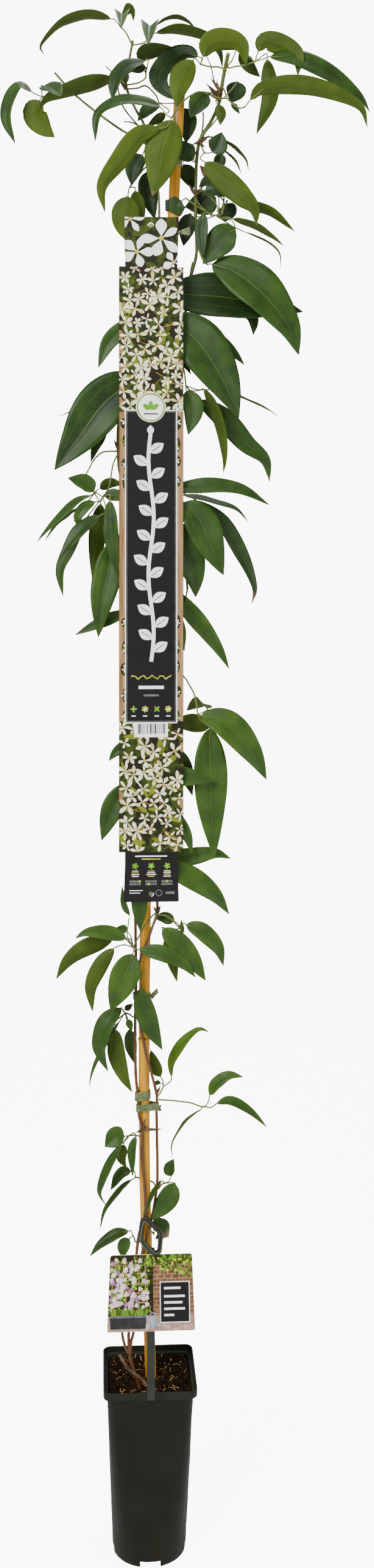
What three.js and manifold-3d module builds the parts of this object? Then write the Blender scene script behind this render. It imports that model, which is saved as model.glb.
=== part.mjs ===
import * as THREE from 'three';
import { mergeVertices } from 'three/addons/utils/BufferGeometryUtils.js';
import Module from 'manifold-3d';

// Potted armand clematis on a cane, in millimetres, Z up, standing on z = 0, front towards -Y.

const wasm = await Module();
wasm.setup();

// driving dimensions
const footRadius = 44.5;
const wallTop = 205.5;
const wallTopHalf = 51.5;
const rimHalf = 56;
const rimTop = 215;
const floorTop = 9;
const soilTop = 205;
const caneRadius = 6.7;
const clearance = 0.3;
const bladeThick = 0.72;
const petioleRadius = 1.15;
const stalkletRadius = 0.85;
const tieThick = 0.8;
const boardY = -34;
const boardThick = 1;

// rows are written as x, depth, z as seen by an eye at this place, against the upright plane y = 0
const eye = [-60, -1790, 1160];

function seen(p) {
  const s = (p[1] - eye[1]) / -eye[1];
  return new THREE.Vector3(eye[0] + (p[0] - eye[0]) * s, p[1], eye[2] + (p[2] - eye[2]) * s);
}

// small repeatable random numbers for the soil
function seeded(seed) {
  let state = seed;
  return () => {
    state = (state * 1103515245 + 12345) % 2147483648;
    return state / 2147483648;
  };
}

// ---- solids and their joins -------------------------------------------------------------------

function solidOf(geometry) {
  const bare = geometry.clone();
  bare.deleteAttribute('normal');
  bare.deleteAttribute('uv');
  const merged = mergeVertices(bare, 1e-5);
  return new wasm.Manifold(new wasm.Mesh({
    numProp: 3,
    vertProperties: new Float32Array(merged.attributes.position.array),
    triVerts: new Uint32Array(merged.index.array),
  }));
}

function geometryOf(solid) {
  const mesh = solid.getMesh();
  const geometry = new THREE.BufferGeometry();
  geometry.setAttribute('position', new THREE.BufferAttribute(new Float32Array(mesh.vertProperties), 3));
  geometry.setIndex(new THREE.BufferAttribute(new Uint32Array(mesh.triVerts), 1));
  return geometry;
}

function shellOf(points, faces) {
  const geometry = new THREE.BufferGeometry();
  const flat = points.flatMap((p) => [p.x, p.y, p.z]);
  geometry.setAttribute('position', new THREE.BufferAttribute(new Float32Array(flat), 3));
  geometry.setIndex(faces);
  return geometry;
}

function joined(list) {
  return list.reduce((sum, next) => sum.add(next));
}

// ---- pipes, lofts and bands -------------------------------------------------------------------

function carriedFrames(points, firstUp, closed = false) {
  const count = points.length;
  const frames = [];
  let up = firstUp.clone();
  for (let i = 0; i < count; i += 1) {
    const before = closed ? points[(i + count - 1) % count] : points[Math.max(i - 1, 0)];
    const after = closed ? points[(i + 1) % count] : points[Math.min(i + 1, count - 1)];
    const along = after.clone().sub(before).normalize();
    up = up.clone().addScaledVector(along, -up.dot(along)).normalize();
    frames.push({ at: points[i], along, up, side: along.clone().cross(up) });
  }
  return frames;
}

function pipe(points, radius, sides, closed = false, firstUp = null) {
  const start = points[1].clone().sub(points[0]).normalize();
  const guess = Math.abs(start.y) < 0.8 ? new THREE.Vector3(0, 1, 0) : new THREE.Vector3(1, 0, 0);
  const frames = carriedFrames(points, firstUp ?? guess, closed);
  const ring = [];
  frames.forEach((frame, i) => {
    const r = Array.isArray(radius) ? radius[i] : radius;
    for (let k = 0; k < sides; k += 1) {
      const a = (2 * Math.PI * k) / sides;
      const p = frame.at.clone();
      p.addScaledVector(frame.up, r * Math.cos(a));
      p.addScaledVector(frame.side, r * Math.sin(a));
      ring.push(p);
    }
  });
  const faces = [];
  const rings = points.length;
  const spans = closed ? rings : rings - 1;
  for (let i = 0; i < spans; i += 1) {
    for (let k = 0; k < sides; k += 1) {
      const a = i * sides + k;
      const b = i * sides + ((k + 1) % sides);
      const c = ((i + 1) % rings) * sides + k;
      const d = ((i + 1) % rings) * sides + ((k + 1) % sides);
      faces.push(a, b, d, a, d, c);
    }
  }
  if (!closed) {
    const last = (rings - 1) * sides;
    for (let k = 1; k < sides - 1; k += 1) {
      faces.push(0, k + 1, k);
      faces.push(last, last + k, last + k + 1);
    }
  }
  return shellOf(ring, faces);
}

// a loft through rings of equal count, closed by a fan to its first and last centre
function loft(rings, first, last) {
  const count = rings[0].length;
  const points = rings.flat();
  const faces = [];
  for (let i = 0; i < rings.length - 1; i += 1) {
    for (let k = 0; k < count; k += 1) {
      const a = i * count + k;
      const b = i * count + ((k + 1) % count);
      faces.push(a, b, b + count, a, b + count, a + count);
    }
  }
  points.push(first, last);
  const end = (rings.length - 1) * count;
  for (let k = 0; k < count; k += 1) {
    const next = (k + 1) % count;
    faces.push(points.length - 2, next, k);
    faces.push(points.length - 1, end + k, end + next);
  }
  return shellOf(points, faces);
}

// a square with rounded corners: half its width, the radius of its corners, its height
function squareRing(half, radius, z) {
  const ring = [];
  for (let corner = 0; corner < 4; corner += 1) {
    for (let k = 0; k < 6; k += 1) {
      const a = THREE.MathUtils.degToRad(corner * 90 + 7.5 + 15 * k);
      const sx = corner === 0 || corner === 3 ? 1 : -1;
      const sy = corner < 2 ? 1 : -1;
      const x = sx * (half - radius) + radius * Math.cos(a);
      const y = sy * (half - radius) + radius * Math.sin(a);
      ring.push(new THREE.Vector3(x, y, z));
    }
  }
  return ring;
}

function hullOf(marks) {
  const sorted = [...marks].sort((p, q) => p.x - q.x || p.y - q.y);
  const turn = (o, a, b) => (a.x - o.x) * (b.y - o.y) - (a.y - o.y) * (b.x - o.x);
  const half = (list) => {
    const chain = [];
    list.forEach((p) => {
      while (chain.length > 1 && turn(chain[chain.length - 2], chain[chain.length - 1], p) <= 0) {
        chain.pop();
      }
      chain.push(p);
    });
    chain.pop();
    return chain;
  };
  return half(sorted).concat(half(sorted.reverse()));
}

// a flat band pulled tight round upright rods: circles are x, y, radius
function band(circles, low, high, sides = 10) {
  const marks = [];
  circles.forEach(([x, y, r]) => {
    for (let k = 0; k < sides; k += 1) {
      const a = (2 * Math.PI * (k + 0.5)) / sides;
      const grow = 1 / Math.cos(Math.PI / sides);
      const reach = (r + clearance + 0.1) * grow;
      const nx = Math.cos(a);
      const ny = Math.sin(a);
      marks.push({ x: x + reach * nx, y: y + reach * ny, nx, ny });
    }
  });
  const inner = hullOf(marks);
  const outer = inner.map((m) => new THREE.Vector2(m.x + tieThick * m.nx, m.y + tieThick * m.ny));
  const shape = new THREE.Shape(outer);
  shape.holes.push(new THREE.Path(inner.map((m) => new THREE.Vector2(m.x, m.y))));
  const geometry = new THREE.ExtrudeGeometry(shape, { depth: high - low, bevelEnabled: false });
  geometry.translate(0, 0, low);
  return solidOf(geometry);
}

// a flat plate from a seen outline, between two depths
function seenPlate(outline, front, back, holes = []) {
  const shape = new THREE.Shape(outline.map(([x, z]) => new THREE.Vector2(x, z)));
  holes.forEach((hole) => {
    shape.holes.push(new THREE.Path(hole.map(([x, z]) => new THREE.Vector2(x, z))));
  });
  const geometry = new THREE.ExtrudeGeometry(shape, { depth: 1, bevelEnabled: false });
  const place = geometry.attributes.position;
  for (let i = 0; i < place.count; i += 1) {
    const y = place.getZ(i) > 0.5 ? front : back;
    const p = seen([place.getX(i), y, place.getY(i)]);
    place.setXYZ(i, p.x, p.y, p.z);
  }
  return solidOf(geometry);
}

function circleOutline(x, z, r, sides) {
  const outline = [];
  for (let k = 0; k < sides; k += 1) {
    const a = (2 * Math.PI * k) / sides;
    outline.push([x + r * Math.cos(a), z + r * Math.sin(a)]);
  }
  return outline;
}

// ---- pot, soil and cane -----------------------------------------------------------------------

function drum(x, y, low, high, radius, sides) {
  const geometry = new THREE.CylinderGeometry(radius, radius, high - low, sides);
  geometry.rotateX(Math.PI / 2);
  geometry.translate(x, y, (low + high) / 2);
  return solidOf(geometry);
}

function potSolid() {
  const at = (z) => new THREE.Vector3(0, 0, z);
  const rings = [
    squareRing(20, 20, 0),
    squareRing(23, 23, 7),
    squareRing(footRadius - 1.8, footRadius - 1.8, 7),
    squareRing(footRadius - 1.6, footRadius - 1.6, 0),
    squareRing(footRadius, footRadius, 0),
    squareRing(45.9, 36, 42),
    squareRing(47.3, 27, 84),
    squareRing(wallTopHalf, 9, wallTop),
    squareRing(rimHalf, 10, wallTop),
    squareRing(rimHalf, 10, rimTop),
    squareRing(rimHalf - 1.8, 8.4, rimTop),
    squareRing(rimHalf - 1.8, 8.4, wallTop + 1.7),
    squareRing(wallTopHalf - 1.6, 7.6, wallTop + 0.4),
    squareRing(45.5, 25.4, 84),
    squareRing(44.1, 34.2, 42),
    squareRing(42.7, 42.7, floorTop),
    squareRing(21.6, 21.6, floorTop),
    squareRing(18.6, 18.6, 2),
  ];
  let pot = solidOf(loft(rings, at(0), at(2)));
  for (let k = 0; k < 8; k += 1) {
    const a = (Math.PI / 4) * k + 0.2;
    pot = pot.subtract(drum(31 * Math.cos(a), 31 * Math.sin(a), 5, 12, 4.5, 8));
  }
  for (let k = 0; k < 4; k += 1) {
    const notch = new THREE.BoxGeometry(24, 12, 14);
    notch.translate(0, -footRadius, 0);
    notch.rotateZ((Math.PI / 2) * k);
    pot = pot.subtract(solidOf(notch));
  }
  return pot;
}

function soilSolid(holes) {
  const at = (z) => new THREE.Vector3(0, 0, z);
  const random = seeded(7);
  const heap = (half, radius, z, rough) => squareRing(half, radius, z).map((p) => {
    p.z += (random() - 0.5) * rough;
    return p;
  });
  const rings = [
    squareRing(18.2, 18.2, 2.4),
    squareRing(21.2, 21.2, floorTop + clearance),
    squareRing(42.2, 42.2, floorTop + clearance),
    squareRing(43.6, 33.8, 42),
    squareRing(45, 25, 84),
    squareRing(wallTopHalf - 2.2, 7.2, soilTop - 2.5),
    heap(wallTopHalf - 3.4, 7, soilTop - 1, 1.6),
    heap(38, 10, soilTop + 1, 3),
    heap(25, 12, soilTop + 0.5, 3.4),
    heap(12, 9, soilTop + 1.6, 3),
  ];
  return solidOf(loft(rings, at(2.4), at(soilTop + 2))).subtract(joined(holes));
}

// the cane's line as seen, with a low ridge at each joint
const caneLine = [
  [4, 12], [2, 200], [-2, 330], [-5.5, 450], [-6.3, 560], [-6, 650], [-4.5, 780], [2, 960],
  [11, 1180], [21, 1400], [31, 1660], [37, 1770], [39, 1797],
];
const caneJoints = [283, 618, 955, 1292, 1628];

function caneX(z) {
  const i = Math.max(1, caneLine.findIndex((p) => p[1] >= z));
  const [x0, z0] = caneLine[i - 1];
  const [x1, z1] = caneLine[i];
  return x0 + ((x1 - x0) * (z - z0)) / (z1 - z0);
}

function canePipe(grow) {
  const rows = caneLine.map(([, z]) => [z, 0]);
  caneJoints.forEach((z) => {
    rows.push([z - 3, 0.1], [z, 0.75], [z + 3, 0]);
  });
  rows.sort((p, q) => p[0] - q[0]);
  const points = rows.map(([z]) => seen([caneX(z), 0, z]));
  return solidOf(pipe(points, rows.map(([, r]) => caneRadius + r + grow), 10));
}

function caneSolid() {
  const top = seen([39, 0, 1797]);
  return canePipe(0).subtract(drum(top.x - 0.4, top.y, top.z - 14, top.z + 4, 3.4, 8));
}

// ---- stems ------------------------------------------------------------------------------------

const stemRoutes = [
  {
    from: 2, to: 1.6, sides: 5,
    run: [
      [-10, -25, 170], [-12, -24, 192], [-18, -24, 210], [-22, -23, 222], [-24, -22, 232],
      [-25, -20, 260], [-22, -18, 300], [-17, -11, 340], [-14, -6.8, 368], [-11, -9, 384],
      [-5, -10.3, 402], [-5, -10.3, 430], [-8, -10.3, 470], [-8, -10.3, 505], [-12.5, -9, 525],
      [-14, -6, 550], [-16, -3, 570], [-17, 0, 600], [-17, 1, 650], [-16, 3, 690],
      [-16.5, 4, 740], [-17, 2, 795], [-14, 2, 850], [-9.5, 3, 960], [-3.5, 3, 1100],
      [-8, 3, 1200], [-25, 4, 1270], [-36, 2, 1310], [-38, 0, 1335], [-38, 0, 1365],
      [-31, 2, 1400], [-16, 6, 1450], [-2, 9.5, 1510], [6, 10, 1560], [11, -1, 1600],
      [12, -5, 1612], [12, -6, 1640], [10, -7, 1665], [4, -7, 1692], [-3, -5, 1712],
      [-6, -2, 1735], [-18, 0, 1757], [-28, 0, 1783], [-25, 0, 1810], [-20, 0, 1838],
    ],
  },
  {
    from: 1.8, to: 1.8, sides: 5,
    run: [
      [-23.5, -22, 229], [-22, -20, 248], [-19, -19, 260], [-14, -15, 300], [-12, -11, 330],
      [-9, -9.2, 355], [-6, -9.2, 364], [-2, -10.4, 378], [4, -9.5, 402], [8, -5, 425], [10, -2, 445],
      [10, -2, 470], [9.5, -2, 500], [9, -2.5, 532], [9.6, -3.6, 545], [8, -7, 555],
      [3, -10.3, 575], [-2, -10.8, 592], [-6, -10.8, 610], [-9, -10.6, 625], [-12, -10, 640],
      [-15, -9, 660], [-16, -8.5, 680], [-15, -9.5, 695], [-12, -12, 710], [-8, -13.5, 723],
      [0, -14, 743], [4, -13.5, 755], [8, -10, 765], [10, -8, 775], [10, -6, 790],
      [11, -4, 850], [13.5, -2, 960], [17, -1, 1080], [21, 0, 1180], [27, 0, 1300],
      [33, 0, 1400], [39, 0, 1460], [45, 0, 1510], [51, 0, 1553], [54, 0, 1568],
    ],
  },
  {
    from: 2, to: 2.4, sides: 5,
    run: [
      [51, 0, 1550], [58, 0, 1580], [57, 0, 1620], [57, 0, 1661], [58, -2, 1690],
      [61, -4, 1715], [66, -6, 1725], [78, -6, 1745], [86, -6, 1765], [90, -5, 1790],
      [93, -3, 1806], [97, 0, 1825],
    ],
  },
  { from: 1.8, to: 1.6, sides: 5, run: [[-24.5, -22, 231], [-31, -23, 248], [-33, -20, 268],
    [-28, -15, 310], [-18, -11, 338], [-15.6, -9, 352]] },
  { from: 1.5, to: 1.4, sides: 5, run: [[-3, -5, 1711], [-14, -5, 1719], [-33, -4, 1728],
    [-62, 0, 1748], [-90, 2, 1770], [-101, 2, 1781], [-115, 2, 1797]] },
  { from: 1.1, to: 0.8, sides: 4, run: [[-6, -2, 1728], [-14, -5, 1735], [-30, -8, 1754],
    [-36, -8, 1769], [-39, -8, 1785], [-44, -8, 1797], [-53, -8, 1806]] },
  { from: 1.2, to: 0.8, sides: 4, run: [[-6, -3, 1728], [-18, 4, 1737], [-31, 6, 1739]] },
  { from: 1, to: 0.7, sides: 4, run: [[94, -2, 1808], [102, -2, 1817], [110, -2, 1840]] },
  { from: 1.2, to: 0.9, sides: 4, run: [[64, -6, 1722], [66, -6, 1738], [66, -6, 1753]] },
  { from: 1.2, to: 0.9, sides: 4, run: [[68, -6, 1728], [78, -12, 1738], [87, -14, 1750]] },
  { from: 1, to: 0.7, sides: 4, run: [[86, -6, 1776], [79, -8, 1793], [76, -8, 1808], [70, -6, 1822]] },
  { from: 1.1, to: 0.8, sides: 4, run: [[56, 0, 1650], [62, -14, 1638], [77, -20, 1625]] },
];

// pointed bracts and buds at the leaf joints: root, tip, root radius
const bracts = [
  [[-8, -9, 508], [17, -12, 507], 2.4], [[-7, -9, 508], [-17, -12, 503], 2.2],
  [[-9, -9, 504], [-4, -15, 521], 2.2], [[-38, 0, 1340], [-43, -3, 1350], 2.4],
  [[-38, 0, 1340], [-33, -3, 1351], 2.2], [[-28, 0, 1778], [-35, -2, 1790], 2.4],
  [[87, -6, 1770], [68, -9, 1777], 2.6],
  [[88, -6, 1778], [75, -12, 1795], 2.6], [[62, -4, 1716], [74, -9, 1724], 2.6],
  [[64, -5, 1722], [74, -8, 1741], 2.6], [[57, 0, 1652], [48, -4, 1664], 2.6],
  [[57, 0, 1652], [67, -4, 1662], 2.6],
  [[87, -6, 1772], [69, -14, 1788], 2.6], [[88, -6, 1774], [82, -14, 1793], 2.6],
  [[86, -6, 1766], [73, -16, 1783], 2.4], [[64, -5, 1718], [52, -9, 1712], 2.4],
  [[62, -5, 1716], [69, -13, 1709], 2.4],
  [[10, -2, 436], [14, -6, 446], 2.2], [[9.5, -4, 552], [14, -8, 560], 2.2],
  [[10, -8, 772], [14, -12, 781], 2.4], [[10, -8, 772], [5, -12, 780], 2.2],
];

function stemSolid(grow) {
  const parts = stemRoutes.map((route) => {
    const points = route.run.map(seen);
    const last = points.length - 1;
    const radii = points.map((p, i) => route.from + ((route.to - route.from) * i) / last + grow);
    return solidOf(pipe(points, radii, route.sides));
  });
  bracts.forEach(([root, tip, r]) => {
    const points = [seen(root), seen(tip)];
    const middle = points[0].clone().lerp(points[1], 0.45);
    const radii = [r, r * 0.8, 0.35].map((size) => size + grow * 1.6);
    parts.push(solidOf(pipe([points[0], middle, points[1]], radii, 3)));
  });
  return joined(parts).simplify(grow > 0 ? 0.02 : 0.12);
}

function oldStemSolid(grow) {
  const main = [[-3, -26, 193], [-10, -27, 202], [-18, -28, 208], [-25, -29, 214], [-30, -30, 222],
    [-36, -31, 232]].map(seen);
  const spur = [[-27, -30, 217], [-21, -34, 212], [-14, -36, 206]].map(seen);
  return joined([
    solidOf(pipe(main, [2.2, 2.2, 2.1, 2.1, 2, 1.8].map((r) => r + grow), 6)),
    solidOf(pipe(spur, [1.4, 1.3, 1].map((r) => r + grow), 5)),
  ]);
}

// ---- ties, board, card, strap, ring -----------------------------------------------------------

function realCircle([x, y, r], z) {
  const p = seen([x, y, z]);
  return [p.x, p.y, r];
}

function tieSolid(circles, low, high, tabs = []) {
  const middle = (low + high) / 2;
  const bottom = seen([0, -10, low]).z;
  const top = seen([0, -10, high]).z;
  const parts = [band(circles.map((c) => realCircle(c, middle)), bottom, top)];
  tabs.forEach(([outline, front, back]) => {
    parts.push(seenPlate(outline, front, back));
  });
  return joined(parts);
}

const boardTabTop = [
  [-29.3, 1562], [-29.6, 1575], [-31.2, 1623], [36.7, 1623], [35, 1575], [34.7, 1562],
];

function boardSolid() {
  const outline = [
    [-37, 846], [-29.6, 846], [-29.6, 832], [-31.2, 785], [36.4, 785], [35, 832], [34.6, 846],
    [42, 846], [42, 1562], ...[...boardTabTop].reverse(), [-37, 1562],
  ];
  const holes = [circleOutline(2, 1612.6, 3.5, 10), circleOutline(2.2, 795, 3.5, 10)];
  return seenPlate(outline, boardY - boardThick / 2, boardY + boardThick / 2, holes);
}

function boardTieSolid(holeX, z, tabs = []) {
  const centre = seen([caneX(z), 0, z]);
  const hole = seen([holeX, boardY, z]);
  const reach = caneRadius + 0.6 + 1.2 + 0.4;
  const points = [new THREE.Vector3(hole.x, hole.y + 1.5, hole.z)];
  const away = Math.atan2(centre.y - hole.y, centre.x - hole.x);
  points.push(new THREE.Vector3(hole.x + 1.2 * Math.sin(away), hole.y + 4, hole.z));
  for (let k = 0; k <= 7; k += 1) {
    const a = away - 1.75 + (3.5 * k) / 7;
    points.push(new THREE.Vector3(centre.x + reach * Math.cos(a), centre.y + reach * Math.sin(a), hole.z));
  }
  points.push(new THREE.Vector3(hole.x - 1.2 * Math.sin(away), hole.y + 4, hole.z));
  points.push(new THREE.Vector3(hole.x, hole.y + 1.5, hole.z));
  const cord = pipe(points, 1.2, 5, false, new THREE.Vector3(0, 0, 1));
  const plug = new THREE.CylinderGeometry(3, 3, 5, 8);
  plug.translate(hole.x, hole.y + 1.2, hole.z);
  const knot = new THREE.SphereGeometry(3.2, 7, 4);
  knot.translate(hole.x, hole.y + 3.4, hole.z);
  const plates = tabs.map(([outline, near, far]) => seenPlate(outline, near, far));
  return joined([solidOf(cord), solidOf(plug), solidOf(knot), ...plates]).simplify(0.06);
}

// the strap's line: it leaves the rim band and leans back to the cane
const strapFoot = { y: -57.2, z: 217.5 };
const strapHead = { y: -12, z: 355 };
const strapTop = 366;

function strapY(z) {
  return strapFoot.y + ((strapHead.y - strapFoot.y) * (z - strapFoot.z)) / (strapHead.z - strapFoot.z);
}

function strapSolid() {
  const side = [
    [-58, 207], [-56.4, 207], [-56.4, 215.4], [-53.9, 215.4], [-53.9, 209], [-52.3, 209],
    [-52.3, 217.1], [-56.4, 217.1], [strapY(strapTop) + 0.76, strapTop - 0.25],
    [strapY(strapTop) - 0.76, strapTop + 0.25], [-58, 217.9],
  ];
  const shape = new THREE.Shape(side.map(([y, z]) => new THREE.Vector2(y, z)));
  const geometry = new THREE.ExtrudeGeometry(shape, { depth: 9.5, bevelEnabled: false });
  const place = geometry.attributes.position;
  for (let i = 0; i < place.count; i += 1) {
    const y = place.getX(i);
    const z = place.getY(i);
    const lean = (Math.max(z, 218) - 218) * 0.009;
    place.setXYZ(i, 0.4 + lean - 4.75 + place.getZ(i), y, z);
  }
  return solidOf(geometry);
}

// the card is a little wider at its foot than at its head
const cardLow = 279.5;
const cardHigh = 359.7;
const cardFoot = { middle: 1.1, half: 52.8 };
const cardHead = { middle: 2, half: 49.7 };

function cardSolid() {
  const outline = new THREE.Shape();
  const r = 3;
  const { middle: m, half: w } = cardFoot;
  const { middle: n, half: v } = cardHead;
  outline.moveTo(m - w + r, cardLow);
  outline.lineTo(m + w - r, cardLow);
  outline.quadraticCurveTo(m + w, cardLow, m + w, cardLow + r);
  outline.lineTo(n + v, cardHigh - r);
  outline.quadraticCurveTo(n + v, cardHigh, n + v - r, cardHigh);
  outline.lineTo(n - v + r, cardHigh);
  outline.quadraticCurveTo(n - v, cardHigh, n - v, cardHigh - r);
  outline.lineTo(m - w, cardLow + r);
  outline.quadraticCurveTo(m - w, cardLow, m - w + r, cardLow);
  const geometry = new THREE.ExtrudeGeometry(outline, { depth: 0.8, bevelEnabled: false, curveSegments: 3 });
  const place = geometry.attributes.position;
  for (let i = 0; i < place.count; i += 1) {
    const z = place.getY(i);
    const y = strapY(z) - 2.1 + 0.4 - place.getZ(i);
    place.setXYZ(i, place.getX(i), y, z);
  }
  return solidOf(geometry);
}

function ringSolid() {
  const corners = [[-9.5, 385], [-9.3, 371], [-2, 362], [8, 355.5], [12.5, 358], [13.5, 368],
    [13.5, 380], [6, 388], [-2, 396.5], [-7.5, 396]];
  const points = corners.map(([x, z]) => seen([x, -15.2 - (z - 355) * 0.025, z]));
  return solidOf(pipe(points, 3.2, 7, true, new THREE.Vector3(0, 1, 0)));
}

// ---- leaves -----------------------------------------------------------------------------------

const stations = {
  2: [0.3, 0.68],
  3: [0.17, 0.47, 0.8],
  4: [0.12, 0.36, 0.62, 0.85],
  5: [0.1, 0.29, 0.5, 0.7, 0.87],
};

function bladeWidthAt(t) {
  return Math.sin(Math.PI * t ** 0.7) ** 0.85;
}

// a leathery blade with its stalklet: the spine runs through the points, the top looks along face
function leafletSolid(stalk, curve, width, face, fold, count) {
  const steps = 40;
  const line = [];
  for (let i = 0; i <= steps; i += 1) {
    line.push({ at: curve.getPointAt(i / steps), along: curve.getTangentAt(i / steps) });
  }
  const middle = Math.round(steps * 0.4);
  const upAt = [];
  const square = (up, along) => up.clone().addScaledVector(along, -up.dot(along)).normalize();
  upAt[middle] = square(new THREE.Vector3(...face), line[middle].along);
  for (let i = middle + 1; i <= steps; i += 1) {
    upAt[i] = square(upAt[i - 1], line[i].along);
  }
  for (let i = middle - 1; i >= 0; i -= 1) {
    upAt[i] = square(upAt[i + 1], line[i].along);
  }
  const path = [...stalk, line[0].at];
  const rings = [];
  let up = upAt[0];
  for (let i = path.length - 1; i >= 0; i -= 1) {
    const after = i === path.length - 1 ? line[3].at : path[i + 1];
    const along = after.clone().sub(path[Math.max(i - 1, 0)]).normalize();
    up = square(up, along);
    const side = up.clone().cross(along);
    const at = (a, b) => path[i].clone().addScaledVector(side, a).addScaledVector(up, b);
    const r = stalkletRadius;
    rings.unshift([at(-r, 0), at(0, r), at(r, 0), at(0, -r)]);
  }
  const points = rings.flat();
  const faces = [0, 1, 2, 0, 2, 3];
  const quad = (a, b, c, d) => faces.push(a, b, c, a, c, d);
  for (let i = 0; i < rings.length - 1; i += 1) {
    const a = i * 4;
    quad(a, a + 4, a + 5, a + 1);
    quad(a + 1, a + 5, a + 6, a + 2);
    quad(a + 3, a + 7, a + 4, a);
    quad(a + 2, a + 6, a + 7, a + 3);
  }
  const tilt = THREE.MathUtils.degToRad(fold);
  const thick = bladeThick / Math.cos(tilt) / 2;
  const first = points.length;
  stations[count].forEach((t) => {
    const i = Math.round(t * steps);
    const { at, along } = line[i];
    const side = upAt[i].clone().cross(along);
    const reach = (width / 2) * bladeWidthAt(t);
    [-1, 0, 1].forEach((s) => {
      const p = at.clone();
      p.addScaledVector(side, s * reach * Math.cos(tilt));
      p.addScaledVector(upAt[i], Math.abs(s) * reach * Math.sin(tilt));
      points.push(p.clone().addScaledVector(upAt[i], thick));
      points.push(p.clone().addScaledVector(upAt[i], -thick));
    });
  });
  points.push(line[steps].at);
  const tip = points.length - 1;
  const root = first - 4;
  quad(root, first, first + 2, root + 1);
  quad(root + 1, first + 2, first + 4, root + 2);
  quad(root + 3, first + 3, first + 1, root);
  quad(root + 2, first + 5, first + 3, root + 3);
  faces.push(root, first + 1, first, root + 2, first + 4, first + 5);
  for (let k = 0; k < count - 1; k += 1) {
    const a = first + k * 6;
    const b = a + 6;
    quad(a, b, b + 2, a + 2);
    quad(a + 2, b + 2, b + 4, a + 4);
    quad(a + 3, b + 3, b + 1, a + 1);
    quad(a + 5, b + 5, b + 3, a + 3);
    quad(a + 1, b + 1, b, a);
    quad(a + 4, b + 4, b + 5, a + 5);
  }
  const z = first + (count - 1) * 6;
  faces.push(tip, z + 2, z, tip, z + 4, z + 2, tip, z + 1, z + 3, tip, z + 3, z + 5);
  faces.push(tip, z, z + 1, tip, z + 5, z + 4);
  return solidOf(shellOf(points, faces));
}

function curveThrough(points) {
  return new THREE.CatmullRomCurve3(points, false, 'catmullrom', 0.5);
}

// the nearest place on the middle line of any stem or shoot
function rootOn(place) {
  let best = null;
  stemRoutes.forEach((route) => {
    const points = route.run.map(seen);
    for (let i = 0; i < points.length - 1; i += 1) {
      const found = new THREE.Vector3();
      new THREE.Line3(points[i], points[i + 1]).closestPointToPoint(place, true, found);
      if (best === null || found.distanceTo(place) < best.distanceTo(place)) {
        best = found;
      }
    }
  });
  return best;
}

// a leaf: its petiole from the stem, and each blade on its own stalklet from the petiole's end
function leafSolid(leaf, stemCut) {
  const stalks = leaf.stalks.map((run) => {
    const points = run.map(seen);
    points.unshift(rootOn(points[0]));
    return solidOf(pipe(points, petioleRadius, 4)).subtract(stemCut);
  });
  const parts = leaf.blades.map(([width, face, fold, run, via = [], on = 0]) => {
    const curve = curveThrough(run.map(seen));
    const count = width < 13 ? 2 : Math.min(width < 24 ? 4 : 5, Math.max(3, run.length));
    const petiole = leaf.stalks[on].map(seen);
    const hub = petiole[petiole.length - 1];
    const back = petiole[petiole.length - 2].clone().sub(hub).normalize();
    const stalk = [hub.clone().addScaledVector(back, 0.9), ...via.map(seen)];
    const base = curve.getPointAt(0);
    const gap = base.distanceTo(hub);
    if (via.length === 0 && gap > 12) {
      stalk.push(base.clone().addScaledVector(curve.getTangentAt(0), -gap * 0.4));
    }
    return leafletSolid(stalk, curve, width, face, fold, count);
  });
  const pieces = joined([...stalks, ...parts]).simplify(0.15).decompose();
  return pieces.reduce((big, piece) => (piece.volume() > big.volume() ? piece : big));
}

// each blade: width, where its top looks, fold, its spine as seen, its stalklet, its petiole's number
const up = [0, 0.1, 1];
const front = [0, -1, 0.2];
const rear = [0, 1, 0.2];

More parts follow.
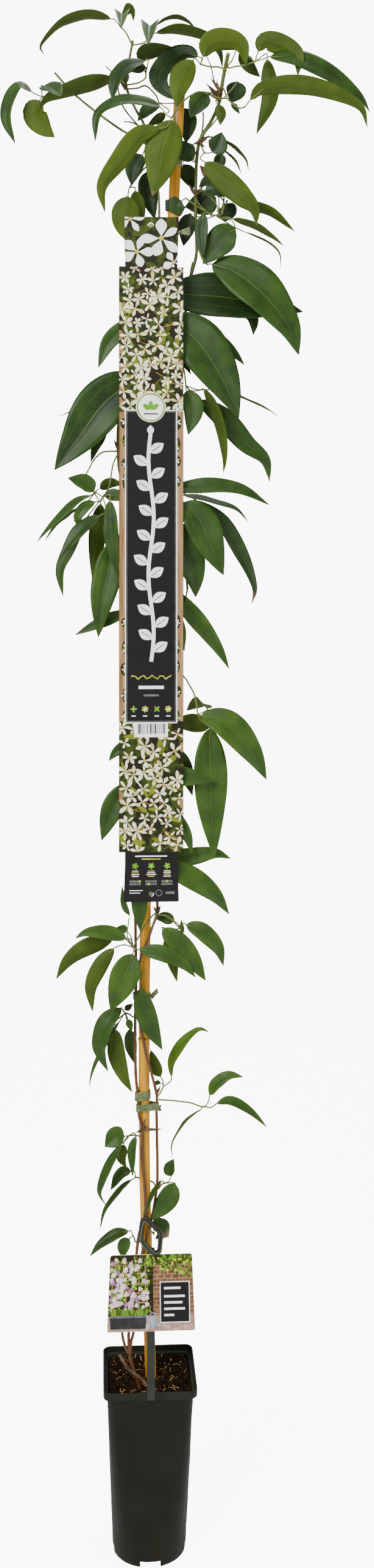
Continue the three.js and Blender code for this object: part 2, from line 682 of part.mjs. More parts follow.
const crownLeaves = {
  leaf_crown_1: {
    stalks: [[[-22.5, 0, 1836], [-28, -2, 1847], [-37, -4, 1857]]],
    blades: [
      [28, [0, 0.1, 1], 12, [[-47, -6, 1864], [-80, -12, 1866], [-110, -14, 1853],
        [-131, -10, 1830], [-128, -6, 1819]]],
      [24, [0, 0, 1], 38, [[-33, -12, 1864], [-33, -45, 1870], [-34, -72, 1853]]],
      [16, [-0.6, 0.6, 0.6], 12, [[-33, 4, 1862], [-26, 12, 1876], [-20, 20, 1874], [-19, 24, 1862]]],
    ],
  },
  leaf_crown_2: {
    stalks: [[[-17.5, 0, 1833], [-8, -5, 1835], [-2, -6, 1839], [1, -8, 1847]]],
    blades: [
      [28, [0, 0, 1], 38, [[1, -16, 1850], [1, -48, 1856], [-1, -76, 1833]]],
      [18, [0, -0.1, 1], 20, [[7, 4, 1856], [20, 8, 1864], [35, 10, 1866], [50, 10, 1860],
        [60, 8, 1848]]],
      [24, [0, 0.2, 1], 12, [[8, -2, 1848], [40, -2, 1852], [72, 2, 1842], [86, 8, 1826],
        [90, 10, 1806]]],
    ],
  },
  leaf_crown_3: {
    stalks: [[[94, -5, 1804], [85, -9, 1808], [75, -11, 1808], [62, -12, 1811]]],
    blades: [
      [30, [0, 1, 1], 12, [[66, -13, 1820], [74, -15, 1836], [90, -17, 1841], [112, -16, 1836],
        [119, -10, 1811]]],
      [30, [0.1, 1, 0.4], 12, [[54, -14, 1816], [42, -20, 1800], [36, -24, 1780], [34, -26, 1758]]],
      [30, [-0.3, -1, 0.3], 12, [[60, -4, 1820], [46, 0, 1824], [28, 2, 1816], [14, 0, 1800],
        [13, -6, 1786], [23, -12, 1774], [38, -15, 1766]]],
    ],
  },
  leaf_crown_4: {
    stalks: [[[-26, -3, 1784], [-15, -5, 1786], [-5, -6, 1792], [-4, -2, 1799]]],
    blades: [
      [22, [0, 0.8, 0.8], 12, [[-8, 6, 1808], [-10, 10, 1819], [6, 14, 1826], [36, 16, 1828]]],
      [26, [-0.4, -0.9, 0.4], 14, [[-6, -10, 1813], [-24, -14, 1806], [-40, -18, 1790],
        [-45, -20, 1764]]],
      [14, front, 12, [[-4, 2, 1806], [-12, 4, 1804], [-23, 4, 1800]], [[-4, 0, 1802]]],
    ],
  },
  leaf_crown_6: {
    stalks: [[[-26, 3, 1779], [-14, 5, 1780], [-4, 6, 1783], [8, 7, 1772], [12, 8, 1762]]],
    blades: [
      [18, [0, -1, 0.3], 12, [[12, 8, 1757], [0, 10, 1755], [-14, 10, 1740]]],
      [12, rear, 12, [[20, 11, 1750], [8, 13, 1741], [-2, 14, 1735]]],
      [24, front, 8, [[42, 16, 1757], [47, 17, 1740], [45, 17, 1714]], [[18, 12, 1762], [34, 17, 1762]]],
    ],
  },
  leaf_crown_5: {
    stalks: [[[-30, 3, 1785], [-34, 7, 1789], [-38, 9, 1792]]],
    blades: [
      [26, [0, 0.7, 1], 12, [[-44, 6, 1790], [-75, -8, 1782], [-105, -14, 1773], [-125, -17, 1764],
        [-136, -19, 1748]]],
      [14, [0, -1, 0.2], 12, [[-32, 10, 1800], [-31, 10, 1791], [-33, 9, 1782]]],
    ],
  },
  leaf_left_end: {
    stalks: [[[-104, 0, 1780], [-112, -2, 1774], [-122, -3, 1769], [-131, -4, 1767]]],
    blades: [
      [26, [-0.2, -0.7, 0.7], 12, [[-129, -8, 1780], [-118, -28, 1778], [-107, -48, 1768]]],
      [30, rear, 12, [[-133, -2, 1763], [-140, 2, 1748], [-129, 4, 1730], [-115, 4, 1718]]],
      [22, [-0.5, -0.7, 0.4], 12, [[-143, -6, 1773], [-158, -8, 1780], [-170, -10, 1762],
        [-173, -12, 1738], [-163, -14, 1710]]],
    ],
  },
  leaf_centre: {
    stalks: [[[76, -12, 1776], [63, -26, 1777], [52, -34, 1773], [42, -40, 1765], [33, -44, 1753],
      [27, -46, 1744]]],
    blades: [
      [22, [0, -1.3, 1], 12, [[14, -40, 1757], [-10, -34, 1764], [-40, -30, 1762], [-62, -30, 1747],
        [-66, -30, 1714]], [[20, -42, 1749]]],
      [26, [-0.3, 1, 0.6], 12, [[13, -50, 1731], [-12, -54, 1722], [-35, -56, 1692],
        [-57, -54, 1660], [-54, -50, 1628]], [[22, -48, 1734]]],
      [44, rear, 8, [[30, -47, 1742], [18, -46, 1710], [12, -44, 1680], [4, -42, 1649]],
        [[31, -47, 1746]]],
    ],
  },
  leaf_crown_7: {
    stalks: [[[84.5, -10, 1768], [88, -14, 1769], [92, -12, 1770]]],
    blades: [
      [26, [0, -1, 0.3], 12, [[73, -16, 1773], [62, -20, 1765], [50, -22, 1745]],
        [[84, -17, 1771]]],
      [14, rear, 12, [[84, -20, 1762], [88, -22, 1750], [87, -22, 1737]]],
      [26, [0.2, -1, 0.3], 12, [[108, 10, 1791], [106, 12, 1779], [100, 12, 1764]], [[104, 0, 1784]]],
      [8, [0, -1, 0.3], 12, [[101, 2, 1764], [106, 0, 1758], [111, -1, 1751]]],
    ],
  },
  leaf_right_1: {
    stalks: [[[98, 0, 1807], [105, -2, 1809], [118, -4, 1811], [131, -6, 1816]]],
    blades: [
      [26, [-0.2, 1, 0.5], 12, [[134, -8, 1828], [141, -12, 1841], [160, -14, 1838],
        [182, -16, 1825], [183, -18, 1800]]],
      [26, [0.2, -1, 0.2], 12, [[148, -12, 1822], [185, -16, 1820], [225, -16, 1801],
        [258, -14, 1777], [272, -12, 1757]], [[140, -9, 1819]]],
      [22, [0, 1, 0.1], 12, [[145, 0, 1819], [147, 4, 1800], [148, 6, 1770], [132, 6, 1727]]],
      [18, [0.3, 0.8, 0.5], 12, [[118, 4, 1830], [116, 8, 1820], [124, 10, 1808], [136, 10, 1797]],
        [[123, 0, 1820]]],
    ],
  },
  leaf_right_2: {
    stalks: [[[91, -12, 1782], [96, -22, 1770], [105, -28, 1761], [112, -31, 1758], [118, -33, 1760]]],
    blades: [
      [24, [0, 1, 0.6], 12, [[124, -34, 1768], [140, -36, 1783], [185, -38, 1788],
        [225, -36, 1780], [260, -34, 1763], [269, -32, 1738]]],
    ],
  },
  leaf_upper_1: {
    stalks: [[[63, -9, 1712], [66, -14, 1706], [68, -18, 1702]]],
    blades: [
      [30, rear, 12, [[68, -30, 1691], [90, -34, 1672], [115, -38, 1650], [129, -38, 1635],
        [132, -36, 1615]]],
      [26, [0.1, -1, 0.2], 12, [[77, -17, 1703], [84, -19, 1712], [89, -21, 1728]], [[67, -14, 1702]]],
    ],
  },
  leaf_upper_2: {
    stalks: [[[66, 0, 1721], [72, 1, 1722], [80, 2, 1722]]],
    blades: [
      [14, [0.5, 0, 1], 12, [[88, 3, 1720], [105, 5, 1708], [118, 6, 1695], [122, 6, 1682]]],
      [20, [0.6, -0.3, 1], 12, [[82, -4, 1714], [95, -5, 1703], [106, -6, 1692], [113, -8, 1678]]],
      [16, front, 12, [[88, 12, 1702], [86, 12, 1690], [84, 12, 1678]], [[83, 8, 1714]]],
    ],
  },
  leaf_upper_3: {
    stalks: [[[57, -5, 1690], [58, -9, 1689], [58, -12, 1690]]],
    blades: [
      [26, [0.1, -1, 0.2], 12, [[55, -14, 1694], [43, -17, 1704], [28, -18, 1716]]],
      [22, front, 12, [[42, 14, 1688], [48, 16, 1673], [54, 16, 1658]], [[48, -2, 1694], [43, 9, 1693]]],
    ],
  },
  leaf_upper_4: {
    stalks: [[[-4, -8, 1710], [-5, -11, 1706], [-6, -12, 1703]]],
    blades: [
      [24, [-0.2, -1, 0.1], 12, [[-8, -14, 1699], [-18, -15, 1684], [-22, -14, 1662]]],
    ],
  },
  leaf_upper_5: {
    stalks: [[[3, -4, 1688], [-6, 0, 1682], [-14, 0, 1674], [-20, -6, 1666], [-24, -14, 1658]]],
    blades: [
      [36, rear, 12, [[-26, -18, 1648], [-28, -16, 1620], [-17, -12, 1586]]],
      [20, rear, 12, [[-17, -8, 1655], [-14, -3, 1632], [-14, -1, 1600]]],
      [24, front, 10, [[-3, 10, 1678], [-2, 11, 1655], [7, 12, 1620]], [[-4, 8, 1684]]],
    ],
  },
  leaf_upper_6: {
    stalks: [[[58, -4, 1655], [64, -14, 1657], [82, -17, 1652], [91, -18, 1644], [90, -18, 1632],
      [86, -18, 1622]], [[87.4, -18.2, 1625.6], [77, -24, 1627], [60, -29, 1636], [44, -31, 1647]]],
    blades: [
      [24, [-0.3, -1, 0.2], 16, [[40, -31, 1643], [35, -30, 1637], [38, -28, 1624]], [], 1],
      [34, front, 8, [[82, 10, 1648], [66, 12, 1640], [44, 14, 1636]], [[92, -4, 1648]]],
      [26, front, 8, [[92, 8, 1640], [95, 10, 1632], [92, 10, 1618]], [[96, -8, 1644]]],
      [14, front, 12, [[80, 9, 1666], [70, 11, 1678], [62, 12, 1687]], [[92, -4, 1654]]],
      [22, front, 8, [[50, 12, 1628], [46, 12, 1610], [42, 12, 1588]], [[90, 0, 1630], [70, 14, 1622]]],
      [16, front, 12, [[85, 3, 1666], [72, 4, 1668], [61, 6, 1660]], [[92, -8, 1650]]],
      [18, [0, -1, 0.3], 12, [[68, -22, 1655], [79, -25, 1657], [92, -27, 1649]], [[82, -22, 1640]]],
      [20, [0, 0.5, 1], 12, [[98, -8, 1647], [120, -10, 1639], [150, -10, 1630], [179, -8, 1608]]],
      [20, [0, 0.2, 1], 12, [[102, -16, 1622], [130, -18, 1612], [150, -18, 1601], [165, -16, 1590]]],
      [10, [0.8, 0, 0.6], 12, [[118, -6, 1606], [145, -6, 1594], [160, -5, 1580], [161, -4, 1560]]],
      [17, [-0.3, -1, 0], 12, [[67, -30, 1628], [64, -31, 1605], [66, -31, 1574]], [[76, -24, 1628]]],
      [36, front, 0, [[106, -26, 1610], [92, -27, 1600], [66, -26, 1566]], [[100, -22, 1621]]],
    ],
  },
};

const boardLeaves = {
  leaf_board_right_1: {
    stalks: [[[59, -3, 1592], [61, -9, 1583], [66, -16, 1571], [72, -18, 1565]]],
    blades: [
      [56, [-0.2, -1, 0.5], 10, [[77, -21, 1566], [105, -31, 1557], [140, -37, 1530],
        [170, -37, 1493], [184, -35, 1456]]],
    ],
  },
  leaf_board_right_2: {
    stalks: [[[43, -2, 1510], [34, -8, 1513], [24, -13, 1516], [16, -16, 1516]]],
    blades: [
      [58, front, 10, [[20, -12, 1529], [80, -12, 1527], [130, -10, 1520], [189, -8, 1509]],
        [[15, -14, 1523]]],
      [60, [-0.2, -1, 0.3], 10, [[22, -20, 1502], [60, -25, 1470], [90, -27, 1425],
        [110, -27, 1378]]],
      [16, front, 12, [[112, 6, 1515], [127, 6, 1500], [128, 7, 1480]],
        [[40, -11, 1520], [62, 1, 1522], [92, 5, 1522]]],
      [16, front, 12, [[70, -6, 1486], [98, -7, 1463], [117, -6, 1443]], [[40, -6, 1492]]],
      [14, front, 12, [[24, -10, 1470], [40, -10, 1450], [51, -11, 1431]], [[17, -11, 1490]]],
    ],
  },
  leaf_board_right_3: {
    stalks: [[[38.5, -3, 1450], [43, -12, 1434], [45, -15, 1416]]],
    blades: [
      [26, [0.1, -1, 0.1], 12, [[46, -20, 1411], [54, -24, 1388], [48, -26, 1357]]],
      [20, [0.8, 0.6, 0.2], 12, [[67, -14, 1413], [78, -15, 1390], [87, -15, 1360],
        [92, -14, 1330], [91, -12, 1310]], [[51, -15, 1411], [61, -13, 1411]]],
      [28, [-0.1, -1, 0.2], 12, [[60, 3, 1399], [90, 4, 1378], [118, 6, 1347], [142, 6, 1327],
        [148, 8, 1300]], [[50, -4, 1410]]],
      [14, [0.2, 0, 1], 12, [[95, -3, 1410], [125, -4, 1398], [150, -3, 1386], [158, -3, 1379]],
        [[60, -6, 1412], [84, -5, 1413]]],
    ],
  },
  leaf_board_right_4: {
    stalks: [[[28.5, -3, 1300], [30, -10, 1297], [24, -16, 1292], [18, -18, 1289]]],
    blades: [
      [22, [0, -1, 0.5], 12, [[24, -22, 1290], [70, -26, 1294], [110, -26, 1291], [148, -24, 1271]]],
      [18, [0, -0.5, 1], 12, [[40, -12, 1283], [75, -13, 1275], [105, -14, 1266], [122, -14, 1250]]],
      [42, [0, -1, 0.1], 10, [[42, -26, 1274], [62, -29, 1252], [76, -30, 1220], [91, -28, 1185]],
        [[30, -28, 1284]]],
      [24, [0.5, -1, 0.3], 12, [[58, -6, 1276], [92, -5, 1245], [115, -4, 1205], [129, -2, 1170],
        [126, 0, 1150]], [[36, -8, 1288]]],
      [42, front, 10, [[26, -20, 1250], [45, -20, 1215], [55, -18, 1185], [57, -17, 1158]],
        [[19, -20, 1268]]],
    ],
  },
  leaf_board_right_5: {
    stalks: [[[23.5, -2, 1190], [28, -8, 1186], [31, -11, 1180]]],
    blades: [
      [24, [0.3, -1, 0.2], 12, [[28, -8, 1166], [60, -7, 1127], [83, -5, 1097], [98, -3, 1070]]],
      [12, [1, 0, 0], 12, [[45, -9, 1180], [46, -9, 1165], [42, -10, 1148]]],
      [14, front, 12, [[28, -14, 1142], [38, -14, 1120], [43, -14, 1092]], [[26, -12, 1158]]],
    ],
  },
  leaf_board_right_6: {
    stalks: [[[19.5, -3, 1078], [30, -10, 1070], [42, -14, 1061], [50, -15, 1049], [56, -16, 1036],
      [60, -18, 1013]]],
    blades: [
      [24, [0.2, 0.6, 0.8], 12, [[70, -12, 1022], [64, 6, 1028], [46, 24, 1019]]],
      [38, [0.1, -1, 0.4], 12, [[63, -24, 1013], [95, -29, 1001], [125, -30, 968], [144, -28, 934]]],
      [24, rear, 12, [[74, -2, 998], [55, 0, 1003], [24, 0, 1004]], [[64, -8, 1006]]],
      [42, [0, -1, 0.1], 12, [[74, -14, 997], [75, -17, 950], [76, -18, 900], [80, -22, 838]]],
    ],
  },
  leaf_board_right_7: {
    stalks: [[[15.5, -3, 968], [16, -14, 962], [11, -22, 953]]],
    blades: [
      [24, [0, -1, 0.3], 12, [[14, -25, 941], [50, -27.5, 937], [80, -29, 933]]],
      [22, front, 12, [[26, -7, 975], [42, -8, 950], [53, -8, 915]], [[20, -12, 976]]],
    ],
  },
  leaf_board_right_8: {
    stalks: [[[12.5, -6, 862], [13, -13, 856], [12, -18, 850]]],
    blades: [
      [16, [0.3, -1, 0], 12, [[28, -26, 897], [45, -27, 868], [53, -26, 843]], [[14, -26, 880]]],
      [22, [0, -1, 0.2], 12, [[20, -14, 840], [50, -13, 840], [80, -13, 844], [100, -12, 837]]],
      [28, [0, -1, 0.3], 12, [[14, -26, 830], [50, -28, 815], [80, -27, 793], [98, -24, 769]]],
    ],
  },
  leaf_board_left_1: {
    stalks: [[[-5, 6, 1506], [-9, 0, 1507], [-13, -8, 1504]]],
    blades: [
      [22, front, 12, [[-18, -16, 1497], [-48, -18, 1470], [-62, -18, 1438]]],
    ],
  },
  leaf_board_left_2: {
    stalks: [[[-20, 1, 1439], [-18, -8, 1439], [-14, -16, 1437]]],
    blades: [
      [60, [0.1, -1, 0.15], 10, [[-14, -20, 1427], [-55, -24, 1395], [-88, -26, 1350],
        [-115, -24, 1313]]],
      [12, [0, 0, 1], 12, [[-60, -4, 1384], [-85, -5, 1387], [-110, -4, 1378]], [[-24, -10, 1424], [-44, -5, 1396]]],
      [14, [-0.6, -1, 0], 12, [[-52, -12, 1362], [-64, -12, 1343], [-71, -10, 1323]],
        [[-26, -12, 1410], [-44, -11, 1376]]],
    ],
  },
  leaf_board_left_3: {
    stalks: [[[-41, -2, 1336], [-56, -10, 1335], [-66, -12, 1327], [-72, -13, 1317],
      [-77, -14, 1305], [-72, -16, 1292], [-66, -16, 1284]]],
    blades: [
      [22, [0, -1, 0.4], 12, [[-67, -22, 1287], [-78, -26, 1297], [-99, -30, 1303]]],
      [20, [0, -0.4, 1], 12, [[-71, -16, 1282], [-88, -20, 1274], [-112, -22, 1252],
        [-136, -22, 1226]]],
      [16, [-0.2, -0.3, 1], 12, [[-84, -9, 1268], [-112, -10, 1246], [-127, -10, 1226]],
        [[-74, -11, 1276]]],
      [14, front, 12, [[-66, -21, 1274], [-78, -24, 1268], [-87, -25, 1254], [-80, -24, 1239]]],
    ],
  },
  leaf_board_left_4: {
    stalks: [[[-39, -3, 1331], [-44, -7, 1320], [-47, -9, 1303], [-50, -11, 1290], [-57, -12, 1279]]],
    blades: [
      [20, [0, -0.7, 0.7], 12, [[-61, -30, 1257], [-80, -36, 1243], [-98, -38, 1222],
        [-109, -38, 1204]], [[-53, -17, 1268], [-53, -24, 1261]]],
      [18, [-0.5, -1, 0.2], 12, [[-78, -12, 1252], [-97, -16, 1217], [-108, -16, 1190],
        [-105, -16, 1159]], [[-66, -12, 1268]]],
      [16, front, 12, [[-55, -16, 1283], [-40, -20, 1282], [-22, -22, 1278]]],
      [22, [0, 1, 0], 12, [[-59, -6, 1272], [-63, -7, 1235], [-66, -7, 1205], [-69, -6, 1178]]],
      [20, [-0.3, -1, 0], 12, [[-48, -26, 1276], [-46, -28, 1235], [-42, -28, 1205],
        [-37, -26, 1183]]],
      [14, [0, 1, 0.3], 12, [[-60, -3, 1290], [-48, -2, 1297], [-32, -5, 1296]]],
    ],
  },
  leaf_board_left_5: {
    stalks: [[[-13, 2, 1214], [-22, -4, 1222], [-33, -10, 1229]]],
    blades: [
      [36, [0, -1, 0.1], 12, [[-42, -16, 1227], [-50, -19, 1190], [-58, -21, 1150],
        [-62, -21, 1109]]],
    ],
  },
  leaf_board_left_7: {
    stalks: [[[-7, 2, 1136], [-12, -1, 1139], [-18, -4, 1140]]],
    blades: [
      [16, [0, -1, 0.3], 12, [[-25, -5, 1140], [-58, -6, 1127], [-90, -4, 1112]]],
    ],
  },
  leaf_board_left_6: {
    stalks: [[[-12, 0, 958], [-12, -8, 962], [-14, -14, 962]]],
    blades: [
      [14, front, 12, [[-22, -16, 981], [-40, -18, 969], [-49, -18, 958]], [[-16, -15, 974]]],
      [30, front, 12, [[-20, -20, 930], [-44, -22, 900], [-58, -22, 861]]],
    ],
  },
};

const lowLeaves = {
  leaf_low_left_1: {
    stalks: [[[-16.5, -2, 815], [-15, -10, 819], [-12, -19, 817]]],
    blades: [
      [20, front, 12, [[-12, -24, 808], [-12, -24, 780], [-11, -20, 750]]],
    ],
  },
  leaf_low_left_2: {
    stalks: [[[8, -11, 771], [3, -15, 767], [-5, -17, 757], [-13, -18, 742], [-20, -18, 729]]],
    blades: [
      [18, [0, -1, 0.4], 12, [[-28, -22, 741], [-50, -28, 748], [-75, -30, 749], [-90, -30, 742]]],
      [24, [0, 1, 0.3], 12, [[-44, -12, 741], [-75, -14, 730], [-98, -14, 715], [-113, -13, 693]],
        [[-30, -13, 741]]],
      [20, [0, 1, 0], 12, [[-43, -20, 729], [-58, -24, 710], [-71, -24, 682], [-69, -22, 652]],
        [[-31, -17, 733]]],
      [36, [0, -1, 0.1], 12, [[-20, -23, 722], [-28, -27, 700], [-38, -29, 675], [-47, -27, 653]]],
      [20, [0, -1, 0.4], 12, [[-12, -24, 727], [15, -29, 722], [40, -31, 710], [57, -29, 692]]],
      [12, front, 12, [[-27, 4, 750], [-32, 5, 752], [-40, 6, 754]], [[-22, -6, 742]]],
      [8, front, 12, [[-24, -24, 769], [-31, -26, 783], [-33, -28, 805]],
        [[-23, -20, 736], [-27, -22, 746]]],
    ],
  },
  leaf_low_right_1: {
    stalks: [[[13, -10, 769], [20, -13, 768], [28, -15, 763], [33, -17, 757], [38, -18, 752]]],
    blades: [
      [22, [0, -1, 0.4], 12, [[45, -21, 757], [65, -25, 748], [84, -27, 728], [91, -25, 706]]],
      [15, front, 12, [[31, 2, 761], [18, 6, 766], [6, 9, 765]], [[36, -9, 757]]],
      [6, front, 12, [[41, -24, 746], [40, -26, 754], [39, -26, 763]]],
      [28, [0, -1, 0.1], 12, [[16, -18, 752], [32, -22, 738], [52, -23, 715], [69, -21, 688]],
        [[26, -18, 749], [17, -16, 754]]],
      [16, [0.2, 1, 0], 12, [[20, -9, 740], [28, -10, 712], [34, -10, 687]], [[28, -12, 748]]],
    ],
  },
  leaf_low_left_3: {
    stalks: [[[-12, -15, 702], [-9, -18, 697], [-9, -20, 690]]],
    blades: [
      [26, [0, -1, 0], 12, [[-11, -22, 680], [-6, -23, 655], [4, -22, 628], [16, -19, 604]]],
    ],
  },
  leaf_low_left_4: {
    stalks: [[[-20, -1, 645], [-24, -4, 648], [-30, -6, 650]]],
    blades: [
      [24, [-0.6, -1, 0], 12, [[-34, -14, 656], [-52, -22, 638], [-60, -22, 612], [-57, -20, 595],
        [-50, -18, 579]], [[-34, -9, 656]]],
      [14, [-1, -0.3, 0.5], 12, [[-36, -3, 640], [-50, -8, 616], [-66, -8, 586], [-72, -6, 566],
        [-70, -5, 557]]],
      [22, [0, 1, 0], 12, [[-41, -8, 630], [-40, -8, 600], [-31, -9, 572], [-21, -10, 553]]],
      [16, front, 12, [[-24, 6, 630], [-22, 8, 608], [-17, 8, 587]], [[-28, 0, 644]]],
      [9, front, 12, [[-26, -12, 642], [-24, -12, 636], [-21, -12, 628]]],
      [8, front, 12, [[-30, 1, 654], [-25, 5, 657], [-20, 5, 661]]],
    ],
  },
  leaf_low_right_2: {
    stalks: [[[12, -4, 549], [15, 0, 554], [18, 2, 560]]],
    blades: [
      [16, rear, 12, [[14, 12, 571], [7, 13, 584], [2, 13, 604]]],
      [18, [0, -0.4, 1], 12, [[27, 2, 571], [29, -2, 592], [42, -4, 612], [60, -4, 628],
        [73, -2, 625]]],
      [6, front, 12, [[14, 8, 563], [10, 9, 564], [6, 10, 560]]],
    ],
  },
  leaf_low_right_3: {
    stalks: [[[12, -7, 543], [25, -8, 542], [40, -9, 540], [52, -10, 538], [62, -11, 534],
      [70, -11, 533]]],
    blades: [
      [16, [0, -0.7, 0.7], 12, [[74, -12, 547], [82, -14, 561], [98, -16, 571], [115, -16, 569]],
        [[73, -11, 541]]],
      [16, [0, -0.5, 1], 12, [[83, -12, 537], [100, -14, 539], [125, -14, 525], [144, -12, 507]],
        [[76, -11, 532]]],
      [14, [-0.7, 0.1, 0.7], 12, [[63, -14, 530], [45, -16, 515], [29, -16, 491], [28, -14, 472]],
        [[67, -12, 534]]],
    ],
  },
  leaf_low_left_5: {
    stalks: [[[-11.5, -10, 499], [-18, -9, 500], [-25, -9, 500]]],
    blades: [
      [26, [0, -1, 0.5], 12, [[-30, -11, 499], [-40, -12, 498], [-54, -14, 487]]],
      [14, [-0.6, -0.6, 0.4], 12, [[-34, -18, 489], [-48, -21, 466], [-60, -20, 436],
        [-58, -18, 424], [-51, -16, 414]], [[-28, -14, 495]]],
      [14, [0, 1, 0], 12, [[-31, -5, 489], [-34, -4, 473], [-28, -3, 461]]],
      [11, [-0.3, -1, 0.2], 12, [[-16, -18, 499], [-21, -20, 482], [-20, -18, 450]],
        [[-19, -13, 503]]],
    ],
  },
  leaf_low_left_6: {
    stalks: [[[7.5, -1, 436], [6, 7, 441], [1, 11, 444], [-6, 13, 446], [-13, 10, 448],
      [-17, 5, 449]]],
    blades: [
      [16, [0, -0.5, 1], 12, [[-22, 2, 456], [-34, 0, 454], [-47, -2, 434]]],
      [12, [-0.6, -0.3, 0.8], 12, [[-21, 5, 446], [-35, 3, 434], [-53, -2, 410], [-60, -4, 386]]],
    ],
  },
  leaf_low_right_4: {
    stalks: [[[11.5, -5, 434], [15, -9, 439], [20, -11, 441]]],
    blades: [
      [26, front, 12, [[32, -14, 440], [22, -17, 420], [4, -18, 396]], [[26, -12, 441]]],
      [12, [-0.7, -0.2, 0.7], 12, [[14, -16, 441], [6, -20, 430], [0, -22, 415], [-7, -21, 402]]],
      [16, [-0.5, -0.8, 0], 12, [[27, -8, 449], [25, -8, 457], [30, -10, 470]], [[24, -10, 443]]],
    ],
  },
  leaf_low_left_7: {
    stalks: [[[-17, -10, 370], [-18, -8, 374], [-20, -7, 378]]],
    blades: [
      [16, [0, -0.6, 1], 12, [[-25, -8, 383], [-42, -10, 379], [-60, -11, 367], [-72, -10, 354]]],
      [16, [0, -1, 0.3], 12, [[-24, -6, 374], [-31, -6, 366], [-32, -6, 350]]],
    ],
  },
  leaf_low_right_5: {
    stalks: [[[-1, -12.5, 384], [4, -14, 381], [6, -12, 378]]],
    blades: [
      [26, [0, -1, 0.4], 12, [[6, -4, 384], [12, -4, 386], [24, -4, 375]], [[6, -8, 380]]],
    ],
  },
};

// ---- the object -------------------------------------------------------------------------------

const group = new THREE.Group();
group.name = 'potted_armand_clematis';

function add(name, solid, color, roughness, metalness = 0) {
  const mesh = new THREE.Mesh(geometryOf(solid), new THREE.MeshStandardMaterial({
    color, roughness, metalness,
  }));
  mesh.name = name;
  group.add(mesh);
}

const stemCut = stemSolid(clearance + 0.05);

add('pot', potSolid(), '#232523', 0.5);
add('soil', soilSolid([canePipe(clearance), stemCut, oldStemSolid(clearance)]), '#2f2319', 0.95);
add('cane', caneSolid(), '#d29b3c', 0.45);
add('stem', stemSolid(0), '#6d7a35', 0.6);
add('old_stem', oldStemSolid(0), '#6b5138', 0.85);

add('tie_low_1', tieSolid([[-6.1, 0, 6.9], [-12.9, -8.2, 2.1], [9, -2.6, 2]], 528, 537,
  [[[[11.1, 528.6], [16, 529.4], [14, 533], [16, 536.4], [11.1, 536.4]], -3.4, -2.4]]), '#6e8755', 0.6);
add('tie_low_2', tieSolid([[-6.2, 0, 6.9], [-14, -6.4, 2.4]], 541, 552,
  [[[[-7, 541.5], [-1.5, 546], [-6, 551.5], [-11.5, 547]], -9.8, -7.4]]), '#6e8755', 0.6);
add('tie_mid', tieSolid([[-6, 0, 6.9], [-16.7, 2, 2.2], [-15.5, -9, 2.1]], 664, 672,
  [[[[0.9, 671.5], [10, 680], [11.5, 674], [3, 665]], -3.2, -2.2]]), '#6e8755', 0.6);
add('tie_top_1', tieSolid([[30.2, 0, 6.9], [22.6, -2, 2]], 1633, 1646), '#23403c', 0.5);
add('tie_top_2', tieSolid([[32.8, 0, 6.9]], 1687, 1697), '#8d9a72', 0.4);

add('board', boardSolid(), '#35302f', 0.5);
add('board_tie_top', boardTieSolid(2, 1612.6,
  [[[[36.4, 1602.5], [50, 1601], [50, 1611.5], [36.4, 1606.5]], -3.4, -2.4]]), '#a9b184', 0.6);
add('board_tie_bottom', boardTieSolid(2.2, 795), '#5f7a4a', 0.6);
add('card', cardSolid(), '#7d7a62', 0.45);
add('strap', strapSolid(), '#2c3a2f', 0.5);
add('ring', ringSolid(), '#7d9165', 0.6);

const leaves = { ...crownLeaves, ...boardLeaves, ...lowLeaves };
Object.entries(leaves).forEach(([name, leaf]) => {
  add(name, leafSolid(leaf, stemCut), '#4c7030', 0.42);
});

export default group;
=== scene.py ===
import math
import random

import bpy
from mathutils import Matrix, Vector, noise


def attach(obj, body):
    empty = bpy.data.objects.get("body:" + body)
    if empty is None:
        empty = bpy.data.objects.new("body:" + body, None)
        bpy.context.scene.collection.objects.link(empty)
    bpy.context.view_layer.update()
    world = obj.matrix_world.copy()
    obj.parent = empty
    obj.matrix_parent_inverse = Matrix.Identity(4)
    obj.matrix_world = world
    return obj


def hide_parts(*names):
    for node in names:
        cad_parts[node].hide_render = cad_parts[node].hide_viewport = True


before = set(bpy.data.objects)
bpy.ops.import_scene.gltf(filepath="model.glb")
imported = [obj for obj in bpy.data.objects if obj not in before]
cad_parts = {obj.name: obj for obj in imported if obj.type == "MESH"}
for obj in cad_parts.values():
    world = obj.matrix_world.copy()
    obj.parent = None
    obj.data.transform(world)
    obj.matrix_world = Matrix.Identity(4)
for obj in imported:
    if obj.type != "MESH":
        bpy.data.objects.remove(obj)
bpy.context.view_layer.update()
bpy.ops.object.select_all(action="DESELECT")

mm = 0.001
vec = Vector

photoView = {
    "eye": (-60, -1790, 1160),      # mm, level
    "yawRight": 3.4,                # degrees right of +Y
    "lens": 33.61,
    "shiftDown": 0.1203,
}


def makeCamera():
    data = bpy.data.cameras.new("photoCamera")
    data.sensor_width = 36
    data.lens = photoView["lens"]
    data.shift_y = -photoView["shiftDown"]
    data.clip_end = 60
    camera = bpy.data.objects.new("photoCamera", data)
    bpy.context.scene.collection.objects.link(camera)
    camera.location = vec(photoView["eye"]) * mm
    camera.rotation_euler = (math.radians(90), 0, math.radians(-photoView["yawRight"]))
    bpy.context.scene.camera = camera


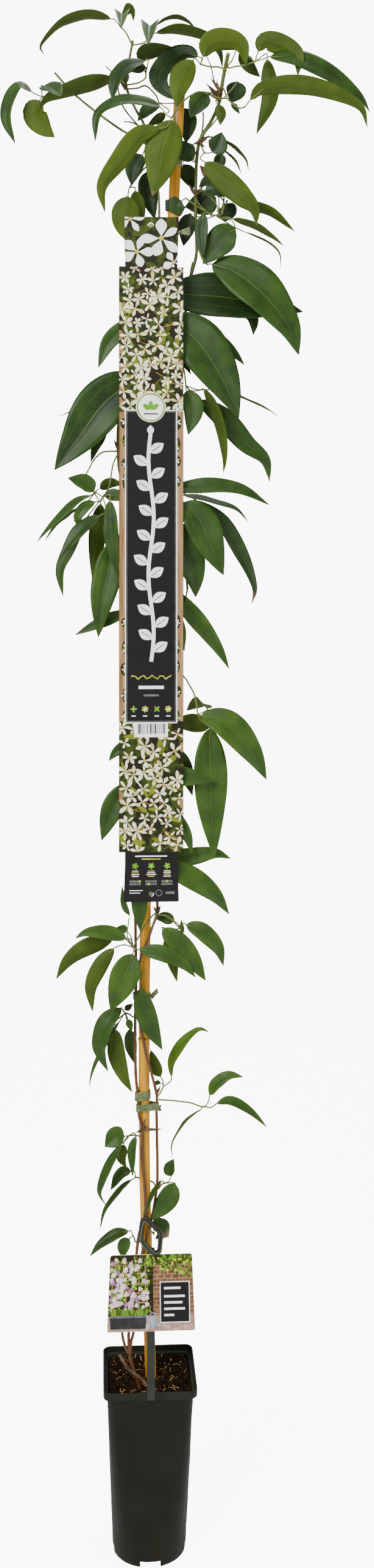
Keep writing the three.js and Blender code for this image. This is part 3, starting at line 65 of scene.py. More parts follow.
studio = {
    "worldPower": 0.52,             # what lights the plant
    "backdrop": 9.0,                # what the camera sees behind it
    "key": {"at": (-1.5, -2.3, 2.5), "aim": (0, 0, 0.95), "size": 1.3, "power": 108},
    "fill": {"at": (2.2, -1.6, 1.3), "aim": (0, 0, 0.9), "size": 1.6, "power": 30},
    "top": {"at": (0.2, 0.3, 3.5), "aim": (0, 0, 1.4), "size": 1.0, "power": 42},
    "floorColor": (0.90, 0.90, 0.90, 1),
    "floorSize": 40,
    "floorDim": 0.5,                # how much less the floor shines to the camera than the backdrop
}


def makeLight(name, at, aim, size, power):
    data = bpy.data.lights.new(name, "AREA")
    data.shape = "SQUARE"
    data.size = size
    data.energy = power
    light = bpy.data.objects.new(name, data)
    bpy.context.scene.collection.objects.link(light)
    light.location = at
    light.rotation_euler = (vec(aim) - vec(at)).to_track_quat("-Z", "Y").to_euler()


def seenStrength(tree, socket, hidden, shown):
    # one brightness for the light it gives, another for what the camera sees
    path = tree.nodes.new("ShaderNodeLightPath")
    mix = tree.nodes.new("ShaderNodeMapRange")
    mix.inputs["To Min"].default_value = hidden
    mix.inputs["To Max"].default_value = shown
    tree.links.new(path.outputs["Is Camera Ray"], mix.inputs["Value"])
    tree.links.new(mix.outputs[0], socket)


def makeStudio():
    world = bpy.data.worlds.new("studioWorld")
    bpy.context.scene.world = world
    world.use_nodes = True
    tree = world.node_tree
    back = tree.nodes["Background"]
    back.inputs["Color"].default_value = (1, 1, 1, 1)
    seenStrength(tree, back.inputs["Strength"], studio["worldPower"], studio["backdrop"])
    for name in ("key", "fill", "top"):
        makeLight(name + "Light", **studio[name])
    bpy.ops.mesh.primitive_plane_add(size=studio["floorSize"], location=(0, 0, 0))
    floor = bpy.context.object
    floor.name = "studioFloor"
    floorMat = bpy.data.materials.new("paleFloor")
    floorMat.use_nodes = True
    shader = floorMat.node_tree.nodes["Principled BSDF"]
    shader.inputs["Base Color"].default_value = studio["floorColor"]
    shader.inputs["Roughness"].default_value = 0.8
    shader.inputs["Specular IOR Level"].default_value = 0.1
    shader.inputs["Emission Color"].default_value = (1, 1, 1, 1)
    seenStrength(floorMat.node_tree, shader.inputs["Emission Strength"], 0.0,
                 studio["backdrop"] - studio["floorDim"])
    floor.data.materials.append(floorMat)
    bpy.ops.object.select_all(action="DESELECT")


makeCamera()
makeStudio()
print("camera and studio ready")


def newMaterial(name, roughness=0.5, **values):
    mat = bpy.data.materials.new(name)
    mat.use_nodes = True
    shader = mat.node_tree.nodes["Principled BSDF"]
    shader.inputs["Roughness"].default_value = roughness
    for key, value in values.items():
        shader.inputs[key.replace("_", " ")].default_value = value
    return mat, mat.node_tree, shader


def setInput(tree, socket, value):
    # links an output to the socket, or sets the socket to a plain value
    if hasattr(value, "links"):
        tree.links.new(value, socket)
    else:
        socket.default_value = value


def addNode(tree, kind, **inputs):
    node = tree.nodes.new(kind)
    for key, value in inputs.items():
        setInput(tree, node.inputs[key.replace("_", " ")], value)
    return node


def mixColors(tree, factor, a, b):
    node = tree.nodes.new("ShaderNodeMix")
    node.data_type = "RGBA"
    for place, value in ((0, factor), (6, a), (7, b)):
        setInput(tree, node.inputs[place], value)
    return node.outputs[2]


def mathNode(tree, operation, a, b=0.0, clamp=False):
    node = tree.nodes.new("ShaderNodeMath")
    node.operation = operation
    node.use_clamp = clamp
    setInput(tree, node.inputs[0], a)
    setInput(tree, node.inputs[1], b)
    return node.outputs[0]


def times(tree, a, b, clamp=False):
    return mathNode(tree, "MULTIPLY", a, b, clamp)


def plus(tree, a, b, clamp=False):
    return mathNode(tree, "ADD", a, b, clamp)


def minus(tree, a, b, clamp=False):
    return mathNode(tree, "SUBTRACT", a, b, clamp)


def awayFrom(tree, a, b):
    return mathNode(tree, "ABSOLUTE", minus(tree, a, b))


def lineMask(tree, away, width):
    # 1 on a line, fading to 0 at its width
    return minus(tree, 1.0, mathNode(tree, "DIVIDE", away, width), clamp=True)


def rampNode(tree, factor, stops):
    node = tree.nodes.new("ShaderNodeValToRGB")
    tree.links.new(factor, node.inputs[0])
    ramp = node.color_ramp
    while len(ramp.elements) < len(stops):
        ramp.elements.new(0.5)
    for element, (place, color) in zip(ramp.elements, stops):
        element.position = place
        element.color = (*color, 1)
    return node.outputs[0]


def attributeOut(tree, name):
    node = tree.nodes.new("ShaderNodeAttribute")
    node.attribute_name = name
    return node.outputs["Fac"]


def objectPlace(tree):
    return tree.nodes.new("ShaderNodeTexCoord").outputs["Object"]


def axisOut(tree, vector, axis):
    return addNode(tree, "ShaderNodeSeparateXYZ", Vector=vector).outputs[axis]


def grainGroup():
    # fine and broad mottling on object coordinates: a mask for colour and a height for bump
    group = bpy.data.node_groups.new("surfaceGrain", "ShaderNodeTree")
    for label, way, kind in (("Fine Scale", "INPUT", "Float"), ("Broad Scale", "INPUT", "Float"),
                             ("Stretch", "INPUT", "Vector"), ("Fine", "OUTPUT", "Float"),
                             ("Broad", "OUTPUT", "Float")):
        group.interface.new_socket(label, in_out=way, socket_type="NodeSocket" + kind)
    enter = group.nodes.new("NodeGroupInput")
    leave = group.nodes.new("NodeGroupOutput")
    scale = group.nodes.new("ShaderNodeVectorMath")
    scale.operation = "MULTIPLY"
    group.links.new(objectPlace(group), scale.inputs[0])
    group.links.new(enter.outputs["Stretch"], scale.inputs[1])
    for name in ("Fine", "Broad"):
        tex = group.nodes.new("ShaderNodeTexNoise")
        tex.inputs["Detail"].default_value = 4
        group.links.new(scale.outputs[0], tex.inputs["Vector"])
        group.links.new(enter.outputs[name + " Scale"], tex.inputs["Scale"])
        group.links.new(tex.outputs[0], leave.inputs[name])
    return group


grain = grainGroup()


def addGrain(tree, fine, broad, stretch=(1, 1, 1)):
    node = tree.nodes.new("ShaderNodeGroup")
    node.node_tree = grain
    node.inputs["Fine Scale"].default_value = fine
    node.inputs["Broad Scale"].default_value = broad
    node.inputs["Stretch"].default_value = stretch
    return node.outputs["Fine"], node.outputs["Broad"]


def addBump(tree, shader, height, strength, distance=0.0005):
    bump = addNode(tree, "ShaderNodeBump", Strength=strength, Distance=distance, Height=height)
    tree.links.new(bump.outputs[0], shader.inputs["Normal"])


def grainyMaterial(name, colors, roughness, fine, broad, bump=0.3, stretch=(1, 1, 1), **values):
    mat, tree, shader = newMaterial(name, roughness, **values)
    fineOut, broadOut = addGrain(tree, fine, broad, stretch)
    mixed = plus(tree, times(tree, fineOut, 0.4), times(tree, broadOut, 0.6))
    color = rampNode(tree, mixed, [(0.36, colors[0]), (0.5, colors[1]), (0.64, colors[2])])
    tree.links.new(color, shader.inputs["Base Color"])
    addBump(tree, shader, fineOut, bump)
    return mat


sightEye = vec(photoView["eye"])


def seen(row):
    # a place read on the upright plane y = 0, carried along its line of sight to its own depth
    x, y, z = row
    s = (y - sightEye.y) / -sightEye.y
    return vec((sightEye.x + (x - sightEye.x) * s, y, sightEye.z + (z - sightEye.z) * s))


def catmull(p0, p1, p2, p3, t):
    a = (p2 - p0) * 0.5
    b = (p3 - p1) * 0.5
    t2, t3 = t * t, t * t * t
    return (p1 * (2 * t3 - 3 * t2 + 1) + p2 * (-2 * t3 + 3 * t2)
            + a * (t3 - 2 * t2 + t) + b * (t3 - t2))


def runLength(points):
    return sum((b - a).length for a, b in zip(points, points[1:]))


def smoothLine(points, count, fineSteps=24):
    # evenly spaced places along a soft curve through the points, both ends kept
    ext = [points[0] * 2 - points[1], *points, points[-1] * 2 - points[-2]]
    fine = [catmull(*ext[i:i + 4], k / fineSteps)
            for i in range(len(points) - 1) for k in range(fineSteps)]
    fine.append(points[-1].copy())
    lengths = [0.0]
    for a, b in zip(fine, fine[1:]):
        lengths.append(lengths[-1] + (b - a).length)
    line, j = [], 0
    for i in range(count + 1):
        want = lengths[-1] * i / count
        while j < len(fine) - 2 and lengths[j + 1] < want:
            j += 1
        gap = lengths[j + 1] - lengths[j]
        line.append(fine[j].lerp(fine[j + 1], 0 if gap < 1e-9 else (want - lengths[j]) / gap))
    return line


def tangents(line):
    last = len(line) - 1
    return [(line[min(i + 1, last)] - line[max(i - 1, 0)]).normalized() for i in range(last + 1)]


def loopTangents(line):
    count = len(line)
    return [(line[(i + 1) % count] - line[i - 1]).normalized() for i in range(count)]


def squareTo(up, along):
    return (up - along * up.dot(along)).normalized()


def carriedUps(alongs, up, start=0):
    ups = [None] * len(alongs)
    ups[start] = squareTo(up, alongs[start])
    for i in range(start + 1, len(alongs)):
        ups[i] = squareTo(ups[i - 1], alongs[i])
    for i in range(start - 1, -1, -1):
        ups[i] = squareTo(ups[i + 1], alongs[i])
    return ups


def linkObject(name, mesh, materials):
    obj = bpy.data.objects.new(name, mesh)
    bpy.context.scene.collection.objects.link(obj)
    for mat in materials:
        mesh.materials.append(mat)
    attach(obj, "root")
    return obj


def makeObject(name, verts, faces, materials, smooth=True):
    # verts in millimetres
    mesh = bpy.data.meshes.new(name)
    mesh.from_pydata([v * mm for v in verts], [], faces)
    mesh.validate()
    mesh.update()
    if smooth:
        mesh.shade_smooth()
    return linkObject(name, mesh, materials)


def setValues(mesh, label, values):
    mesh.attributes.new(label, "FLOAT", "POINT").data.foreach_set("value", values)


def selectOnly(obj):
    bpy.ops.object.select_all(action="DESELECT")
    obj.select_set(True)
    bpy.context.view_layer.objects.active = obj


def faceOutward(obj):
    selectOnly(obj)
    bpy.ops.object.mode_set(mode="EDIT")
    bpy.ops.mesh.select_all(action="SELECT")
    bpy.ops.mesh.normals_make_consistent(inside=False)
    bpy.ops.object.mode_set(mode="OBJECT")


def cutBy(obj, cutter):
    mod = obj.modifiers.new("cut", "BOOLEAN")
    mod.operation = "DIFFERENCE"
    mod.object = cutter
    mod.solver = "EXACT"
    selectOnly(obj)
    bpy.ops.object.modifier_apply(modifier=mod.name)
    obj.select_set(False)
    bpy.data.objects.remove(cutter, do_unlink=True)


def bandFaces(faces, a, b, count):
    # joins two rings of places, each of count, that start at a and b
    for k in range(count):
        m = (k + 1) % count
        faces.append((a + k, a + m, b + m, b + k))


def capFaces(faces, first, last, count):
    # closes a skin at its first and its last ring
    faces.append(tuple(first + k for k in reversed(range(count))))
    faces.append(tuple(last + k for k in range(count)))


def loftInto(verts, faces, rings):
    # skins the rings in turn, then fills the first and the last
    first, count = len(verts), len(rings[0])
    for ring in rings:
        verts.extend(ring)
    for i in range(len(rings) - 1):
        bandFaces(faces, first + i * count, first + (i + 1) * count, count)
    capFaces(faces, first, first + (len(rings) - 1) * count, count)


def tubeInto(verts, faces, line, radii, sides, closed=False, up=None):
    # a flat-ended tube along a line: appended to the lists, so several make one piece
    alongs = loopTangents(line) if closed else tangents(line)
    guess = up or (vec((0, 1, 0)) if abs(alongs[0].y) < 0.8 else vec((1, 0, 0)))
    ups = carriedUps(alongs, guess)
    first, rings = len(verts), len(line)
    for i, (at, along, top) in enumerate(zip(line, alongs, ups)):
        side = along.cross(top)
        r = radii[i] if isinstance(radii, (list, tuple)) else radii
        for k in range(sides):
            a = 2 * math.pi * k / sides
            verts.append(at + top * (r * math.cos(a)) + side * (r * math.sin(a)))
    for i in range(rings if closed else rings - 1):
        bandFaces(faces, first + i * sides, first + (i + 1) % rings * sides, sides)
    if not closed:
        capFaces(faces, first, first + (rings - 1) * sides, sides)


leafLook = {
    "topDeep": (0.0060, 0.0215, 0.0009),
    "topMid": (0.0225, 0.0640, 0.0013),
    "topPale": (0.0600, 0.1240, 0.0024),
    "vein": (0.0750, 0.1350, 0.0070),
    "underDeep": (0.0220, 0.0440, 0.0030),
    "under": (0.0500, 0.0850, 0.0060),
    "underPale": (0.0860, 0.1240, 0.0100),
    "underVein": (0.1050, 0.1500, 0.0160),
    "browned": (0.23, 0.14, 0.06, 1),
    "roughness": 0.46,
    "underRoughness": 0.55,
    "stalkDeep": (0.062, 0.085, 0.005),
    "stalk": (0.085, 0.122, 0.018),
    "stalkPale": (0.18, 0.17, 0.012),
    "tone": 0.46,                   # where leafLooks gives none
    "thickness": 0.72,              # mm
    "edge": 0.6,                    # mm, least half width
    "steps": 30,                    # along a large blade
    "across": 8,
    "stepLength": 3.5,              # mm
    "petiole": 1.05,                # mm, radius
    "petioleRoot": 1.35,
    "stalklet": 0.85,
}


def veinMask(tree, uvOut):
    # midrib, two long side ribs and faint feather veins, from the blade's own map
    split = addNode(tree, "ShaderNodeSeparateXYZ", Vector=uvOut)
    u, v = split.outputs[0], split.outputs[1]
    off = awayFrom(tree, v, 0.5)
    rib = lineMask(tree, off, 0.016)
    side = lineMask(tree, awayFrom(tree, off, 0.235), 0.009)
    slant = minus(tree, times(tree, u, 30.0), times(tree, off, 22.0))
    wave = mathNode(tree, "ABSOLUTE", mathNode(tree, "SINE", slant))
    feather = times(tree, lineMask(tree, wave, 0.16), 0.17)
    return mathNode(tree, "MAXIMUM", rib,
                    mathNode(tree, "MAXIMUM", times(tree, side, 0.42), feather))


def leafMaterial(name, tones, vein, roughness, specular, veinUp):
    mat, tree, shader = newMaterial(name, roughness, Specular_IOR_Level=specular)
    uv = tree.nodes.new("ShaderNodeUVMap")
    uv.uv_map = "bladeMap"
    veins = veinMask(tree, uv.outputs[0])
    fine, broad = addGrain(tree, 900, 42)
    # mottling, and a paler margin than middle
    margin = minus(tree, awayFrom(tree, axisOut(tree, uv.outputs[0], 1), 0.5), 0.25)
    mottled = plus(tree, minus(tree, broad, 0.5), times(tree, margin, 0.35))
    # the tone is partly the leaf's own colour and partly painted shade for leaves that lie in
    # shadow
    level = plus(tree, attributeOut(tree, "tone"), mottled, clamp=True)
    color = rampNode(tree, level, list(zip((0.0, 0.5, 1.0), tones)))
    color = mixColors(tree, times(tree, veins, 0.75), color, (*vein, 1))
    spots = addNode(tree, "ShaderNodeTexNoise", Scale=420.0, Vector=objectPlace(tree))
    speck = mathNode(tree, "GREATER_THAN", spots.outputs[0], 0.745)
    brown = mathNode(tree, "MAXIMUM", attributeOut(tree, "browned"), times(tree, speck, 0.45),
                     clamp=True)
    color = mixColors(tree, brown, color, leafLook["browned"])
    tree.links.new(color, shader.inputs["Base Color"])
    rough = plus(tree, times(tree, broad, 0.22), roughness - 0.1, clamp=True)
    tree.links.new(rough, shader.inputs["Roughness"])
    relief = plus(tree, times(tree, veins, veinUp), times(tree, fine, 0.14))
    addBump(tree, shader, relief, 0.6, 0.0004)
    return mat


def stalkMaterial():
    mat, tree, shader = newMaterial("leafStalk", 0.5)
    fine, broad = addGrain(tree, 700, 45)
    color = rampNode(tree, broad, [(0.32, leafLook["stalkDeep"]), (0.5, leafLook["stalk"]),
                                   (0.68, leafLook["stalkPale"])])
    tree.links.new(color, shader.inputs["Base Color"])
    addBump(tree, shader, fine, 0.3)
    return mat


leafMaterials = [
    leafMaterial("leafTopSide", [leafLook[k] for k in ("topDeep", "topMid", "topPale")],
                 leafLook["vein"], leafLook["roughness"], 0.3, -1.0),
    leafMaterial("leafUnderside", [leafLook[k] for k in ("underDeep", "under", "underPale")],
                 leafLook["underVein"], leafLook["underRoughness"], 0.16, 1.0),
    stalkMaterial(),
]


def blade(width, face, spine, via=(), fold=12, petiole=0):
    # one leaflet: its width, where its top looks, its midrib from the stalklet's end to the tip,
    # the places its stalklet passes, how far its halves fold up, and which petiole carries it
    return {"width": width, "face": face, "spine": spine, "via": via, "fold": fold,
            "petiole": petiole}


def bladeWidthAt(t):
    return math.sin(math.pi * t ** 0.7) ** 0.85 if 0 < t < 1 else 0


class LeafSheet:
    # gathers one leaf's mesh: places with their tone and browning, faces with their map
    def __init__(self):
        self.verts, self.tones, self.browns = [], [], []
        self.faces, self.mats, self.maps = [], [], []

    def addPlace(self, place, tone, brown):
        self.verts.append(place)
        self.tones.append(tone)
        self.browns.append(brown)
        return len(self.verts) - 1

    def addFace(self, corners, mat, uvs, flip=False):
        self.faces.append(corners[::-1] if flip else corners)
        self.mats.append(mat)
        self.maps.append(uvs)

    def addTubes(self, verts, faces):
        first = len(self.verts)
        for place in verts:
            self.addPlace(place, 0.5, 0.0)
        for face in faces:
            self.addFace(tuple(first + i for i in face), 2, [(0.0, 0.1)] * len(face))


def bladeLine(row):
    # the blade's midrib in even steps, its directions, and the way its top looks at each step
    points = [seen(p) for p in row["spine"]]
    steps = max(12, min(leafLook["steps"], int(runLength(points) / leafLook["stepLength"])))
    line = smoothLine(points, steps)
    alongs = tangents(line)
    return line, alongs, carriedUps(alongs, vec(row["face"]), round(steps * 0.4))


def bladeInto(sheet, row, line, alongs, ups, tone, browned, shape):
    # adds one blade's two faces and its rim
    steps = len(line) - 1
    across = leafLook["across"] if row["width"] > 12 else 6
    tilt = math.radians(row["fold"])
    wave, phase, lobes, curl = shape
    index = {}
    for layer in (1, -1):
        for i in range(steps + 1):
            t = i / steps
            least = 0.45 if i in (0, steps) else leafLook["edge"]
            w = max(row["width"] / 2 * bladeWidthAt(t), least)
            side = ups[i].cross(alongs[i])
            brown = max(0.0, (t - 1 + browned) / max(browned, 0.01)) if browned > 0 else 0.0
            for k in range(across + 1):
                s = k / across * 2 - 1
                edge = abs(s)
                lift = edge * w * math.sin(tilt) - curl * w * edge ** 3 * 0.5
                turn = phase + lobes * 2 * math.pi * t + (1.3 if s > 0 else 0)
                ripple = wave * w * edge ** 2.2 * math.sin(turn)
                groove = (-0.5 * math.exp(-(s / 0.10) ** 2)
                          - 0.12 * math.exp(-((edge - 0.47) / 0.08) ** 2))
                p = line[i] + side * (s * w * math.cos(tilt))
                p = p + ups[i] * (lift + ripple + groove * min(1, w / 8))
                half = leafLook["thickness"] / 2 * (1 - 0.35 * edge ** 4)
                index[layer, i, k] = sheet.addPlace(p + ups[i] * (layer * half), tone,
                                                    min(1.0, brown * 1.6))
    reach = runLength(line) / 100
    for i in range(steps):
        for k in range(across):
            corners = [(i, k), (i + 1, k), (i + 1, k + 1), (i, k + 1)]
            uvs = [(reach * a / steps, b / across) for a, b in corners]
            sheet.addFace(tuple(index[1, a, b] for a, b in corners), 0, uvs)
            sheet.addFace(tuple(index[-1, a, b] for a, b in reversed(corners)), 1, uvs[::-1])
        for k in (0, across):
            rim = (index[1, i, k], index[-1, i, k], index[-1, i + 1, k], index[1, i + 1, k])
            sheet.addFace(rim, 1, [(reach * i / steps, 0.06)] * 4, flip=k > 0)
    for i in (0, steps):
        for k in range(across):
            rim = (index[1, i, k], index[-1, i, k], index[-1, i, k + 1], index[1, i, k + 1])
            sheet.addFace(rim, 1, [(0.0, 0.06)] * 4, flip=i == 0)


def stalkletLine(row, petiole, line, alongs):
    # from inside the petiole's end, past the places in between, into the blade's foot
    hub, base = petiole[-1], line[0]
    back = (petiole[-2] - hub).normalized()
    points = [hub + back * 0.9, *[seen(p) for p in row["via"]]]
    gap = (base - hub).length
    if not row["via"] and gap > 6:
        points.append(base - alongs[0] * (gap * 0.4))
    points += [base, line[max(1, round((len(line) - 1) * 0.12))]]
    return smoothLine(points, 5 * len(points))


def makeLeaf(name, petioles, blades, looks):
    # looks: tone 0 deep to 1 pale, partly the leaf's own colour and partly painted shade, and share
    # of the tip that has browned
    rng = random.Random(name)
    sheet = LeafSheet()
    verts, faces = [], []
    for number, run in enumerate(petioles):
        points = [seen(p) for p in run]
        if number == 0:
            points.insert(0, nearestOnStem(points[0]))
        line = smoothLine(points, 6 * len(points))
        radii = [leafLook["petioleRoot" if i < 3 else "petiole"] for i in range(len(line))]
        tubeInto(verts, faces, line, radii, 8)
    for number, row in enumerate(blades):
        middleTone = looks.get("tones", {}).get(number, looks.get("tone", leafLook["tone"]))
        tone = min(1, max(0, middleTone + rng.uniform(-0.08, 0.08)))
        shape = (rng.uniform(0.03, 0.075), rng.uniform(0, 6.28), rng.uniform(1.2, 2.6),
                 rng.uniform(-0.05, 0.16))
        browned = looks.get("brown", {}).get(number, 0.0)
        spine, alongs, ups = bladeLine(row)
        bladeInto(sheet, row, spine, alongs, ups, tone, browned, shape)
        petiole = [seen(p) for p in petioles[row["petiole"]]]
        line = stalkletLine(row, petiole, spine, alongs)
        last = len(line) - 1
        radii = [leafLook["stalklet"] - 0.5 * max(0, i / last - 0.75) / 0.25
                 for i in range(last + 1)]
        tubeInto(verts, faces, line, radii, 7)
    sheet.addTubes(verts, faces)
    mesh = bpy.data.meshes.new(name + "_leaf")
    mesh.from_pydata([v * mm for v in sheet.verts], [], sheet.faces)
    uvLayer = mesh.uv_layers.new(name="bladeMap")
    uvLayer.data.foreach_set("uv", [c for uvs in sheet.maps for uv in uvs for c in uv])
    mesh.polygons.foreach_set("material_index", sheet.mats)
    setValues(mesh, "tone", sheet.tones)
    setValues(mesh, "browned", sheet.browns)
    mesh.update()
    mesh.shade_smooth()
    obj = linkObject(name + "_leaf", mesh, leafMaterials)
    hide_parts(name)


# each leaf: its petioles, then its blades, mm as seen
front = (0, -1, 0.2)
rear = (0, 1, 0.2)

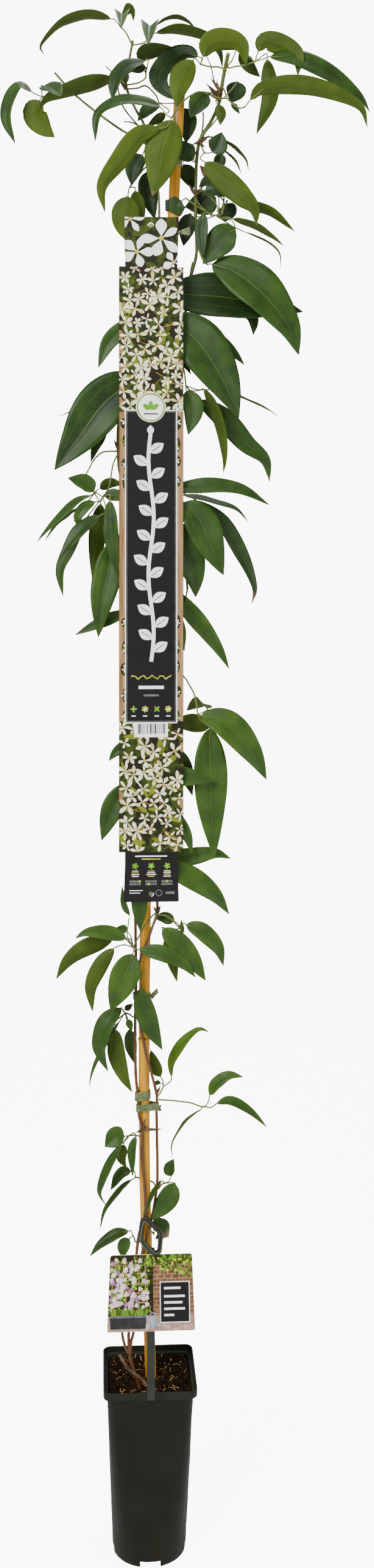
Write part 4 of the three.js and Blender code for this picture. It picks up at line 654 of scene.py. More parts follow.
leafRows = {
    "leaf_crown_1": ([[(-22.5, 0, 1836), (-28, -2, 1847), (-37, -4, 1857)]], [
        blade(28, (0, 0.1, 1), [(-47, -6, 1864), (-80, -12, 1866), (-110, -14, 1853),
              (-131, -10, 1830), (-128, -6, 1819)]),
        blade(24, (0, 0, 1), [(-33, -12, 1864), (-33, -45, 1870), (-34, -72, 1853)], fold=38),
        blade(16, (-0.6, 0.6, 0.6), [(-33, 4, 1862), (-26, 12, 1876), (-20, 20, 1874),
              (-19, 24, 1862)]),
    ]),
    "leaf_crown_2": ([[(-17.5, 0, 1833), (-8, -5, 1835), (-2, -6, 1839), (1, -8, 1847)]], [
        blade(28, (0, 0, 1), [(1, -16, 1850), (1, -48, 1856), (-1, -76, 1833)], fold=38),
        blade(18, (0, -0.1, 1), [(7, 4, 1856), (20, 8, 1864), (35, 10, 1866), (50, 10, 1860),
              (60, 8, 1848)], fold=20),
        blade(24, (0, 0.2, 1), [(8, -2, 1848), (40, -2, 1852), (72, 2, 1842), (86, 8, 1826),
              (90, 10, 1806)]),
    ]),
    "leaf_crown_3": ([[(94, -5, 1804), (85, -9, 1808), (75, -11, 1808), (62, -12, 1811)]], [
        blade(30, (0, 1, 1), [(66, -13, 1820), (74, -15, 1836), (90, -17, 1841), (112, -16, 1836),
              (119, -10, 1811)]),
        blade(30, (0.1, 1, 0.4), [(54, -14, 1816), (42, -20, 1800), (36, -24, 1780),
              (34, -26, 1758)]),
        blade(30, (-0.3, -1, 0.3), [(60, -4, 1820), (46, 0, 1824), (28, 2, 1816), (14, 0, 1800),
              (13, -6, 1786), (23, -12, 1774), (38, -15, 1766)]),
    ]),
    "leaf_crown_4": ([[(-26, -3, 1784), (-15, -5, 1786), (-5, -6, 1792), (-4, -2, 1799)]], [
        blade(22, (0, 0.8, 0.8), [(-8, 6, 1808), (-10, 10, 1819), (6, 14, 1826), (36, 16, 1828)]),
        blade(26, (-0.4, -0.9, 0.4), [(-6, -10, 1813), (-24, -14, 1806), (-40, -18, 1790),
              (-45, -20, 1764)], fold=14),
        blade(14, front, [(-4, 2, 1806), (-12, 4, 1804), (-23, 4, 1800)], via=[(-4, 0, 1802)]),
    ]),
    "leaf_crown_6": ([[(-26, 3, 1779), (-14, 5, 1780), (-4, 6, 1783), (8, 7, 1772),
          (12, 8, 1762)]], [
        blade(18, (0, -1, 0.3), [(12, 8, 1757), (0, 10, 1755), (-14, 10, 1740)]),
        blade(12, rear, [(20, 11, 1750), (8, 13, 1741), (-2, 14, 1735)]),
        blade(24, front, [(42, 16, 1757), (47, 17, 1740), (45, 17, 1714)], via=[(18, 12, 1762),
              (34, 17, 1762)], fold=8),
    ]),
    "leaf_crown_5": ([[(-30, 3, 1785), (-34, 7, 1789), (-38, 9, 1792)]], [
        blade(26, (0, 0.7, 1), [(-44, 6, 1790), (-75, -8, 1782), (-105, -14, 1773),
              (-125, -17, 1764), (-136, -19, 1748)]),
        blade(14, front, [(-32, 10, 1800), (-31, 10, 1791), (-33, 9, 1782)]),
    ]),
    "leaf_left_end": ([[(-104, 0, 1780), (-112, -2, 1774), (-122, -3, 1769), (-131, -4, 1767)]], [
        blade(26, (-0.2, -0.7, 0.7), [(-129, -8, 1780), (-118, -28, 1778), (-107, -48, 1768)]),
        blade(30, rear, [(-133, -2, 1763), (-140, 2, 1748), (-129, 4, 1730), (-115, 4, 1718)]),
        blade(22, (-0.5, -0.7, 0.4), [(-143, -6, 1773), (-158, -8, 1780), (-170, -10, 1762),
              (-173, -12, 1738), (-163, -14, 1710)]),
    ]),
    "leaf_centre": ([[(76, -12, 1776), (63, -26, 1777), (52, -34, 1773), (42, -40, 1765),
          (33, -44, 1753), (27, -46, 1744)]], [
        blade(22, (0, -1.3, 1), [(14, -40, 1757), (-10, -34, 1764), (-40, -30, 1762),
              (-62, -30, 1747), (-66, -30, 1714)], via=[(20, -42, 1749)]),
        blade(26, (-0.3, 1, 0.6), [(13, -50, 1731), (-12, -54, 1722), (-35, -56, 1692),
              (-57, -54, 1660), (-54, -50, 1628)], via=[(22, -48, 1734)]),
        blade(44, rear, [(30, -47, 1742), (18, -46, 1710), (12, -44, 1680),
              (4, -42, 1649)], via=[(31, -47, 1746)], fold=8),
    ]),
    "leaf_crown_7": ([[(84.5, -10, 1768), (88, -14, 1769), (92, -12, 1770)]], [
        blade(26, (0, -1, 0.3), [(73, -16, 1773), (62, -20, 1765),
              (50, -22, 1745)], via=[(84, -17, 1771)]),
        blade(14, rear, [(84, -20, 1762), (88, -22, 1750), (87, -22, 1737)]),
        blade(26, (0.2, -1, 0.3), [(108, 10, 1791), (106, 12, 1779),
              (100, 12, 1764)], via=[(104, 0, 1784)]),
        blade(8, (0, -1, 0.3), [(101, 2, 1764), (106, 0, 1758), (111, -1, 1751)]),
    ]),
    "leaf_right_1": ([[(98, 0, 1807), (105, -2, 1809), (118, -4, 1811), (131, -6, 1816)]], [
        blade(26, (-0.2, 1, 0.5), [(134, -8, 1828), (141, -12, 1841), (160, -14, 1838),
              (182, -16, 1825), (183, -18, 1800)]),
        blade(26, (0.2, -1, 0.2), [(148, -12, 1822), (185, -16, 1820), (225, -16, 1801),
              (258, -14, 1777), (272, -12, 1757)], via=[(140, -9, 1819)]),
        blade(22, (0, 1, 0.1), [(145, 0, 1819), (147, 4, 1800), (148, 6, 1770), (132, 6, 1727)]),
        blade(18, (0.3, 0.8, 0.5), [(118, 4, 1830), (116, 8, 1820), (124, 10, 1808),
              (136, 10, 1797)], via=[(123, 0, 1820)]),
    ]),
    "leaf_right_2": ([[(91, -12, 1782), (96, -22, 1770), (105, -28, 1761), (112, -31, 1758),
          (118, -33, 1760)]], [
        blade(24, (0, 1, 0.6), [(124, -34, 1768), (140, -36, 1783), (185, -38, 1788),
              (225, -36, 1780), (260, -34, 1763), (269, -32, 1738)]),
    ]),
    "leaf_upper_1": ([[(63, -9, 1712), (66, -14, 1706), (68, -18, 1702)]], [
        blade(30, rear, [(68, -30, 1691), (90, -34, 1672), (115, -38, 1650), (129, -38, 1635),
              (132, -36, 1615)]),
        blade(26, (0.1, -1, 0.2), [(77, -17, 1703), (84, -19, 1712),
              (89, -21, 1728)], via=[(67, -14, 1702)]),
    ]),
    "leaf_upper_2": ([[(66, 0, 1721), (72, 1, 1722), (80, 2, 1722)]], [
        blade(14, (0.5, 0, 1), [(88, 3, 1720), (105, 5, 1708), (118, 6, 1695), (122, 6, 1682)]),
        blade(20, (0.6, -0.3, 1), [(82, -4, 1714), (95, -5, 1703), (106, -6, 1692),
              (113, -8, 1678)]),
        blade(16, front, [(88, 12, 1702), (86, 12, 1690), (84, 12, 1678)], via=[(83, 8, 1714)]),
    ]),
    "leaf_upper_3": ([[(57, -5, 1690), (58, -9, 1689), (58, -12, 1690)]], [
        blade(26, (0.1, -1, 0.2), [(55, -14, 1694), (43, -17, 1704), (28, -18, 1716)]),
        blade(22, front, [(42, 14, 1688), (48, 16, 1673), (54, 16, 1658)], via=[(48, -2, 1694),
              (43, 9, 1693)]),
    ]),
    "leaf_upper_4": ([[(-4, -8, 1710), (-5, -11, 1706), (-6, -12, 1703)]], [
        blade(24, (-0.2, -1, 0.1), [(-8, -14, 1699), (-18, -15, 1684), (-22, -14, 1662)]),
    ]),
    "leaf_upper_5": ([[(3, -4, 1688), (-6, 0, 1682), (-14, 0, 1674), (-20, -6, 1666),
          (-24, -14, 1658)]], [
        blade(36, rear, [(-26, -18, 1648), (-28, -16, 1620), (-17, -12, 1586)]),
        blade(20, rear, [(-17, -8, 1655), (-14, -3, 1632), (-14, -1, 1600)]),
        blade(24, front, [(-3, 10, 1678), (-2, 11, 1655),
              (7, 12, 1620)], via=[(-4, 8, 1684)], fold=10),
    ]),
    "leaf_upper_6": ([[(58, -4, 1655), (64, -14, 1657), (82, -17, 1652), (91, -18, 1644),
          (90, -18, 1632), (86, -18, 1622)], [(87.4, -18.2, 1625.6), (77, -24, 1627),
          (60, -29, 1636), (44, -31, 1647)]], [
        blade(24, (-0.3, -1, 0.2), [(40, -31, 1643), (35, -30, 1637),
              (38, -28, 1624)], fold=16, petiole=1),
        blade(34, front, [(82, 10, 1648), (66, 12, 1640),
              (44, 14, 1636)], via=[(92, -4, 1648)], fold=8),
        blade(26, front, [(92, 8, 1640), (95, 10, 1632),
              (92, 10, 1618)], via=[(96, -8, 1644)], fold=8),
        blade(14, front, [(80, 9, 1666), (70, 11, 1678), (62, 12, 1687)], via=[(92, -4, 1654)]),
        blade(22, front, [(50, 12, 1628), (46, 12, 1610), (42, 12, 1588)], via=[(90, 0, 1630),
              (70, 14, 1622)], fold=8),
        blade(16, front, [(85, 3, 1666), (72, 4, 1668), (61, 6, 1660)], via=[(92, -8, 1650)]),
        blade(18, (0, -1, 0.3), [(68, -22, 1655), (79, -25, 1657),
              (92, -27, 1649)], via=[(82, -22, 1640)]),
        blade(20, (0, 0.5, 1), [(98, -8, 1647), (120, -10, 1639), (150, -10, 1630),
              (179, -8, 1608)]),
        blade(20, (0, 0.2, 1), [(102, -16, 1622), (130, -18, 1612), (150, -18, 1601),
              (165, -16, 1590)]),
        blade(10, (0.8, 0, 0.6), [(118, -6, 1606), (145, -6, 1594), (160, -5, 1580),
              (161, -4, 1560)]),
        blade(17, (-0.3, -1, 0), [(67, -30, 1628), (64, -31, 1605),
              (66, -31, 1574)], via=[(76, -24, 1628)]),
        blade(36, front, [(106, -26, 1610), (92, -27, 1600),
              (66, -26, 1566)], via=[(100, -22, 1621)], fold=0),
    ]),
    "leaf_board_right_1": ([[(59, -3, 1592), (61, -9, 1583), (66, -16, 1571), (72, -18, 1565)]], [
        blade(56, (-0.2, -1, 0.5), [(77, -21, 1566), (105, -31, 1557), (140, -37, 1530),
              (170, -37, 1493), (184, -35, 1456)], fold=10),
    ]),
    "leaf_board_right_2": ([[(43, -2, 1510), (34, -8, 1513), (24, -13, 1516), (16, -16, 1516)]], [
        blade(58, front, [(20, -12, 1529), (80, -12, 1527), (130, -10, 1520),
              (189, -8, 1509)], via=[(15, -14, 1523)], fold=10),
        blade(60, (-0.2, -1, 0.3), [(22, -20, 1502), (60, -25, 1470), (90, -27, 1425),
              (110, -27, 1378)], fold=10),
        blade(16, front, [(112, 6, 1515), (127, 6, 1500), (128, 7, 1480)], via=[(40, -11, 1520),
              (62, 1, 1522), (92, 5, 1522)]),
        blade(16, front, [(70, -6, 1486), (98, -7, 1463), (117, -6, 1443)], via=[(40, -6, 1492)]),
        blade(14, front, [(24, -10, 1470), (40, -10, 1450),
              (51, -11, 1431)], via=[(17, -11, 1490)]),
    ]),
    "leaf_board_right_3": ([[(38.5, -3, 1450), (43, -12, 1434), (45, -15, 1416)]], [
        blade(26, (0.1, -1, 0.1), [(46, -20, 1411), (54, -24, 1388), (48, -26, 1357)]),
        blade(20, (0.8, 0.6, 0.2), [(67, -14, 1413), (78, -15, 1390), (87, -15, 1360),
              (92, -14, 1330), (91, -12, 1310)], via=[(51, -15, 1411), (61, -13, 1411)]),
        blade(28, (-0.1, -1, 0.2), [(60, 3, 1399), (90, 4, 1378), (118, 6, 1347), (142, 6, 1327),
              (148, 8, 1300)], via=[(50, -4, 1410)]),
        blade(14, (0.2, 0, 1), [(95, -3, 1410), (125, -4, 1398), (150, -3, 1386),
              (158, -3, 1379)], via=[(60, -6, 1412), (84, -5, 1413)]),
    ]),
    "leaf_board_right_4": ([[(28.5, -3, 1300), (30, -10, 1297), (24, -16, 1292),
          (18, -18, 1289)]], [
        blade(22, (0, -1, 0.5), [(24, -22, 1290), (70, -26, 1294), (110, -26, 1291),
              (148, -24, 1271)]),
        blade(18, (0, -0.5, 1), [(40, -12, 1283), (75, -13, 1275), (105, -14, 1266),
              (122, -14, 1250)]),
        blade(42, (0, -1, 0.1), [(42, -26, 1274), (62, -29, 1252), (76, -30, 1220),
              (91, -28, 1185)], via=[(30, -28, 1284)], fold=10),
        blade(24, (0.5, -1, 0.3), [(58, -6, 1276), (92, -5, 1245), (115, -4, 1205), (129, -2, 1170),
              (126, 0, 1150)], via=[(36, -8, 1288)]),
        blade(42, front, [(26, -20, 1250), (45, -20, 1215), (55, -18, 1185),
              (57, -17, 1158)], via=[(19, -20, 1268)], fold=10),
    ]),
    "leaf_board_right_5": ([[(23.5, -2, 1190), (28, -8, 1186), (31, -11, 1180)]], [
        blade(24, (0.3, -1, 0.2), [(28, -8, 1166), (60, -7, 1127), (83, -5, 1097), (98, -3, 1070)]),
        blade(12, (1, 0, 0), [(45, -9, 1180), (46, -9, 1165), (42, -10, 1148)]),
        blade(14, front, [(28, -14, 1142), (38, -14, 1120),
              (43, -14, 1092)], via=[(26, -12, 1158)]),
    ]),
    "leaf_board_right_6": ([[(19.5, -3, 1078), (30, -10, 1070), (42, -14, 1061), (50, -15, 1049),
          (56, -16, 1036), (60, -18, 1013)]], [
        blade(24, (0.2, 0.6, 0.8), [(70, -12, 1022), (64, 6, 1028), (46, 24, 1019)]),
        blade(38, (0.1, -1, 0.4), [(63, -24, 1013), (95, -29, 1001), (125, -30, 968),
              (144, -28, 934)]),
        blade(24, rear, [(74, -2, 998), (55, 0, 1003), (24, 0, 1004)], via=[(64, -8, 1006)]),
        blade(42, (0, -1, 0.1), [(74, -14, 997), (75, -17, 950), (76, -18, 900), (80, -22, 838)]),
    ]),
    "leaf_board_right_7": ([[(15.5, -3, 968), (16, -14, 962), (11, -22, 953)]], [
        blade(24, (0, -1, 0.3), [(14, -25, 941), (50, -27.5, 937), (80, -29, 933)]),
        blade(22, front, [(26, -7, 975), (42, -8, 950), (53, -8, 915)], via=[(20, -12, 976)]),
    ]),
    "leaf_board_right_8": ([[(12.5, -6, 862), (13, -13, 856), (12, -18, 850)]], [
        blade(16, (0.3, -1, 0), [(28, -26, 897), (45, -27, 868),
              (53, -26, 843)], via=[(14, -26, 880)]),
        blade(22, front, [(20, -14, 840), (50, -13, 840), (80, -13, 844), (100, -12, 837)]),
        blade(28, (0, -1, 0.3), [(14, -26, 830), (50, -28, 815), (80, -27, 793), (98, -24, 769)]),
    ]),
    "leaf_board_left_1": ([[(-5, 6, 1506), (-9, 0, 1507), (-13, -8, 1504)]], [
        blade(22, front, [(-18, -16, 1497), (-48, -18, 1470), (-62, -18, 1438)]),
    ]),
    "leaf_board_left_2": ([[(-20, 1, 1439), (-18, -8, 1439), (-14, -16, 1437)]], [
        blade(60, (0.1, -1, 0.15), [(-14, -20, 1427), (-55, -24, 1395), (-88, -26, 1350),
              (-115, -24, 1313)], fold=10),
        blade(12, (0, 0, 1), [(-60, -4, 1384), (-85, -5, 1387),
              (-110, -4, 1378)], via=[(-24, -10, 1424), (-44, -5, 1396)]),
        blade(14, (-0.6, -1, 0), [(-52, -12, 1362), (-64, -12, 1343),
              (-71, -10, 1323)], via=[(-26, -12, 1410), (-44, -11, 1376)]),
    ]),
    "leaf_board_left_3": ([[(-41, -2, 1336), (-56, -10, 1335), (-66, -12, 1327), (-72, -13, 1317),
          (-77, -14, 1305), (-72, -16, 1292), (-66, -16, 1284)]], [
        blade(22, (0, -1, 0.4), [(-67, -22, 1287), (-78, -26, 1297), (-99, -30, 1303)]),
        blade(20, (0, -0.4, 1), [(-71, -16, 1282), (-88, -20, 1274), (-112, -22, 1252),
              (-136, -22, 1226)]),
        blade(16, (-0.2, -0.3, 1), [(-84, -9, 1268), (-112, -10, 1246),
              (-127, -10, 1226)], via=[(-74, -11, 1276)]),
        blade(14, front, [(-66, -21, 1274), (-78, -24, 1268), (-87, -25, 1254), (-80, -24, 1239)]),
    ]),
    "leaf_board_left_4": ([[(-39, -3, 1331), (-44, -7, 1320), (-47, -9, 1303), (-50, -11, 1290),
          (-57, -12, 1279)]], [
        blade(20, (0, -0.7, 0.7), [(-61, -30, 1257), (-80, -36, 1243), (-98, -38, 1222),
              (-109, -38, 1204)], via=[(-53, -17, 1268), (-53, -24, 1261)]),
        blade(18, (-0.5, -1, 0.2), [(-78, -12, 1252), (-97, -16, 1217), (-108, -16, 1190),
              (-105, -16, 1159)], via=[(-66, -12, 1268)]),
        blade(16, front, [(-55, -16, 1283), (-40, -20, 1282), (-22, -22, 1278)]),
        blade(22, (0, 1, 0), [(-59, -6, 1272), (-63, -7, 1235), (-66, -7, 1205), (-69, -6, 1178)]),
        blade(20, (-0.3, -1, 0), [(-48, -26, 1276), (-46, -28, 1235), (-42, -28, 1205),
              (-37, -26, 1183)]),
        blade(14, (0, 1, 0.3), [(-60, -3, 1290), (-48, -2, 1297), (-32, -5, 1296)]),
    ]),
    "leaf_board_left_5": ([[(-13, 2, 1214), (-22, -4, 1222), (-33, -10, 1229)]], [
        blade(36, (0, -1, 0.1), [(-42, -16, 1227), (-50, -19, 1190), (-58, -21, 1150),
              (-62, -21, 1109)]),
    ]),
    "leaf_board_left_7": ([[(-7, 2, 1136), (-12, -1, 1139), (-18, -4, 1140)]], [
        blade(16, (0, -1, 0.3), [(-25, -5, 1140), (-58, -6, 1127), (-90, -4, 1112)]),
    ]),
    "leaf_board_left_6": ([[(-12, 0, 958), (-12, -8, 962), (-14, -14, 962)]], [
        blade(14, front, [(-22, -16, 981), (-40, -18, 969),
              (-49, -18, 958)], via=[(-16, -15, 974)]),
        blade(30, front, [(-20, -20, 930), (-44, -22, 900), (-58, -22, 861)]),
    ]),
    "leaf_low_left_1": ([[(-16.5, -2, 815), (-15, -10, 819), (-12, -19, 817)]], [
        blade(20, front, [(-12, -24, 808), (-12, -24, 780), (-11, -20, 750)]),
    ]),
    "leaf_low_left_2": ([[(8, -11, 771), (3, -15, 767), (-5, -17, 757), (-13, -18, 742),
          (-20, -18, 729)]], [
        blade(18, (0, -1, 0.4), [(-28, -22, 741), (-50, -28, 748), (-75, -30, 749),
              (-90, -30, 742)]),
        blade(24, (0, 1, 0.3), [(-44, -12, 741), (-75, -14, 730), (-98, -14, 715),
              (-113, -13, 693)], via=[(-30, -13, 741)]),
        blade(20, (0, 1, 0), [(-43, -20, 729), (-58, -24, 710), (-71, -24, 682),
              (-69, -22, 652)], via=[(-31, -17, 733)]),
        blade(36, (0, -1, 0.1), [(-20, -23, 722), (-28, -27, 700), (-38, -29, 675),
              (-47, -27, 653)]),
        blade(20, (0, -1, 0.4), [(-12, -24, 727), (15, -29, 722), (40, -31, 710), (57, -29, 692)]),
        blade(12, front, [(-27, 4, 750), (-32, 5, 752), (-40, 6, 754)], via=[(-22, -6, 742)]),
        blade(8, front, [(-24, -24, 769), (-31, -26, 783), (-33, -28, 805)], via=[(-23, -20, 736),
              (-27, -22, 746)]),
    ]),
    "leaf_low_right_1": ([[(13, -10, 769), (20, -13, 768), (28, -15, 763), (33, -17, 757),
          (38, -18, 752)]], [
        blade(22, (0, -1, 0.4), [(45, -21, 757), (65, -25, 748), (84, -27, 728), (91, -25, 706)]),
        blade(15, front, [(31, 2, 761), (18, 6, 766), (6, 9, 765)], via=[(36, -9, 757)]),
        blade(6, front, [(41, -24, 746), (40, -26, 754), (39, -26, 763)]),
        blade(28, (0, -1, 0.1), [(16, -18, 752), (32, -22, 738), (52, -23, 715),
              (69, -21, 688)], via=[(26, -18, 749), (17, -16, 754)]),
        blade(16, (0.2, 1, 0), [(20, -9, 740), (28, -10, 712),
              (34, -10, 687)], via=[(28, -12, 748)]),
    ]),
    "leaf_low_left_3": ([[(-12, -15, 702), (-9, -18, 697), (-9, -20, 690)]], [
        blade(26, (0, -1, 0), [(-11, -22, 680), (-6, -23, 655), (4, -22, 628), (16, -19, 604)]),
    ]),
    "leaf_low_left_4": ([[(-20, -1, 645), (-24, -4, 648), (-30, -6, 650)]], [
        blade(24, (-0.6, -1, 0), [(-34, -14, 656), (-52, -22, 638), (-60, -22, 612),
              (-57, -20, 595), (-50, -18, 579)], via=[(-34, -9, 656)]),
        blade(14, (-1, -0.3, 0.5), [(-36, -3, 640), (-50, -8, 616), (-66, -8, 586), (-72, -6, 566),
              (-70, -5, 557)]),
        blade(22, (0, 1, 0), [(-41, -8, 630), (-40, -8, 600), (-31, -9, 572), (-21, -10, 553)]),
        blade(16, front, [(-24, 6, 630), (-22, 8, 608), (-17, 8, 587)], via=[(-28, 0, 644)]),
        blade(9, front, [(-26, -12, 642), (-24, -12, 636), (-21, -12, 628)]),
        blade(8, front, [(-30, 1, 654), (-25, 5, 657), (-20, 5, 661)]),
    ]),
    "leaf_low_right_2": ([[(12, -4, 549), (15, 0, 554), (18, 2, 560)]], [
        blade(16, rear, [(14, 12, 571), (7, 13, 584), (2, 13, 604)]),
        blade(18, (0, -0.4, 1), [(27, 2, 571), (29, -2, 592), (42, -4, 612), (60, -4, 628),
              (73, -2, 625)]),
        blade(6, front, [(14, 8, 563), (10, 9, 564), (6, 10, 560)]),
    ]),
    "leaf_low_right_3": ([[(12, -7, 543), (25, -8, 542), (40, -9, 540), (52, -10, 538),
          (62, -11, 534), (70, -11, 533)]], [
        blade(16, (0, -0.7, 0.7), [(74, -12, 547), (82, -14, 561), (98, -16, 571),
              (115, -16, 569)], via=[(73, -11, 541)]),
        blade(16, (0, -0.5, 1), [(83, -12, 537), (100, -14, 539), (125, -14, 525),
              (144, -12, 507)], via=[(76, -11, 532)]),
        blade(14, (-0.7, 0.1, 0.7), [(63, -14, 530), (45, -16, 515), (29, -16, 491),
              (28, -14, 472)], via=[(67, -12, 534)]),
    ]),
    "leaf_low_left_5": ([[(-11.5, -10, 499), (-18, -9, 500), (-25, -9, 500)]], [
        blade(26, (0, -1, 0.5), [(-30, -11, 499), (-40, -12, 498), (-54, -14, 487)]),
        blade(14, (-0.6, -0.6, 0.4), [(-34, -18, 489), (-48, -21, 466), (-60, -20, 436),
              (-58, -18, 424), (-51, -16, 414)], via=[(-28, -14, 495)]),
        blade(14, (0, 1, 0), [(-31, -5, 489), (-34, -4, 473), (-28, -3, 461)]),
        blade(11, (-0.3, -1, 0.2), [(-16, -18, 499), (-21, -20, 482),
              (-20, -18, 450)], via=[(-19, -13, 503)]),
    ]),
    "leaf_low_left_6": ([[(7.5, -1, 436), (6, 7, 441), (1, 11, 444), (-6, 13, 446), (-13, 10, 448),
          (-17, 5, 449)]], [
        blade(16, (0, -0.5, 1), [(-22, 2, 456), (-34, 0, 454), (-47, -2, 434)]),
        blade(12, (-0.6, -0.3, 0.8), [(-21, 5, 446), (-35, 3, 434), (-53, -2, 410),
              (-60, -4, 386)]),
    ]),
    "leaf_low_right_4": ([[(11.5, -5, 434), (15, -9, 439), (20, -11, 441)]], [
        blade(26, front, [(32, -14, 440), (22, -17, 420), (4, -18, 396)], via=[(26, -12, 441)]),
        blade(12, (-0.7, -0.2, 0.7), [(14, -16, 441), (6, -20, 430), (0, -22, 415),
              (-7, -21, 402)]),
        blade(16, (-0.5, -0.8, 0), [(27, -8, 449), (25, -8, 457),
              (30, -10, 470)], via=[(24, -10, 443)]),
    ]),
    "leaf_low_left_7": ([[(-17, -10, 370), (-18, -8, 374), (-20, -7, 378)]], [
        blade(16, (0, -0.6, 1), [(-25, -8, 383), (-42, -10, 379), (-60, -11, 367),
              (-72, -10, 354)]),
        blade(16, (0, -1, 0.3), [(-24, -6, 374), (-31, -6, 366), (-32, -6, 350)]),
    ]),
    "leaf_low_right_5": ([[(-1, -12.5, 384), (4, -14, 381), (6, -12, 378)]], [
        blade(26, (0, -1, 0.4), [(6, -4, 384), (12, -4, 386), (24, -4, 375)], via=[(6, -8, 380)]),
    ]),
}

# how dark each leaf or blade is (0 deep, 1 pale): partly its own colour and age, partly painted
# shade where it lies in shadow; and how much of a blade's tip has browned
leafLooks = {
    "leaf_crown_1": {"tone": 0.5},
    "leaf_crown_2": {"tone": 0.42, "tones": {2: 0.3}},
    "leaf_crown_3": {"tone": 0.72, "tones": {2: 0.12}},
    "leaf_crown_4": {"tone": 0.12, "tones": {2: 0.35}},
    "leaf_crown_5": {"tone": 0.3},
    # painted shade: this leaf's deep tone stands for the shadow it lies in, in front of the cane
    "leaf_crown_6": {"tone": 0.1},
    "leaf_crown_7": {"tone": 0.22},
    "leaf_left_end": {"tone": 0.3, "tones": {1: 0.5}, "brown": {1: 0.03}},
    "leaf_centre": {"tone": 0.58, "tones": {0: 0.22}, "brown": {2: 0.05}},
    "leaf_right_1": {"tone": 0.38, "tones": {0: 0.5, 3: 0.1}, "brown": {1: 0.03}},
    "leaf_right_2": {"tone": 0.5},
    "leaf_upper_1": {"tone": 0.55, "tones": {1: 0.1}, "brown": {0: 0.03}},
    "leaf_upper_2": {"tone": 0.35, "tones": {2: 0.08}},
    "leaf_upper_3": {"tone": 0.08},
    "leaf_upper_4": {"tone": 0.08},
    "leaf_upper_5": {"tone": 0.6, "tones": {2: 0.05}},
    "leaf_upper_6": {"tone": 0.15, "tones": {7: 0.4, 8: 0.4, 9: 0.35, 10: 0.2, 11: 0.3},
                     "brown": {3: 1.0, 7: 0.04}},
    "leaf_board_right_1": {"tone": 0.3},
    "leaf_board_right_2": {"tone": 0.3, "tones": {0: 0.02}},
    "leaf_board_right_3": {"tone": 0.3, "brown": {2: 0.05}},
    "leaf_board_right_4": {"tone": 0.28, "brown": {3: 0.09}},
    "leaf_board_left_2": {"tone": 0.2},
    "leaf_board_left_4": {"tone": 0.3, "brown": {1: 0.04}},
    "leaf_board_right_5": {"tone": 0.5},
    "leaf_board_right_6": {"tone": 0.5},
    "leaf_low_left_2": {"tone": 0.5, "brown": {2: 0.04}},
    "leaf_low_left_4": {"tone": 0.5, "brown": {1: 0.05}},
    "leaf_low_right_1": {"tone": 0.55, "brown": {1: 0.04}},
    "leaf_low_right_2": {"tone": 0.55, "tones": {1: 0.98}},
    "leaf_low_right_3": {"tone": 0.6},
    "leaf_low_right_5": {"tone": 0.25, "brown": {0: 0.35}},
}

